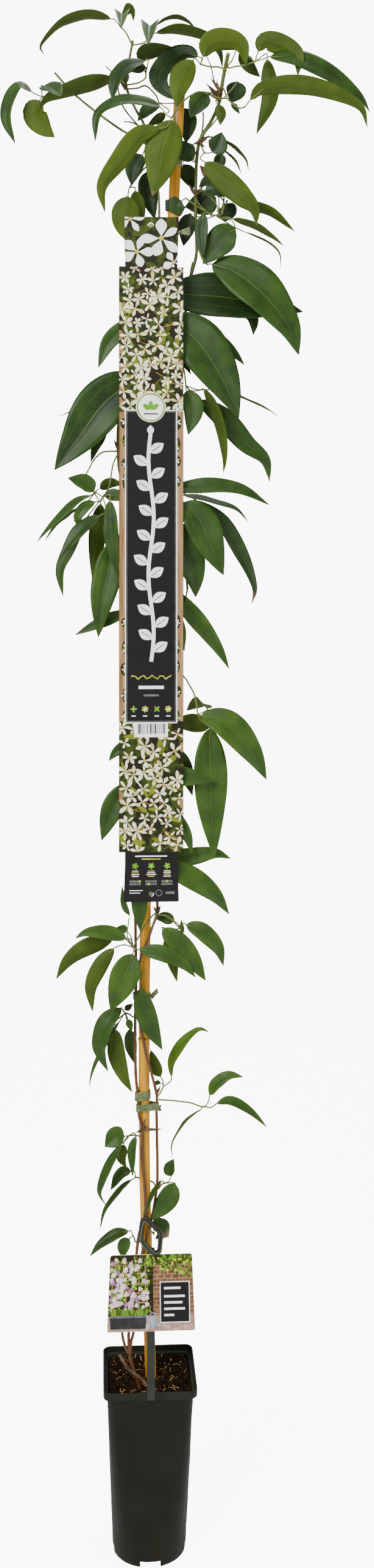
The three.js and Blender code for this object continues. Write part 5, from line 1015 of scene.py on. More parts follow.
# each route: radius at its foot, radius at its end, then its line, mm as seen
stemRoutes = [
    (2, 1.6, [
        (-10, -25, 170), (-12, -24, 192), (-18, -24, 210), (-22, -23, 222), (-24, -22, 232),
        (-25, -20, 260), (-22, -18, 300), (-17, -11, 340), (-14, -6.8, 368), (-11, -9, 384),
        (-5, -10.3, 402), (-5, -10.3, 430), (-8, -10.3, 470), (-8, -10.3, 505), (-12.5, -9, 525),
        (-14, -6, 550), (-16, -3, 570), (-17, 0, 600), (-17, 1, 650), (-16, 3, 690),
        (-16.5, 4, 740), (-17, 2, 795), (-14, 2, 850), (-9.5, 3, 960), (-3.5, 3, 1100),
        (-8, 3, 1200), (-25, 4, 1270), (-36, 2, 1310), (-38, 0, 1335), (-38, 0, 1365),
        (-31, 2, 1400), (-16, 6, 1450), (-2, 9.5, 1510), (6, 10, 1560), (11, -1, 1600),
        (12, -5, 1612), (12, -6, 1640), (10, -7, 1665), (4, -7, 1692), (-3, -5, 1712),
        (-6, -2, 1735), (-18, 0, 1757), (-28, 0, 1783), (-25, 0, 1810), (-20, 0, 1838)]),
    (1.8, 1.8, [
        (-23.5, -22, 229), (-22, -20, 248), (-19, -19, 260), (-14, -15, 300), (-12, -11, 330),
        (-9, -9.2, 355), (-6, -9.2, 364), (-2, -10.4, 378), (4, -9.5, 402), (8, -5, 425),
        (10, -2, 445), (10, -2, 470), (9.5, -2, 500), (9, -2.5, 532), (9.6, -3.6, 545),
        (8, -7, 555), (3, -10.3, 575), (-2, -10.8, 592), (-6, -10.8, 610), (-9, -10.6, 625),
        (-12, -10, 640), (-15, -9, 660), (-16, -8.5, 680), (-15, -9.5, 695), (-12, -12, 710),
        (-8, -13.5, 723), (0, -14, 743), (4, -13.5, 755), (8, -10, 765), (10, -8, 775),
        (10, -6, 790), (11, -4, 850), (13.5, -2, 960), (17, -1, 1080), (21, 0, 1180),
        (27, 0, 1300), (33, 0, 1400), (39, 0, 1460), (45, 0, 1510), (51, 0, 1553), (54, 0, 1568)]),
    (2, 2.4, [
        (51, 0, 1550), (58, 0, 1580), (57, 0, 1620), (57, 0, 1661), (58, -2, 1690), (61, -4, 1715),
        (66, -6, 1725), (78, -6, 1745), (86, -6, 1765), (90, -5, 1790), (93, -3, 1806),
        (97, 0, 1825)]),
    (1.8, 1.6, [(-24.5, -22, 231), (-31, -23, 248), (-33, -20, 268), (-28, -15, 310),
                (-18, -11, 338), (-15.6, -9, 352)]),
    (1.5, 1.4, [(-3, -5, 1711), (-14, -5, 1719), (-33, -4, 1728), (-62, 0, 1748), (-90, 2, 1770),
                (-101, 2, 1781), (-115, 2, 1797)]),
    (1.1, 0.8, [(-6, -2, 1728), (-14, -5, 1735), (-30, -8, 1754), (-36, -8, 1769),
                (-39, -8, 1785), (-44, -8, 1797), (-53, -8, 1806)]),
    (1.2, 0.8, [(-6, -3, 1728), (-18, 4, 1737), (-31, 6, 1739)]),
    (1, 0.7, [(94, -2, 1808), (102, -2, 1817), (110, -2, 1840)]),
    (1.2, 0.9, [(64, -6, 1722), (66, -6, 1738), (66, -6, 1753)]),
    (1.2, 0.9, [(68, -6, 1728), (78, -12, 1738), (87, -14, 1750)]),
    (1, 0.7, [(86, -6, 1776), (79, -8, 1793), (76, -8, 1808), (70, -6, 1822)]),
    (1.1, 0.8, [(56, 0, 1650), (62, -14, 1638), (77, -20, 1625)]),
]

# pointed bracts at the leaf joints: root, tip, root radius
bracts = [
    ((-8, -9, 508), (17, -12, 507), 2.4), ((-7, -9, 508), (-17, -12, 503), 2.2),
    ((-9, -9, 504), (-4, -15, 521), 2.2), ((-38, 0, 1340), (-43, -3, 1350), 2.4),
    ((-38, 0, 1340), (-33, -3, 1351), 2.2), ((-28, 0, 1778), (-35, -2, 1790), 2.4),
    ((87, -6, 1770), (68, -9, 1777), 2.6), ((88, -6, 1778), (75, -12, 1795), 2.6),
    ((62, -4, 1716), (74, -9, 1724), 2.6), ((64, -5, 1722), (74, -8, 1741), 2.6),
    ((57, 0, 1652), (48, -4, 1664), 2.6), ((57, 0, 1652), (67, -4, 1662), 2.6),
    ((87, -6, 1772), (69, -14, 1788), 2.6), ((88, -6, 1774), (82, -14, 1793), 2.6),
    ((86, -6, 1766), (73, -16, 1783), 2.4), ((64, -5, 1718), (52, -9, 1712), 2.4),
    ((62, -5, 1716), (69, -13, 1709), 2.4), ((10, -2, 436), (14, -6, 446), 2.2),
    ((9.5, -4, 552), (14, -8, 560), 2.2), ((10, -8, 772), (14, -12, 781), 2.4),
    ((10, -8, 772), (5, -12, 780), 2.2),
]

stemLook = {
    "green": (0.080, 0.115, 0.006),
    "olive": (0.082, 0.070, 0.007),
    "brown": (0.135, 0.046, 0.010),
    "dark": (0.030, 0.012, 0.004),
    "brownBelow": 1.02,             # m, where the young green bark starts to show
    "blend": 1.3,                   # m, over which it turns green
    "bract": ((0.025, 0.013, 0.006), (0.070, 0.034, 0.009), (0.16, 0.105, 0.035)),
    "bractTaper": (1, 0.98, 0.9, 0.78, 0.62, 0.45, 0.28, 0.12),
    "step": 5,                      # mm
    "sides": 10,
}


def nearestOnStem(place):
    best = None
    for _, _, run in stemRoutes:
        points = [seen(p) for p in run]
        for a, b in zip(points, points[1:]):
            t = min(1, max(0, (place - a).dot(b - a) / (b - a).length_squared))
            found = a.lerp(b, t)
            if best is None or (found - place).length < (best - place).length:
                best = found
    return best


def stemMaterial():
    mat, tree, shader = newMaterial("youngBark", 0.38, Specular_IOR_Level=0.45)
    fine, broad = addGrain(tree, 900, 70, (1, 1, 0.16))
    height = plus(tree, axisOut(tree, objectPlace(tree), 2), times(tree, broad, 0.9))
    brownTop = stemLook["brownBelow"] + 0.05
    level = addNode(tree, "ShaderNodeMapRange", Value=height, From_Min=brownTop,
                    From_Max=brownTop + stemLook["blend"]).outputs[0]
    color = rampNode(tree, level, [(0.0, stemLook["brown"]), (0.35, stemLook["olive"]),
                                   (0.8, stemLook["green"])])
    streak = minus(tree, 1.0, times(tree, fine, 1.35), clamp=True)
    color = mixColors(tree, times(tree, streak, 0.7), color, (*stemLook["dark"], 1))
    tree.links.new(color, shader.inputs["Base Color"])
    addBump(tree, shader, fine, 0.55, 0.0006)
    return mat


def makeStem():
    verts, faces, bractFaces = [], [], []
    rng = random.Random(5)
    for low, high, run in stemRoutes:
        points = [seen(p) for p in run]
        count = max(6, int(runLength(points) / stemLook["step"]))
        radii = [(low + (high - low) * i / count) * (1 + rng.uniform(-0.05, 0.05))
                 for i in range(count + 1)]
        tubeInto(verts, faces, smoothLine(points, count), radii, stemLook["sides"])
    for root, tip, r in bracts:
        a, b = seen(root), seen(tip)
        lean = vec((rng.uniform(-1, 1), rng.uniform(-1, 1), 1.2)) * 0.6
        line = smoothLine([a, a.lerp(b, 0.45) - lean, b], len(stemLook["bractTaper"]) - 1)
        start = len(faces)
        tubeInto(verts, faces, line, [r * share for share in stemLook["bractTaper"]], 8)
        bractFaces.extend(range(start, len(faces)))
    dry = grainyMaterial("dryBract", stemLook["bract"], 0.7, 900, 120, 0.5, (1, 1, 0.3))
    stem = makeObject("climbingStem", verts, faces, [stemMaterial(), dry])
    for i in bractFaces:
        stem.data.polygons[i].material_index = 1
    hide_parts("stem")


oldWood = {
    "bark": ((0.028, 0.015, 0.008), (0.115, 0.062, 0.028), (0.26, 0.165, 0.085)),
    "runs": [                       # each with its radii, spread evenly along it
        ([(-3, -26, 193), (-10, -27, 202), (-18, -28, 208), (-25, -29, 214), (-30, -30, 222),
          (-36, -31, 232)], [2.2, 2.2, 2.1, 2.1, 2, 1.8]),
        ([(-27, -30, 217), (-21, -34, 212), (-14, -36, 206)], [1.4, 1.3, 1]),
    ],
    "steps": 26,
}


def makeOldWood():
    bark = grainyMaterial("oldBark", oldWood["bark"], 0.85, 700, 110, 0.9, (1, 1, 0.5))
    verts, faces = [], []
    rng = random.Random(9)
    steps = oldWood["steps"]
    for run, radii in oldWood["runs"]:
        fat = []
        for i in range(steps + 1):
            t = i / steps * (len(radii) - 1)
            k = min(int(t), len(radii) - 2)
            fat.append((radii[k] + (radii[k + 1] - radii[k]) * (t - k)) * rng.uniform(0.9, 1.08))
        tubeInto(verts, faces, smoothLine([seen(p) for p in run], steps), fat, 12)
    wood = makeObject("oldWoodStub", verts, faces, [bark])
    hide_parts("old_stem")


makeStem()
makeOldWood()
print("stems ready")

for leafName, (petioles, bladeRows) in leafRows.items():
    makeLeaf(leafName, petioles, bladeRows, leafLooks.get(leafName, {}))
print("leaves ready")

caneRows = {
    "line": [(4, 12), (2, 200), (-2, 330), (-5.5, 450), (-6.3, 560), (-6, 650), (-4.5, 780),
             (2, 960), (11, 1180), (21, 1400), (31, 1660), (37, 1770), (39, 1797)],
    "joints": [283, 618, 955, 1292, 1628],
    "radius": 6.7,
    "sides": 24,
    "straw": (0.69, 0.345, 0.010),
    "gold": (0.57, 0.245, 0.005),
    "tan": (0.33, 0.135, 0.005),
    "stain": (0.060, 0.026, 0.006, 1),
    "cutEnd": ((0.10, 0.055, 0.02), (0.38, 0.22, 0.09), (0.55, 0.36, 0.17)),
    # rings of the hollow top: share of its radius, how far down
    "mouth": ((0.92, -0.4), (0.62, -0.6), (0.51, 0.3), (0.48, 13.0)),
}


def caneX(z):
    line = caneRows["line"]
    for (x0, z0), (x1, z1) in zip(line, line[1:]):
        if z <= z1:
            break
    return x0 + (x1 - x0) * (z - z0) / (z1 - z0)


def caneMaterial():
    mat, tree, shader = newMaterial("bambooSkin", 0.42, Coat_Weight=0.06, Coat_Roughness=0.3,
                                    Specular_IOR_Level=0.3)
    fine, broad = addGrain(tree, 900, 130, (1, 1, 0.035))
    patch = addGrain(tree, 300, 22, (1, 1, 0.35))[1]
    mixed = plus(tree, times(tree, broad, 0.6), times(tree, patch, 0.4))
    color = rampNode(tree, mixed, [(0.34, caneRows["tan"]), (0.47, caneRows["gold"]),
                                   (0.6, caneRows["straw"])])
    color = mixColors(tree, times(tree, attributeOut(tree, "joint"), 0.75), color,
                      caneRows["stain"])
    streak = mathNode(tree, "GREATER_THAN", times(tree, broad, patch), 0.33)
    color = mixColors(tree, times(tree, streak, 0.35), color, caneRows["stain"])
    tree.links.new(color, shader.inputs["Base Color"])
    addBump(tree, shader, fine, 0.25, 0.0003)
    return mat


def makeCane():
    # a swept skin with a low lip at every joint and a hollow top
    heights = {z for _, z in caneRows["line"]} | set(range(14, 1795, 22))
    for z in caneRows["joints"]:
        heights |= {z + d for d in (-9, -6, -4, -2.6, -1.6, -0.8, 0, 0.8, 1.6, 2.6, 4, 7)}
    line, radii, dark = [], [], []
    rng = random.Random(3)
    for z in sorted(heights):
        d = z - min(caneRows["joints"], key=lambda j: abs(j - z))
        lip = 0.95 * math.exp(-(d / 1.5) ** 2) - 0.35 * math.exp(-((d - 3.2) / 1.3) ** 2)
        lip += 0.35 * math.exp(-((d + 5) / 3.5) ** 2)
        line.append(seen((caneX(z), 0, z)))
        radii.append(caneRows["radius"] + lip + rng.uniform(-0.06, 0.06))
        dark.append(math.exp(-((d - 1.6) / 1.3) ** 2))
    verts, faces = [], []
    sides = caneRows["sides"]
    tubeInto(verts, faces, line, radii, sides)
    faces.pop()
    top = line[-1]
    along = (line[-1] - line[-3]).normalized()
    start = before = len(verts) - sides
    for inward, down in caneRows["mouth"]:
        begin = len(verts)
        verts.extend([top + (verts[start + k] - top) * inward - along * down
                      for k in range(sides)])
        bandFaces(faces, before, begin, sides)
        before = begin
    faces.append(tuple(before + k for k in range(sides)))
    end = grainyMaterial("caneCutEnd", caneRows["cutEnd"], 0.8, 1400, 300, 0.6)
    cane = makeObject("bambooCane", verts, faces, [caneMaterial(), end])
    setValues(cane.data, "joint", [dark[min(i // sides, len(dark) - 1)] for i in range(len(verts))])
    for polygon in cane.data.polygons:
        if min(polygon.vertices) >= (len(line) - 1) * sides:
            polygon.material_index = 1
    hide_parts("cane")


makeCane()
print("cane ready")

potRows = {
    "footRadius": 44.5, "wallTop": 205.5, "wallTopHalf": 51.5, "rimHalf": 56, "rimTop": 215,
    "rimCorner": 10, "floorTop": 9, "soilTop": 205,
    "notch": (24, 12, 14),          # width, depth and height of each cut in the foot
    "drains": {"count": 8, "ring": 31, "radius": 4.5, "turn": 0.2},
    "plastic": (0.0028, 0.0035, 0.0014),
    "worn": (0.0066, 0.0078, 0.0034),
    "rim": (0.0120, 0.0145, 0.0085),
    "dust": (0.026, 0.019, 0.009, 1),
    "roughness": 0.54,
}


def ringAngles():
    # directions that fall close together at a rim's rounded corners
    half, radius, angles = potRows["rimHalf"], potRows["rimCorner"], []
    for quarter in range(4):
        for k in range(9):
            a = math.radians(5 + 10 * k)
            x, y = half - radius + radius * math.cos(a), half - radius + radius * math.sin(a)
            angles.append(math.radians(90 * quarter) + math.atan2(y, x))
        for k in range(1, 7):
            across = (half - radius) * (1 - 2 * k / 7)
            angles.append(math.radians(90 * quarter) + math.atan2(half, across))
    return angles


potAngles = ringAngles()


def squareRing(half, radius, z):
    # a rounded square read along the same directions for every height
    ring = []
    q = half - radius
    for angle in potAngles:
        c, s = math.cos(angle), math.sin(angle)
        big, small = max(abs(c), abs(s)), min(abs(c), abs(s))
        reach = half / big
        if small * reach > q:
            along = (big + small) * q
            reach = along + math.sqrt(max(0, along * along - 2 * q * q + radius * radius))
        ring.append(vec((c * reach, s * reach, z)))
    return ring


def potMaterial():
    mat, tree, shader = newMaterial("nurseryPlastic", potRows["roughness"],
                                    Specular_IOR_Level=0.18)
    fine, broad = addGrain(tree, 1100, 26)
    height = axisOut(tree, objectPlace(tree), 2)
    rimmed = addNode(tree, "ShaderNodeMapRange", Value=height, From_Min=0.2, From_Max=0.209,
                     To_Max=0.3)
    color = rampNode(tree, plus(tree, broad, rimmed.outputs[0]),
                     [(0.38, potRows["plastic"]), (0.64, potRows["worn"]), (0.9, potRows["rim"])])
    low = addNode(tree, "ShaderNodeMapRange", Value=height, From_Min=0.05, From_Max=0.0)
    dusty = times(tree, plus(tree, low.outputs[0], 0.25), times(tree, fine, 0.5), clamp=True)
    color = mixColors(tree, dusty, color, potRows["dust"])
    tree.links.new(color, shader.inputs["Base Color"])
    rough = plus(tree, times(tree, broad, 0.3), potRows["roughness"] - 0.16)
    tree.links.new(rough, shader.inputs["Roughness"])
    addBump(tree, shader, plus(tree, times(tree, fine, 0.35), broad), 0.35, 0.0012)
    return mat


def cylinderCutter(radius, depth, at, sides, turn=(0, 0, 0)):
    # sizes and place in mm
    bpy.ops.object.select_all(action="DESELECT")
    bpy.ops.mesh.primitive_cylinder_add(vertices=sides, radius=radius * mm, depth=depth * mm,
                                        location=vec(at) * mm, rotation=turn)
    return bpy.context.object


def boxCutter(size, at, turn):
    bpy.ops.object.select_all(action="DESELECT")
    bpy.ops.mesh.primitive_cube_add(size=1, location=vec(at) * mm, rotation=(0, 0, turn))
    cutter = bpy.context.object
    cutter.scale = vec(size) * mm
    bpy.ops.object.transform_apply(location=True, rotation=True, scale=True)
    return cutter


def makePot():
    foot, wall, rim = potRows["footRadius"], potRows["wallTopHalf"], potRows["rimHalf"]
    low, high, floorTop = potRows["wallTop"], potRows["rimTop"], potRows["floorTop"]
    corner = potRows["rimCorner"]
    # half width, corner radius and height of each ring: under the foot, up the wall, over the
    # rim, then down the inside
    rings = [
        (20, 20, 0), (22.4, 22.4, 6.2), (23.4, 23.4, 7), (foot - 2.2, foot - 2.2, 7),
        (foot - 1.7, foot - 1.7, 0.5), (foot - 1.3, foot - 1.3, 0), (foot - 0.4, foot - 0.4, 0),
        (foot, foot, 0.5), (foot + 0.35, 42.0, 10), (45.2, 39.5, 24), (45.9, 36, 42),
        (46.6, 31.5, 63), (47.3, 27, 84), (48.7, 21, 125), (50.2, 14.5, 168),
        (wall - 0.1, 9.3, low - 3), (wall + 0.35, 9, low - 0.7),
        (rim - 1.0, corner, low - 0.1), (rim - 0.25, corner, low + 0.35), (rim, corner, low + 1.1),
        (rim, corner, high - 0.9), (rim - 0.3, 9.8, high - 0.25), (rim - 0.8, 9.4, high),
        (rim - 1.3, 8.9, high - 0.1), (rim - 1.75, 8.5, high - 0.6), (rim - 1.8, 8.4, low + 2.3),
        (rim - 2.4, 8.2, low + 1.7), (wall - 1.2, 7.8, low + 1.2), (wall - 1.6, 7.6, low + 0.2),
        (45.5, 25.4, 84), (44.1, 34.2, 42), (42.7, 42.7, floorTop), (21.6, 21.6, floorTop),
        (18.6, 18.6, 2),
    ]
    verts, faces = [], []
    loftInto(verts, faces, [squareRing(*row) for row in rings])
    pot = makeObject("nurseryPot", verts, faces, [potMaterial()], smooth=False)
    for k in range(4):
        turn = math.radians(90 * k)
        at = Matrix.Rotation(turn, 3, "Z") @ vec((0, -foot, 0))
        cutBy(pot, boxCutter(potRows["notch"], at, turn))
    drains = potRows["drains"]
    for k in range(drains["count"]):
        a = 2 * math.pi / drains["count"] * k + drains["turn"]
        at = (drains["ring"] * math.cos(a), drains["ring"] * math.sin(a), 8.5)
        cutBy(pot, cylinderCutter(drains["radius"], 7, at, 20))
    selectOnly(pot)
    bpy.ops.object.shade_smooth_by_angle(angle=math.radians(38))
    pot.select_set(False)
    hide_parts("pot")


compost = {
    "colors": ((0.0020, 0.0010, 0.0004), (0.0095, 0.0044, 0.0014), (0.045, 0.021, 0.007)),
    "fibre": ((0.10, 0.050, 0.016), (0.36, 0.19, 0.060), (0.62, 0.42, 0.19)),
    # where the cane, the stems and the old wood stand: place as seen, free radius, mm
    "stands": [((caneX(205), 0, 205), 7.2), ((-17, -24, 206), 3.4), ((-10, -27, 203), 3.4)],
    "crumbs": 620, "fibres": 60, "bits": 110,
    "reach": 46,                    # mm from the middle
    "topSteps": 18,
    "crumb": [(0, 0, 1), (0.9, 0, 0.2), (0.3, 0.85, 0.1), (-0.7, 0.5, 0.3), (-0.7, -0.5, -0.1),
              (0.3, -0.85, 0.2), (0, 0, -1)],
}


def crumbInto(verts, faces, at, r, rng):
    first = len(verts)
    turn = (Matrix.Rotation(rng.uniform(0, 6.28), 3, "Z")
            @ Matrix.Rotation(rng.uniform(0, 3.14), 3, "X"))
    stretch = vec((rng.uniform(0.8, 1.4), rng.uniform(0.7, 1.1), rng.uniform(0.6, 1)))
    for corner in compost["crumb"]:
        p = vec([a * b * rng.uniform(0.8, 1.15) for a, b in zip(corner, stretch)]) * r
        verts.append(at + turn @ p)
    for k in range(5):
        m = (k + 1) % 5
        faces.append((first, first + 1 + k, first + 1 + m))
        faces.append((first + 6, first + 1 + m, first + 1 + k))


def soilRings():
    # the body that fills the pot, then a rough top that falls to its middle
    inner, top, floorTop = potRows["wallTopHalf"], potRows["soilTop"], potRows["floorTop"] + 0.3
    rings = [squareRing(*row) for row in (
        (18.2, 18.2, 2.4), (21.2, 21.2, floorTop), (42.2, 42.2, floorTop), (43.6, 33.8, 42),
        (45, 25, 84), (inner - 2.2, 7.2, top - 2.5))]
    for i in range(compost["topSteps"]):
        share = 1 - i / compost["topSteps"]
        half = (inner - 3.0) * share
        ring = squareRing(half, min(half, 7.2 + (1 - share) * 6), top - 1 + (1 - share) * 2)
        for p in ring:
            rough = noise.fractal(vec((p.x, p.y, 3)) * 0.11, 0.9, 2.1, 4)
            lump = noise.noise(vec((p.x, p.y, 9)) * 0.5)
            p.z += rough * 1.5 + lump * 0.7 - 0.4
        rings.append(ring)
    return rings


def makeSoil():
    top, reach = potRows["soilTop"], compost["reach"]
    stands = [(seen(row), free) for row, free in compost["stands"]]

    def isFree(p, gap):
        return all((p.xy - at.xy).length >= free + gap for at, free in stands)

    verts, faces = [], []
    loftInto(verts, faces, soilRings())
    rng = random.Random(21)
    for _ in range(compost["crumbs"]):
        at = vec((rng.uniform(-reach, reach), rng.uniform(-reach, reach), 0))
        r = rng.choice((0.8, 1.1, 1.4, 1.8, 2.3, 3.0))
        if isFree(at, r + 0.6):
            at.z = top + rng.uniform(-0.2, 0.9)
            crumbInto(verts, faces, at, r, rng)
    pale = len(faces)
    for _ in range(compost["fibres"]):
        x, y = rng.uniform(1 - reach, reach - 1), rng.uniform(1 - reach, reach - 1)
        a, long = rng.uniform(0, 6.28), rng.uniform(2, 11)
        b = vec((x + long * math.cos(a), y + long * math.sin(a), top + 1.6))
        middle = vec(((x + b.x) / 2, (y + b.y) / 2, top + 2.1))
        line = smoothLine([vec((x, y, top + 0.9)), middle, b], 4)
        if all(isFree(p, 1.2) for p in line):
            tubeInto(verts, faces, line, rng.uniform(0.18, 0.5), 5)
    for _ in range(compost["bits"]):
        at = vec((rng.uniform(-reach, reach), rng.uniform(-reach, reach), 0))
        if isFree(at, 2.2):
            at.z = top + rng.uniform(0.5, 1.3)
            crumbInto(verts, faces, at, rng.uniform(0.4, 1.0), rng)
    dark = grainyMaterial("darkCompost", compost["colors"], 0.96, 1200, 380, 0.9,
                          Specular_IOR_Level=0.1)
    fibre = grainyMaterial("compostFibre", compost["fibre"], 0.85, 900, 60, 0.5)
    soil = makeObject("pottedCompost", verts, faces, [dark, fibre], smooth=False)
    for polygon in soil.data.polygons[pale:]:
        polygon.material_index = 1
    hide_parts("soil")


makePot()
makeSoil()
print("pot and soil ready")

tieLook = {
    "green": ((0.040, 0.060, 0.018), (0.100, 0.140, 0.045), (0.200, 0.250, 0.105)),
    "dark": ((0.003, 0.010, 0.009), (0.008, 0.026, 0.023), (0.026, 0.052, 0.045)),
    "pale": ((0.16, 0.19, 0.075), (0.28, 0.32, 0.14), (0.45, 0.48, 0.27)),
    "board": ((0.022, 0.040, 0.012), (0.055, 0.092, 0.028), (0.12, 0.17, 0.060)),
    "ring": ((0.007, 0.009, 0.005), (0.026, 0.031, 0.018), (0.100, 0.110, 0.070)),
    "thick": 0.8,                   # mm
    "slack": 0.4,
    "turnHeight": 3.4,
    "sway": 0.25,
    # one turn of a band: share of its thickness, share of its height
    "section": ((0.55, 0.02), (0.93, 0.16), (1.0, 0.4), (1.0, 0.6), (0.93, 0.84)),
    # a free end: share of its outline, share of its depth
    "flap": ((0.7, 0), (0.92, 0.12), (1.0, 0.35), (1.0, 0.65), (0.92, 0.88), (0.7, 1)),
}


def tieMaterial(name, colors, **values):
    return grainyMaterial(name, colors, 0.55, 900, 160, 0.5, (1, 1, 2.4), **values)


tieGreen = tieMaterial("softTieGreen", tieLook["green"])
tieDark = tieMaterial("softTieDark", tieLook["dark"])
tiePale = tieMaterial("paleTape", tieLook["pale"], Transmission_Weight=0.25)
tieBoard = tieMaterial("boardTieGreen", tieLook["board"])


def hullOf(marks):
    marks = sorted(marks, key=lambda m: (m[0], m[1]))

    def chain(points):
        kept = []
        for p in points:
            while len(kept) > 1 and ((kept[-1][0] - kept[-2][0]) * (p[1] - kept[-2][1])
                                     - (kept[-1][1] - kept[-2][1]) * (p[0] - kept[-2][0])) <= 0:
                kept.pop()
            kept.append(p)
        return kept[:-1]
    return chain(marks) + chain(marks[::-1])


def bandLoop(rods, z, sides=28):
    # a line pulled tight round upright rods: each point with its outward direction
    marks = []
    for x, y, r in rods:
        p = seen((x, y, z))
        reach = r + tieLook["slack"]
        for k in range(sides):
            a = 2 * math.pi * (k + 0.5) / sides
            nx, ny = math.cos(a), math.sin(a)
            marks.append((p.x + reach * nx, p.y + reach * ny, nx, ny))
    return hullOf(marks)


def bandInto(verts, faces, rods, low, high, rng):
    # a soft band in several turns side by side, each with rounded edges
    loop = bandLoop(rods, (low + high) / 2)
    bottom, top = seen((0, -10, low)).z, seen((0, -10, high)).z
    turns = max(2, round((top - bottom) / tieLook["turnHeight"]))
    tall = (top - bottom) / turns
    profile = [(out, bottom + tall * t + up * tall)
               for t in range(turns) for out, up in tieLook["section"]]
    out, up = tieLook["section"][0]
    profile.append((out, top - up * tall))
    rows = [(0.0, profile[-1][1]), *reversed(profile), (0.0, profile[0][1])]
    sway = [rng.uniform(-tieLook["sway"], tieLook["sway"]) for _ in range(3)]
    first, count = len(verts), len(loop)
    for out, z in rows:
        reach = tieLook["thick"] * out
        for k, (x, y, nx, ny) in enumerate(loop):
            a = 2 * math.pi * k / count
            dz = sum(s * math.sin((i + 1) * a + i) for i, s in enumerate(sway)) * 0.5
            verts.append(vec((x + nx * reach, y + ny * reach, z + dz)))
    for i in range(len(rows)):
        a, b = first + i * count, first + (i + 1) % len(rows) * count
        for k in range(count):
            m = (k + 1) % count
            faces.append((a + k, b + k, b + m, a + m))


def flapInto(verts, faces, outline, near, far):
    # a soft free end: a padded plate with a rounded rim
    mx, mz = (sum(p[i] for p in outline) / len(outline) for i in (0, 1))
    ring = [(x0 + (x1 - x0) * k / 4, z0 + (z1 - z0) * k / 4)
            for (x0, z0), (x1, z1) in zip(outline, outline[1:] + outline[:1]) for k in range(4)]
    loftInto(verts, faces, [[seen((mx + (x - mx) * share, near + (far - near) * deep,
                                   mz + (z - mz) * share)) for x, z in ring]
                            for share, deep in tieLook["flap"]])


def makeTie(name, node, rods, low, high, material, flaps=()):
    verts, faces = [], []
    bandInto(verts, faces, rods, low, high, random.Random(name))
    for outline, near, far in flaps:
        flapInto(verts, faces, outline, near, far)
    tie = makeObject(name, verts, faces, [material])
    faceOutward(tie)
    bpy.ops.object.shade_smooth_by_angle(angle=math.radians(50))
    tie.select_set(False)
    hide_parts(node)


makeTie("tieLowFirst", "tie_low_1", [(-6.1, 0, 6.9), (-12.9, -8.2, 2.1), (9, -2.6, 2)], 528, 537,
        tieGreen,
        [([(11.1, 528.6), (16, 529.4), (14, 533), (16, 536.4), (11.1, 536.4)], -3.4, -2.4)])
makeTie("tieLowSecond", "tie_low_2", [(-6.2, 0, 6.9), (-14, -6.4, 2.4)], 541, 552,
        tieGreen,
        [([(-7, 541.5), (-1.5, 546), (-6, 551.5), (-11.5, 547)], -9.8, -7.4)])
makeTie("tieMiddle", "tie_mid", [(-6, 0, 6.9), (-16.7, 2, 2.2), (-15.5, -9, 2.1)], 664, 672,
        tieGreen,
        [([(0.9, 671.5), (10, 680), (11.5, 674), (3, 665)], -3.2, -2.2)])
makeTie("tieTopDark", "tie_top_1", [(30.2, 0, 6.9), (22.6, -2, 2)], 1633, 1646,
        tieDark)
makeTie("tieTopPale", "tie_top_2", [(32.8, 0, 6.9)], 1687, 1697, tiePale)

boardTies = {
    "cord": 1.2,                    # mm, its radius
    "boardY": -34,
    "lip": 0.6, "slack": 0.4,       # room over the cane's skin
    "wrap": 1.75,                   # half of the turn round the cane, radians
    "knot": ((3.0, 2.9, 0.3), (4.4, 2.6, -0.5)),    # in front of the hole, size, turn
    "knotCord": 1.25,
    # the end that fills the hole: depth, radius
    "plug": ((-1.2, 1.6), (-0.9, 2.6), (0, 2.95), (2.2, 2.9), (3.6, 2.0)),
}


def makeBoardTie(name, node, holeX, z, material, flaps=()):
    # from the hole round the cane and back, with a knot of two crossing turns
    cord, wrap = boardTies["cord"], boardTies["wrap"]
    centre, hole = seen((caneX(z), 0, z)), seen((holeX, boardTies["boardY"], z))
    reach = caneRows["radius"] + boardTies["lip"] + cord + boardTies["slack"]
    away = math.atan2(centre.y - hole.y, centre.x - hole.x)
    apart = cord * math.sin(away)
    points = [hole + vec((0, 1.5, 0)), hole + vec((apart, 4, 0))]
    for k in range(15):
        a = away - wrap + 2 * wrap * k / 14
        points.append(vec((centre.x + reach * math.cos(a), centre.y + reach * math.sin(a), hole.z)))
    points += [hole + vec((-apart, 4, 0)), points[0]]
    verts, faces = [], []
    tubeInto(verts, faces, smoothLine(points, 60), cord, 10, up=vec((0, 0, 1)))
    for shift, size, turn in boardTies["knot"]:
        ring = [hole + vec((size * math.cos(a) * 0.75, shift + size * math.sin(a) * 0.55,
                            size * math.sin(a + turn) * 0.8))
                for a in (2 * math.pi * k / 14 for k in range(14))]
        tubeInto(verts, faces, ring, boardTies["knotCord"], 8, closed=True)
    tubeInto(verts, faces, [hole + vec((0, y, 0)) for y, _ in boardTies["plug"]],
             [r for _, r in boardTies["plug"]], 18)
    for outline, near, far in flaps:
        flapInto(verts, faces, outline, near, far)
    tie = makeObject(name, verts, faces, [material])
    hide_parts(node)


makeBoardTie("boardTieTop", "board_tie_top", 2, 1612.6, tiePale,
             [([(36.4, 1602.5), (50, 1601), (50, 1611.5), (36.4, 1606.5)], -3.4, -2.4)])
makeBoardTie("boardTieBottom", "board_tie_bottom", 2.2, 795, tieBoard)
print("ties ready")

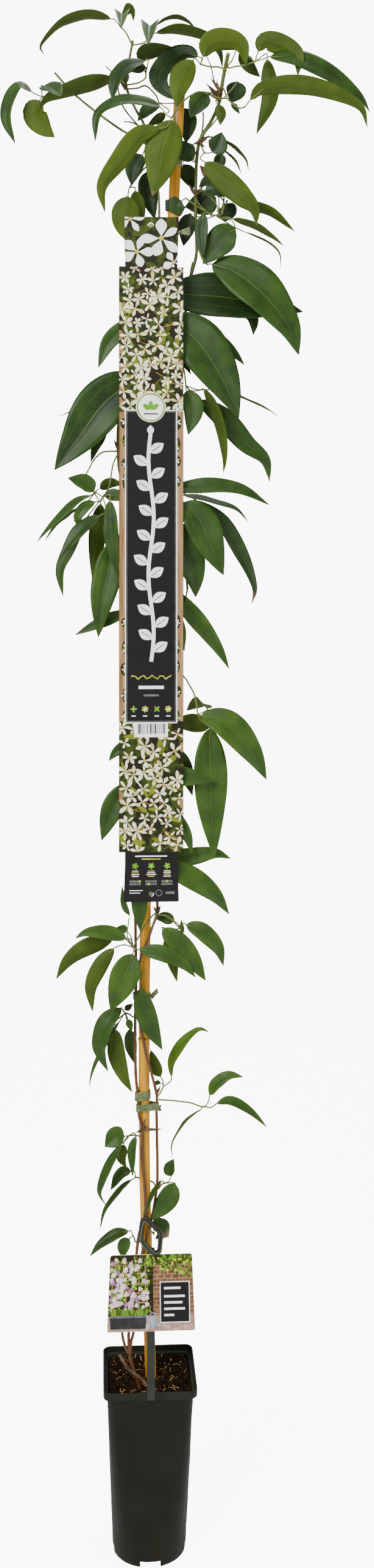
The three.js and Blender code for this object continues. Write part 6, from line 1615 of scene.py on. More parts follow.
strapRows = {
    "foot": (-57.2, 217.5), "head": (-12, 355), "top": 366,
    "wide": 9.5,
    "middle": 0.4,                  # mm to the right
    "lean": 0.009,                  # sideways for every mm above the rim
    "edge": 0.3,                    # softened along both sides
    "half": 0.76,                   # half thickness along its depth
    # the clip over the pot's rim, from its outside to its back: depth, height
    "clip": [(-58, 207), (-56.4, 207), (-56.4, 215.4), (-53.9, 215.4), (-53.9, 209), (-52.3, 209),
             (-52.3, 217.1), (-56.4, 217.1)],
    "clipTop": (-58, 217.9),
    "colors": ((0.0040, 0.0052, 0.0026), (0.0080, 0.0100, 0.0050), (0.0170, 0.0200, 0.0105)),
}


def strapY(z):
    (y0, z0), (y1, z1) = strapRows["foot"], strapRows["head"]
    return y0 + (y1 - y0) * (z - z0) / (z1 - z0)


def stepsBetween(a, b, steps=12):
    return [tuple(p + (q - p) * k / steps for p, q in zip(a, b)) for k in range(steps + 1)]


def makeStrap():
    # the strap's side profile drawn once and carried across its width with softened edges
    top, clip, half, edge = (strapRows[k] for k in ("top", "clip", "half", "edge"))
    side = [*clip[:-1], *stepsBetween(clip[-1], (strapY(top) + half, top - 0.25)),
            *stepsBetween((strapY(top) - half, top + 0.25), strapRows["clipTop"])]
    verts, faces = [], []
    count = len(side)
    wide = strapRows["wide"] / 2
    columns = [(-wide, edge), (edge - wide, 0), (0, 0), (wide - edge, 0), (wide, edge)]
    for x, pinch in columns:
        for i, (y, z) in enumerate(side):
            before, after = side[i - 1], side[(i + 1) % count]
            ny, nz = after[1] - before[1], before[0] - after[0]
            size = math.hypot(ny, nz) or 1
            lean = (max(z, 218) - 218) * strapRows["lean"]
            verts.append(vec((strapRows["middle"] + lean + x, y - ny / size * pinch,
                              z - nz / size * pinch)))
    last = (len(columns) - 1) * count
    for a in range(0, last, count):
        for k in range(count):
            m = (k + 1) % count
            faces.append((a + k, a + count + k, a + count + m, a + m))
    faces.append(tuple(range(count)))
    faces.append(tuple(reversed(range(last, last + count))))
    plastic = grainyMaterial("strapPlastic", strapRows["colors"], 0.5, 1000, 60, 0.35, (1, 1, 0.5))
    strap = makeObject("cardStrap", verts, faces, [plastic], smooth=False)
    faceOutward(strap)
    strap.select_set(False)
    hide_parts("strap")


ringRows = {
    "corners": [(-9.5, 385), (-9.3, 371), (-2, 362), (8, 355.5), (12.5, 358), (13.5, 368),
                (13.5, 380), (6, 388), (-2, 396.5), (-7.5, 396)],
    "front": -15.2, "lean": 0.025,  # its depth at its foot, and per mm above it
    "bundle": 2.15,
    "strand": 1.12,
    "sides": 8,
    "tones": (0.15, 0.8, 0.35, 0.95, 0.25, 0.6, 0.0),   # one for each strand
    "perCorner": 7,
    "round": 0.45,                  # 0 round corners, 1 straight sides
}


def ringMaterial():
    mat, tree, shader = newMaterial("ringTie", 0.5, Specular_IOR_Level=0.3)
    fine, broad = addGrain(tree, 900, 90)
    level = plus(tree, times(tree, attributeOut(tree, "strandTone"), 0.75),
                 times(tree, broad, 0.3))
    color = rampNode(tree, level, list(zip((0.15, 0.55, 0.9), tieLook["ring"])))
    tree.links.new(color, shader.inputs["Base Color"])
    addBump(tree, shader, fine, 0.3, 0.0003)
    return mat


def ringLine():
    corners = [seen((x, ringRows["front"] - (z - 355) * ringRows["lean"], z))
               for x, z in ringRows["corners"]]
    loop = [corners[-1], *corners, corners[0], corners[1]]
    line = []
    for i in range(len(corners)):
        for k in range(ringRows["perCorner"]):
            t = k / ringRows["perCorner"]
            line.append(catmull(*loop[i:i + 4], t).lerp(loop[i + 1].lerp(loop[i + 2], t),
                                                        ringRows["round"]))
    return line


def makeRing():
    # a closed bundle of soft ties lying side by side, slightly twisted
    line = ringLine()
    alongs = loopTangents(line)
    verts, faces = [], []
    count, sides, tones = len(line), ringRows["sides"], ringRows["tones"]
    outer = len(tones) - 1
    for s in range(len(tones)):
        reach = 0 if s == outer else ringRows["bundle"]
        run = []
        for i, (at, along) in enumerate(zip(line, alongs)):
            top = squareTo(vec((0, 1, 0)), along)
            a = 2 * math.pi * s / outer + 2 * math.pi * i / count
            run.append(at + top * (reach * math.cos(a))
                       + along.cross(top) * (reach * math.sin(a)))
        tubeInto(verts, faces, run, ringRows["strand"], sides, closed=True, up=vec((0, 1, 0)))
    ring = makeObject("tieRing", verts, faces, [ringMaterial()])
    setValues(ring.data, "strandTone", [tones[i // (sides * count) % len(tones)]
                                        for i in range(len(verts))])
    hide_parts("ring")


makeStrap()
makeRing()
print("strap and ring ready")


# printed shapes are thin plates laid over the face of the board or the card
def clipTo(outline, window):
    # keeps the part of an outline inside a convex, counter-clockwise window
    kept = list(outline)
    for (ax, az), (bx, bz) in zip(window, window[1:] + window[:1]):
        source, kept = kept, []
        for i, (px, pz) in enumerate(source):
            qx, qz = source[(i + 1) % len(source)]
            p = (bx - ax) * (pz - az) - (bz - az) * (px - ax)
            q = (bx - ax) * (qz - az) - (bz - az) * (qx - ax)
            if p >= 0:
                kept.append((px, pz))
            if (p > 0 > q) or (p < 0 < q):
                t = p / (p - q)
                kept.append((px + (qx - px) * t, pz + (qz - pz) * t))
        if len(kept) < 3:
            return []
    near, tidy = 0.02, []
    for p in kept:
        if not tidy or math.dist(p, tidy[-1]) > near:
            tidy.append(p)
    if len(tidy) > 2 and math.dist(tidy[0], tidy[-1]) <= near:
        tidy.pop()
    return tidy if len(tidy) > 2 else []


def outlineArea(outline):
    pairs = zip(outline, outline[1:] + outline[:1])
    return sum(x0 * z1 - x1 * z0 for (x0, z0), (x1, z1) in pairs) / 2


def wedgesRound(x, z, r, sides=12, far=400):
    # convex windows that together cover everything outside a round hole
    wedges = []
    for k in range(sides):
        a, b = 2 * math.pi * k / sides, 2 * math.pi * (k + 1) / sides
        wedges.append([(x + size * math.cos(t), z + size * math.sin(t))
                       for size, t in ((r, a), (far, a), (far, b), (r, b))])
    return wedges


def plateFaces(first, count):
    # the front, the back and the rim of a plate whose outline is placed twice, from first on
    faces = [tuple(first + k for k in range(count)),
             tuple(first + count + k for k in reversed(range(count)))]
    for k in range(count):
        m = (k + 1) % count
        faces.append((first + k, first + count + k, first + count + m, first + m))
    return faces


class PrintSheet:
    # gathers closed thin plates, each with its material, placed by a rule of the face they lie on
    def __init__(self, place, holes=()):
        self.place = place
        self.holes = holes
        self.verts, self.faces, self.mats = [], [], []

    def add(self, outline, level, mat, window=None):
        shapes = [clipTo(outline, window) if window else list(outline)]
        for x, z, r in self.holes:
            if shapes[0] and any(math.dist(p, (x, z)) < 60 for p in shapes[0]):
                xs, zs = [p[0] for p in shapes[0]], [p[1] for p in shapes[0]]
                if min(xs) < x + r and max(xs) > x - r and min(zs) < z + r and max(zs) > z - r:
                    shapes = [clipTo(shapes[0], wedge) for wedge in wedgesRound(x, z, r + 0.15)]
                    break
        for shape in shapes:
            self.addPlate(shape, level, mat)

    def addPlate(self, shape, level, mat, low=-0.02):
        if len(shape) < 3 or abs(outlineArea(shape)) < 0.03:
            return
        if outlineArea(shape) < 0:
            shape = shape[::-1]
        self.faces += plateFaces(len(self.verts), len(shape))
        self.verts += [self.place(x, z, height) for height in (level, low) for x, z in shape]
        self.mats += [mat] * (len(shape) + 2)


def freeStep(taken, x, z, reach):
    # printed shapes that may overlap get different heights: the first one that no near shape has
    near = {k for a, b, k in taken if math.dist((a, b), (x, z)) < reach}
    k = min(k for k in range(200) if k not in near)
    taken.append((x, z, k))
    return k


def rectOutline(x0, z0, x1, z1):
    return [(x0, z0), (x1, z0), (x1, z1), (x0, z1)]


def turned(flat, x, z, angle):
    # an outline drawn round (0, 0), turned and moved
    c, s = math.cos(angle), math.sin(angle)
    return [(x + c * u - s * v, z + s * u + c * v) for u, v in flat]


def ovalOutline(x, z, rx, rz, sides=20):
    return [(x + rx * math.cos(2 * math.pi * k / sides), z + rz * math.sin(2 * math.pi * k / sides))
            for k in range(sides)]


def petalOutline(x, z, angle, reach, wide, tip=0.62, start=0.08, steps=0):
    # a rounded petal or leaf from a middle outwards; with steps it is drawn finer
    rows = [(start, 0.10), (0.3, 0.55), (tip - 0.1, 0.95), (tip + 0.1, 0.97), (0.88, 0.66),
            (1.0, 0.12)]
    if steps:
        bend = math.log(0.5) / math.log(tip)
        rows = []
        for k in range(steps + 1):
            swell = max(0.05, math.sin(math.pi * (k / steps) ** bend) ** 0.85)
            rows.append((start + (1 - start) * k / steps, swell))
    side = [(reach * u, wide / 2 * v) for u, v in rows]
    return turned([(u, -v) for u, v in side] + side[::-1], x, z, angle)


def strokeOutline(points, width):
    # a ribbon along a line, its two ends square
    left, right = [], []
    for i, (x, z) in enumerate(points):
        x0, z0 = points[max(i - 1, 0)]
        x1, z1 = points[min(i + 1, len(points) - 1)]
        size = math.dist((x0, z0), (x1, z1)) or 1
        nx, nz = -(z1 - z0) / size * width / 2, (x1 - x0) / size * width / 2
        left.append((x + nx, z + nz))
        right.append((x - nx, z - nz))
    return right + left[::-1]


def roundedOutline(corners, r):
    # straight-sided outline with every outward corner rounded
    out = []
    count = len(corners)
    for i, (x, z) in enumerate(corners):
        p, q = vec(corners[i - 1]), vec(corners[(i + 1) % count])
        at = vec((x, z))
        a, b = (p - at).normalized(), (q - at).normalized()
        turn = (at - p).x * (q - at).y - (at - p).y * (q - at).x
        if turn <= 0:
            out.append((x, z))
            continue
        for k in range(5):
            t = k / 4
            spot = (at + a * r) * (1 - t) ** 2 + at * 2 * t * (1 - t) + (at + b * r) * t * t
            out.append((spot.x, spot.y))
    return out


petalStep = 0.0011                  # mm between neighbouring petals
blossomStep = 0.0068                # mm between blossoms that may overlap


def addBlossom(sheet, x, z, reach, petals, turn, rng, level, mats, window, steps=0):
    white, shade, core = mats
    wide = reach * (0.5 if steps else 0.4)
    for k in range(petals):
        a = turn + 2 * math.pi * k / petals + rng.uniform(-0.2, 0.2)
        size = reach * rng.uniform(0.8, 1.1)
        sheet.add(petalOutline(x, z, a, size, wide * rng.uniform(0.7, 1.15), steps=steps),
                  level + petalStep * k, white if rng.random() < 0.78 else shade, window)
    sheet.add(ovalOutline(x, z, reach * 0.11, reach * 0.11, 10), level + 0.0054, core, window)


def addRosette(sheet, x, z, petals, turn, reach, wide, core, level, mats):
    for k in range(petals):
        sheet.add(petalOutline(x, z, 2 * math.pi * k / petals + turn, reach, wide, 0.55),
                  level + 0.002 * k, mats[0])
    sheet.add(ovalOutline(x, z, core, core, 10), level + 0.015, mats[1])


printInk = {
    "white": (0.95, 0.94, 0.90),
    "petal": (0.92, 0.88, 0.60),
    "cream": (0.62, 0.54, 0.27),
    "core": (0.62, 0.42, 0.035),
    "midGreen": (0.040, 0.060, 0.0035),
    "leafGreen": (0.150, 0.190, 0.0120),
    "lime": (0.46, 0.55, 0.015),
    "signGreen": (0.110, 0.330, 0.010),
    "ochre": (0.38, 0.17, 0.020),
    "charcoal": (0.0085, 0.0068, 0.0068),
    "grey": (0.13, 0.13, 0.13),
    "edge": (0.30, 0.13, 0.14),
}

printLook = {
    "even": ("white", "petal", "charcoal"),     # inks that hardly vary
    "vary": 0.25, "varyEven": 0.05,
    "roughness": 0.38,
    "paintedGlow": 0.22,                   # painted light: white ink glows with light of its own to look brighter
    "darkGreen": (0.0080, 0.0125, 0.0016),
    "deepBrown": (0.014, 0.0070, 0.0018),
    "plank": ((0.17, 0.085, 0.032), (0.32, 0.175, 0.075), (0.45, 0.27, 0.125)),
}


def inkMaterial(name, color, vary=printLook["vary"]):
    # a printed colour under a thin clear film, a little uneven
    mat, tree, shader = newMaterial(name, printLook["roughness"], Specular_IOR_Level=0.25)
    # painted light: the whitest inks emit a glow, though they are no lamp
    if min(color) > 0.7:
        shader.inputs["Emission Color"].default_value = (*color, 1)
        shader.inputs["Emission Strength"].default_value = printLook["paintedGlow"]
    fine, broad = addGrain(tree, 1300, 90)
    low = tuple(c * (1 - vary) for c in color)
    high = tuple(min(1, c * (1 + vary) + 0.01 * vary) for c in color)
    tree.links.new(rampNode(tree, broad, [(0.36, low), (0.5, color), (0.64, high)]),
                   shader.inputs["Base Color"])
    addBump(tree, shader, fine, 0.06, 0.0002)
    return mat


def blurredInk(name, grain, shares, stops):
    # a pattern of two grains, without a bump
    mat, tree, shader = newMaterial(name, 0.42, Specular_IOR_Level=0.25)
    first, second = addGrain(tree, *grain)
    mixed = plus(tree, times(tree, first, shares[0]), times(tree, second, shares[1]))
    tree.links.new(rampNode(tree, mixed, stops), shader.inputs["Base Color"])
    return mat


inks = {name: inkMaterial("ink" + name[0].upper() + name[1:], color,
                          printLook["varyEven" if name in printLook["even"] else "vary"])
        for name, color in printInk.items()}
# blurred dark leaves behind the printed blossoms, and printed planks
inks["foliage"] = blurredInk("inkFoliage", (160, 52), (0.45, 0.55), [
    (0.42, printLook["deepBrown"]), (0.50, printLook["darkGreen"]), (0.60, printInk["midGreen"]),
    (0.72, printInk["leafGreen"])])
inks["plank"] = blurredInk("inkPlank", (420, 90, (1, 1, 0.05)), (0.5, 0.5),
                           list(zip((0.36, 0.5, 0.64), printLook["plank"])))


def inkSlots(names):
    return {name: k for k, name in enumerate(names)}, [inks[name] for name in names]


def finishPrinted(name, verts, holes, sheet, slotsList, looks, node):
    # the plate under the print, then both joined; looks are its edge, front and back
    edge, base, back = looks
    body = makeObject(name + "Body", verts, plateFaces(0, len(verts) // 2), slotsList, smooth=False)
    for at, radius in holes:
        cutBy(body, cylinderCutter(radius, 6, at, 24, (math.radians(90), 0, 0)))
    for polygon in body.data.polygons:
        facing = polygon.normal.y
        polygon.material_index = base if facing < -0.5 else back if facing > 0.5 else edge
    prints = makeObject(name, sheet.verts, sheet.faces, slotsList, smooth=False)
    prints.data.polygons.foreach_set("material_index", sheet.mats)
    selectOnly(prints)
    body.select_set(True)
    bpy.ops.object.join()
    bpy.ops.object.select_all(action="DESELECT")
    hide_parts(node)


boardRows = {
    "front": -34.5, "back": -33.5,
    "left": -37, "right": 42, "low": 846, "high": 1562,
    "panel": (-29.6, 1003.6, 34.4, 1387),
    "planks": (1006, 1384),
    "badge": (2, 1390, 18.2),
    "bars": (-18.5, 986.5, 23, 1003.6),
    "holes": [(2, 1612.6), (2.2, 795)],
    "holeRadius": 3.5,
    "corner": 1.4,
    "stem": {"x": 2.4, "low": 1079, "high": 1357, "sway": 3.2, "wave": 22.5, "leafEvery": 15.2},
    # heights of the printed layers over the board's face, mm
    "levels": {"leaf": 0.03, "tab": 0.05, "tabMark": 0.07, "topBlossom": 0.095, "twig": 0.1,
               "knot": 0.136, "blossom": 0.138, "plank": 0.220, "plankLeaf": 0.222,
               "plankBlossom": 0.228, "frame": 0.242, "mark": 0.270, "vein": 0.285,
               "badge": 0.290, "badgeMark": 0.320},
}


def swayX(z):
    stem = boardRows["stem"]
    return stem["x"] + stem["sway"] * math.sin((z - stem["low"]) / stem["wave"])


def printStem(sheet, ink):
    # a plain climbing stem with broad leaves up the dark panel
    level = boardRows["levels"]["mark"]
    low, high = boardRows["stem"]["low"], boardRows["stem"]["high"]
    heights = [low + (high - low) * k / 60 for k in range(61)]
    sheet.add(strokeOutline([(swayX(z), z) for z in heights], 4.6), level, ink["white"])
    z, side = low + 12, 1
    while z < high - 8:
        x = swayX(z)
        angle = math.radians(34 if side > 0 else 146)
        sheet.add(petalOutline(x + side * 1.2, z, angle, 20.5, 12.5, 0.5, 0.02, 16),
                  level + 0.005, ink["white"])
        sheet.add(strokeOutline([(x + side * 4.0, z + 2.0), (x + side * 14.5, z + 9.1)], 0.9),
                  boardRows["levels"]["vein"], ink["charcoal"])
        z += boardRows["stem"]["leafEvery"]
        side = -side
    sheet.add(petalOutline(swayX(high), high - 1, math.radians(90), 12, 8.5, 0.5, 0.02, 14),
              level + 0.010, ink["white"])


def printPlanks(sheet, ink, rng, window):
    # planks beside the panel with growth over their inner edges, and knots along the border
    levels, panel = boardRows["levels"], boardRows["panel"]
    left, right, (z0, z1) = boardRows["left"], boardRows["right"], boardRows["planks"]
    mats = (ink["petal"], ink["leafGreen"], ink["core"])
    for x0, x1, inner in ((left + 0.45, panel[0] + 0.5, panel[0] + 0.5),
                          (panel[2] - 0.5, right - 0.45, panel[2] - 0.5)):
        edge = rectOutline(x0, z0, x1, z1)
        sheet.add(edge, levels["plank"], ink["plank"])
        for number, z in enumerate((1012, 1040, 1071, 1098, 1128, 1300, 1322, 1346, 1371)):
            z += rng.uniform(-3, 3)
            sheet.add(ovalOutline(inner, z, rng.uniform(3.5, 6), rng.uniform(6, 10), 14),
                      levels["plankLeaf"] + 0.001 * (number % 3), ink["foliage"], edge)
            addBlossom(sheet, inner, z + rng.uniform(-3, 3), rng.uniform(4.5, 6.5), 5,
                       rng.uniform(0, 6.28), rng,
                       levels["plankBlossom"] + blossomStep * (number % 2), mats, edge)
    for x, heights in ((left, (1508, 1478, 1461, 1436, 1412, 1396)), (right, (1514, 1440, 1398)),
                       (left, (915,)), (right, (974, 905))):
        for z in heights:
            sheet.add(ovalOutline(x, z, 5.5, 6.5, 16), levels["knot"], ink["plank"], window)


def printField(sheet, ink, rng, area, window, leaves):
    # leaves, thin stems, then blossoms over one printed field
    levels = boardRows["levels"]
    x0, z0, x1, z1 = area
    for number in range(leaves):
        x, z = rng.uniform(x0, x1), rng.uniform(z0, z1)
        leaf = petalOutline(x, z, rng.uniform(0, 6.28), rng.uniform(13, 26),
                            rng.uniform(4, 7.5), 0.42)
        tint = rng.choice(("midGreen", "leafGreen", "midGreen"))
        sheet.add(leaf, levels["leaf"] + 0.001 * number, ink[tint], window)
    for number in range(26):
        x, z, a = rng.uniform(x0, x1), rng.uniform(z0, z1), rng.uniform(-0.9, 0.9)
        bend = rng.uniform(-0.012, 0.012)
        run = [(x + t * math.cos(a), z + t * math.sin(a) + bend * t * t) for t in range(0, 28, 4)]
        sheet.add(strokeOutline(run, rng.uniform(0.5, 1.0)), levels["twig"] + 0.001 * number,
                  ink["ochre"], window)
    spots, taken = [], []
    for _ in range(900):
        x, z = rng.uniform(x0 + 1, x1 - 1), rng.uniform(z0 + 1, z1 - 1)
        if all(math.dist((x, z), s) > 11.5 for s in spots):
            spots.append((x, z))
    for x, z in spots:
        if rng.random() >= 0.06:
            level = levels["blossom"] + blossomStep * min(13, freeStep(taken, x, z, 26))
            addBlossom(sheet, x, z, rng.uniform(7.2, 12.0), rng.choice((4, 5, 5, 6)),
                       rng.uniform(0, 6.28), rng, level,
                       (ink["petal"], ink["cream"], ink["core"]), window)


def printTopTab(sheet, ink, rng):
    # large blossoms on deep green
    levels, high = boardRows["levels"], boardRows["high"]
    window = [(-29.0, high - 0.1), (34.3, high - 0.1), (34.6, 1575), (36.2, 1622.5),
              (-30.8, 1622.5), (-29.2, 1575)]
    for number, (x, z, a) in enumerate(((-24, 1600, 0.4), (22, 1571, 2.4), (-6, 1569, -0.7),
                                        (31, 1603, 1.8), (-26, 1570, 1.3))):
        sheet.add(petalOutline(x, z, a, 30, 12, 0.45, steps=12),
                  levels["tabMark"] + 0.002 * number, ink["midGreen"], window)
    for x, z, r, turn in ((15, 1597, 26, 0.5), (-15, 1580, 22, 1.1), (-23, 1620, 17, 0.2),
                          (30, 1568, 17, 0.9)):
        addBlossom(sheet, x, z, r, 5, turn, rng, levels["topBlossom"] + r / 500,
                   (ink["white"], ink["white"], ink["core"]), window, steps=12)


def printPanel(sheet, ink):
    # the dark panel in its double frame, its stem, plain marks and small rosettes
    levels = boardRows["levels"]
    x0, z0, x1, z1 = boardRows["panel"]
    for number, (inset, tint) in enumerate(((0, "white"), (1.3, "charcoal"), (2.0, "grey"),
                                            (2.9, "charcoal"))):
        sheet.add(rectOutline(x0 + inset, z0 + inset, x1 - inset, z1 - inset),
                  levels["frame"] + 0.006 * number, ink[tint])
    printStem(sheet, ink)
    level = levels["mark"]
    wave = [(k - 22, 1060 + 1.8 * math.sin(k * 0.55) + 0.6 * math.sin(k * 1.3)) for k in range(50)]
    sheet.add(strokeOutline(wave, 1.3), level, ink["lime"])
    sheet.add(rectOutline(-13, 1045.5, 18, 1049.5), level, ink["white"])
    sheet.add(rectOutline(-7, 1036.5, 12, 1039), level, ink["grey"])
    for k, x in enumerate((-19, -5, 9.4, 23.4)):
        petals, mats = (6, ("lime", "white")) if k % 2 else (4, ("signGreen", "lime"))
        addRosette(sheet, x, 1021, petals, 0.4 * k, 4.3, 2.6, 1.3, level, [ink[m] for m in mats])
        sheet.add(rectOutline(x - 2.6, 1011.8, x + 2.6, 1013.2), level, ink["white"])


def printBadge(sheet, ink):
    # a round badge over the panel's head
    x, z, r = boardRows["badge"]
    level, mark = boardRows["levels"]["badge"], boardRows["levels"]["badgeMark"]
    for number, (inset, tint) in enumerate(((0, "white"), (0.9, "signGreen"), (2.6, "white"))):
        sheet.add(ovalOutline(x, z, r - inset, r - inset, 44), level + 0.01 * number, ink[tint])
    for a in (40, 90, 140):
        sheet.add(petalOutline(x, z - 4, math.radians(a), 12, 6, 0.5), mark + a / 10000,
                  ink["signGreen"])
    sheet.add(strokeOutline([(x - 8.5, z - 8), (x + 8.5, z - 8)], 1.5), mark, ink["charcoal"])


def printBars(sheet, ink, rng):
    # a plain striped box under the panel
    level = boardRows["levels"]["frame"]
    x0, z0, x1, z1 = boardRows["bars"]
    sheet.add(rectOutline(x0, z0, x1, z1), level, ink["white"])
    x = x0 + 5
    while x < x1 - 4:
        wide = rng.choice((0.4, 0.7, 1.0, 1.5))
        sheet.add(rectOutline(x, z0 + 4.2, x + wide, z1 - 0.6), level + 0.01, ink["charcoal"])
        x += wide + rng.choice((0.5, 0.8, 1.1))


def printLowTab(sheet, ink, rng):
    # charcoal with small plain marks
    low, level = boardRows["low"] - 0.2, boardRows["levels"]["tabMark"]
    sheet.add([(-31.0, 785.3), (36.2, 785.3), (34.8, 832), (34.4, low), (-29.4, low),
               (-29.4, 832)], boardRows["levels"]["tab"], ink["charcoal"])

    def mark(x0, z0, x1, z1, tint):
        sheet.add(rectOutline(x0, z0, x1, z1), level, ink[tint])

    mark(-17, 840.2, 22, 841.8, "white")
    mark(-9, 836.8, 14, 838.2, "lime")
    for k, x in enumerate((-17, 2.5, 22)):
        addRosette(sheet, x, 829, 5, k, 4.2, 2.9, 1.2, level, (ink["signGreen"], ink["lime"]))
        for row in range(4):
            half, z = rng.uniform(3.4, 6.2), 822.4 - 2.2 * row
            mark(x - half, z, x + half, z + 1.0, "lime" if (row + k) % 3 == 1 else "white")
        for row in range(2):
            for column in range(5):
                left, z = x - 6.9 + 2.8 * column, 809 - 3.4 * row
                lit = (row * 5 + column * (k + 2)) % 7 == 1
                mark(left, z, left + 2.4, z + 2.6, "lime" if lit else "grey")
    mark(-24, 798.6, -8, 799.6, "white")
    mark(-24, 795.6, -11, 796.6, "white")
    sheet.add(ovalOutline(12, 796, 4.2, 4.2), level, ink["grey"])
    sheet.add(ovalOutline(12, 796, 3.0, 3.0), level + 0.01, ink["charcoal"])
    mark(20, 794.6, 31, 797.6, "grey")


def makeBoard():
    rng = random.Random(42)
    front, back, radius = boardRows["front"], boardRows["back"], boardRows["holeRadius"]
    left, right, low, high = (boardRows[k] for k in ("left", "right", "low", "high"))
    ink, slotsList = inkSlots(["foliage", "edge", *[n for n in printInk if n != "edge"], "plank"])

    def place(x, z, level):
        p = seen((x, front, z))
        return vec((p.x, front - level, p.z))

    sheet = PrintSheet(place, [(x, z, radius) for x, z in boardRows["holes"]])
    window = rectOutline(left + 0.45, low + 0.45, right - 0.45, high - 0.1)
    printPlanks(sheet, ink, rng, window)
    printField(sheet, ink, rng, (left, low, right, 1000), window, 60)
    printField(sheet, ink, rng, (left, 1384, right, high), window, 66)
    printTopTab(sheet, ink, rng)
    printPanel(sheet, ink)
    printBadge(sheet, ink)
    printBars(sheet, ink, rng)
    printLowTab(sheet, ink, rng)
    body = roundedOutline([(left, low), (-29.6, low), (-29.6, 832), (-31.2, 785), (36.4, 785),
                           (35, 832), (34.6, low), (right, low), (right, high), (34.7, high),
                           (35, 1575), (36.7, 1623), (-31.2, 1623), (-29.6, 1575), (-29.3, high),
                           (left, high)], boardRows["corner"])
    verts = [seen((x, y, z)) for y in (front, back) for x, z in body]
    holes = [(seen((x, front, z)), radius) for x, z in boardRows["holes"]]
    looks = [ink[k] for k in ("edge", "foliage", "white")]
    finishPrinted("printedBoard", verts, holes, sheet, slotsList, looks, "board")


makeBoard()
print("board ready")

cardRows = {
    "low": 279.5, "high": 359.7,
    "foot": (1.1, 52.8), "head": (2.0, 49.7),       # middle, half width
    "thick": 0.8,
    "before": 2.5,                  # mm in front of the strap
    "corner": 3.2,
    "brick": ((0.085, 0.036, 0.012), (0.17, 0.075, 0.028), (0.27, 0.14, 0.062)),
    "deck": ((0.28, 0.15, 0.115), (0.45, 0.29, 0.235), (0.62, 0.47, 0.40)),
    "steel": ((0.085, 0.115, 0.175), (0.19, 0.25, 0.34), (0.40, 0.46, 0.55)),
    "mauve": (0.36, 0.13, 0.36),
    "blush": (0.78, 0.55, 0.70),
    "planter": (0.026, 0.027, 0.029),
    # heights of the printed layers over the card's face, mm
    "levels": {"hedge": 0.03, "wall": 0.04, "seam": 0.05, "floor": 0.056, "trellis": 0.07,
               "climber": 0.08, "blossom": 0.165, "tuft": 0.236, "planter": 0.262,
               "can": 0.270, "panel": 0.280},
}


def printWall(sheet, ink, window):
    # back to front: a hedge, a brick wall on the right, a paved floor, a trellis on the left
    levels = cardRows["levels"]
    low, high, floorTop, wallTop, reach = cardRows["low"], cardRows["high"], 296, 350, 60

    def block(x0, z0, x1, z1, level, tint):
        sheet.add(rectOutline(x0, z0, x1, z1), level, ink[tint], window)

    block(-reach, low - 2, reach, high + 2, levels["hedge"], "foliage")
    block(4, floorTop, reach, wallTop, levels["wall"], "brick")
    for row in range(12):
        z = 297 + 4.6 * row
        block(4, z, reach, min(wallTop, z + 0.5), levels["seam"], "deck")
        x = 8 + (4.5 if row % 2 else 0)
        while x < 58 and z < 345:
            block(x, z, x + 0.5, z + 4.6, levels["seam"] + 0.003, "deck")
            x += 9
    block(-reach, low - 2, reach, floorTop, levels["floor"], "deck")
    for k in range(9):
        block(-52 + 13 * k, low, -51.4 + 13 * k, floorTop, levels["floor"] + 0.004, "brick")
    block(-reach, 288, reach, 288.5, levels["floor"] + 0.008, "brick")
    for k in range(6):
        block(-46 + 8 * k, 292, -44.4 + 8 * k, 354, levels["trellis"], "plank")
    for k in range(6):
        block(-48, 299 + 9.8 * k, -3, 300.5 + 9.8 * k, levels["trellis"] + 0.005, "plank")


def printClimber(sheet, ink, rng, window):
    # leaves over the trellis and along the head of the wall, then small blossoms
    levels, taken = cardRows["levels"], []
    for _ in range(460):
        if rng.random() < 0.6:
            x, z = rng.uniform(-52, 0), 298 + 60 * rng.random() ** 0.7
            z -= abs(x + 24) * 0.25
        else:
            x = rng.uniform(-4, 56)
            z = 357 - rng.random() ** 1.4 * (8 + 0.3 * x)
        leaf = petalOutline(x, z, rng.uniform(0, 6.28), rng.uniform(3.0, 5.4),
                            rng.uniform(1.9, 3.2), 0.5)
        tint = rng.choice(("midGreen", "leafGreen", "midGreen", "signGreen", "lime"))
        sheet.add(leaf, levels["climber"] + 0.0012 * freeStep(taken, x, z, 10.5), ink[tint],
                  window)
    taken = []
    for _ in range(105):
        x, z = rng.uniform(-49, -2), rng.uniform(301, 355)
        tint = rng.choice(("blush", "blush", "mauve", "petal"))
        size, turn = rng.uniform(2.0, 3.1), rng.uniform(0, 1.2)
        level = levels["blossom"] + blossomStep * min(9, freeStep(taken, x, z, 6.6))
        for k in range(5):
            sheet.add(petalOutline(x, z, 2 * math.pi * k / 5 + turn, size, size * 0.68, 0.6),
                      level + petalStep * k, ink[tint], window)
        sheet.add(ovalOutline(x, z, 0.5, 0.5, 7), level + 0.0056, ink["core"], window)


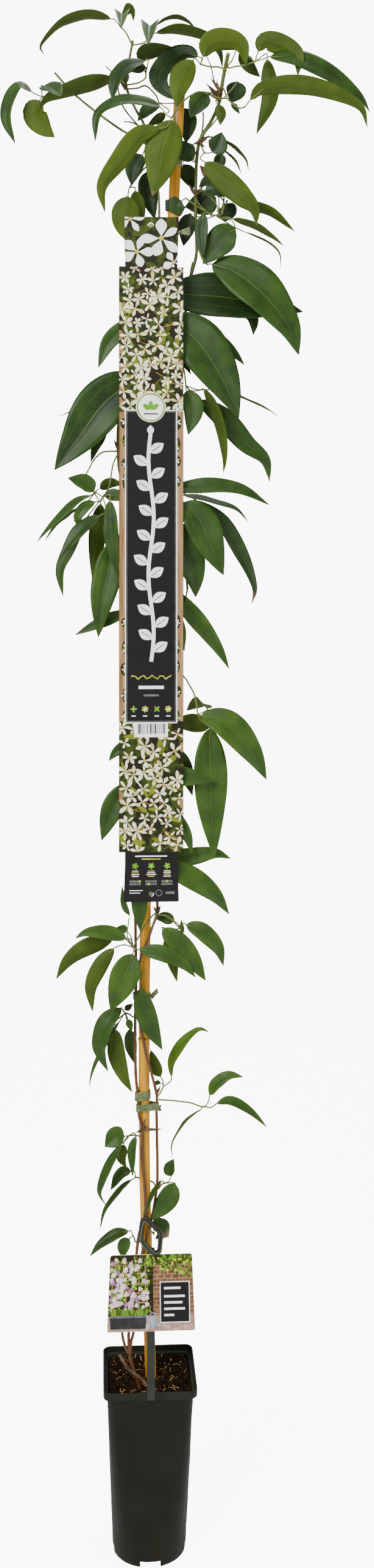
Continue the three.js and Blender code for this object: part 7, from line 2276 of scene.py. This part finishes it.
def printThings(sheet, ink, rng, window):
    # a long planter with low tufts, a watering can, and a bare framed panel on the wall
    levels = cardRows["levels"]
    for k in range(16):
        x = -46 + 2.7 * k
        for j, a in enumerate((60, 80, 100, 120)):
            leaf = petalOutline(x, 295, math.radians(a + rng.uniform(-8, 8)), rng.uniform(6, 10),
                                1.9, 0.5)
            tint = rng.choice(("leafGreen", "signGreen", "midGreen"))
            sheet.add(leaf, levels["tuft"] + petalStep * (4 * (k % 5) + j), ink[tint], window)
    level = levels["planter"]
    sheet.add([(-47.5, 282.5), (-5.5, 282.5), (-4.5, 295), (-48.5, 295)], level, ink["planter"],
              window)
    sheet.add(rectOutline(-49.2, 294, -3.8, 296.2), level + 0.004, ink["grey"], window)
    level = levels["can"]
    handle = [(3.6 + 4.4 * math.cos(t / 5), 294.5 + 4.2 * math.sin(t / 5)) for t in range(16)]
    sheet.add(strokeOutline(handle, 0.9), level, ink["steel"], window)
    sheet.add([(-1.2, 283), (8.4, 283), (7.6, 294.5), (-0.4, 294.5)], level + 0.008, ink["steel"],
              window)
    sheet.add(strokeOutline([(0, 286), (-3.4, 291), (-4.6, 297.5)], 1.3), level + 0.004,
              ink["steel"], window)
    level = levels["panel"]
    sheet.add(rectOutline(12, 288, 48, 331), level - 0.01, ink["white"], window)
    sheet.add(rectOutline(13, 289, 47, 330), level, ink["charcoal"], window)
    for z, wide in ((324, 20), (315.5, 25), (309, 22), (302.5, 25), (296, 12)):
        sheet.add(rectOutline(17, z - 1.2, 17 + wide, z + 1.2), level + 0.01, ink["white"], window)


def makeCard():
    rng = random.Random(77)
    ink, slotsList = inkSlots(["foliage", *printInk, "plank"])
    grains = {"brick": (0.4, 500, 120, 0.05), "deck": (0.4, 500, 60, 0.05, (1, 1, 4)),
              "steel": (0.35, 300, 70, 0.05, (3, 1, 0.2))}
    for name in ("brick", "deck", "steel", "mauve", "blush", "planter"):
        label, colors = "ink" + name.capitalize(), cardRows[name]
        ink[name] = len(slotsList)
        slotsList.append(grainyMaterial(label, colors, *grains[name], Specular_IOR_Level=0.25)
                         if name in grains else inkMaterial(label, colors))

    def place(x, z, level):
        return vec((x, strapY(z) - cardRows["before"] - level, z))

    sheet = PrintSheet(place)
    (m, w), (n, v) = cardRows["foot"], cardRows["head"]
    low, high = cardRows["low"], cardRows["high"]
    body = roundedOutline([(m - w, low), (m + w, low), (n + v, high), (n - v, high)],
                          cardRows["corner"])
    window = [(x + (0.35 if x < m else -0.35), z + (0.3 if z < 320 else -0.3)) for x, z in body]
    printWall(sheet, ink, window)
    printClimber(sheet, ink, rng, window)
    printThings(sheet, ink, rng, window)
    verts = [place(x, z, level) for level in (0.0, -cardRows["thick"]) for x, z in body]
    looks = [ink[k] for k in ("white", "cream", "white")]
    finishPrinted("printedCard", verts, [], sheet, slotsList, looks, "card")


makeCard()
print("card ready")
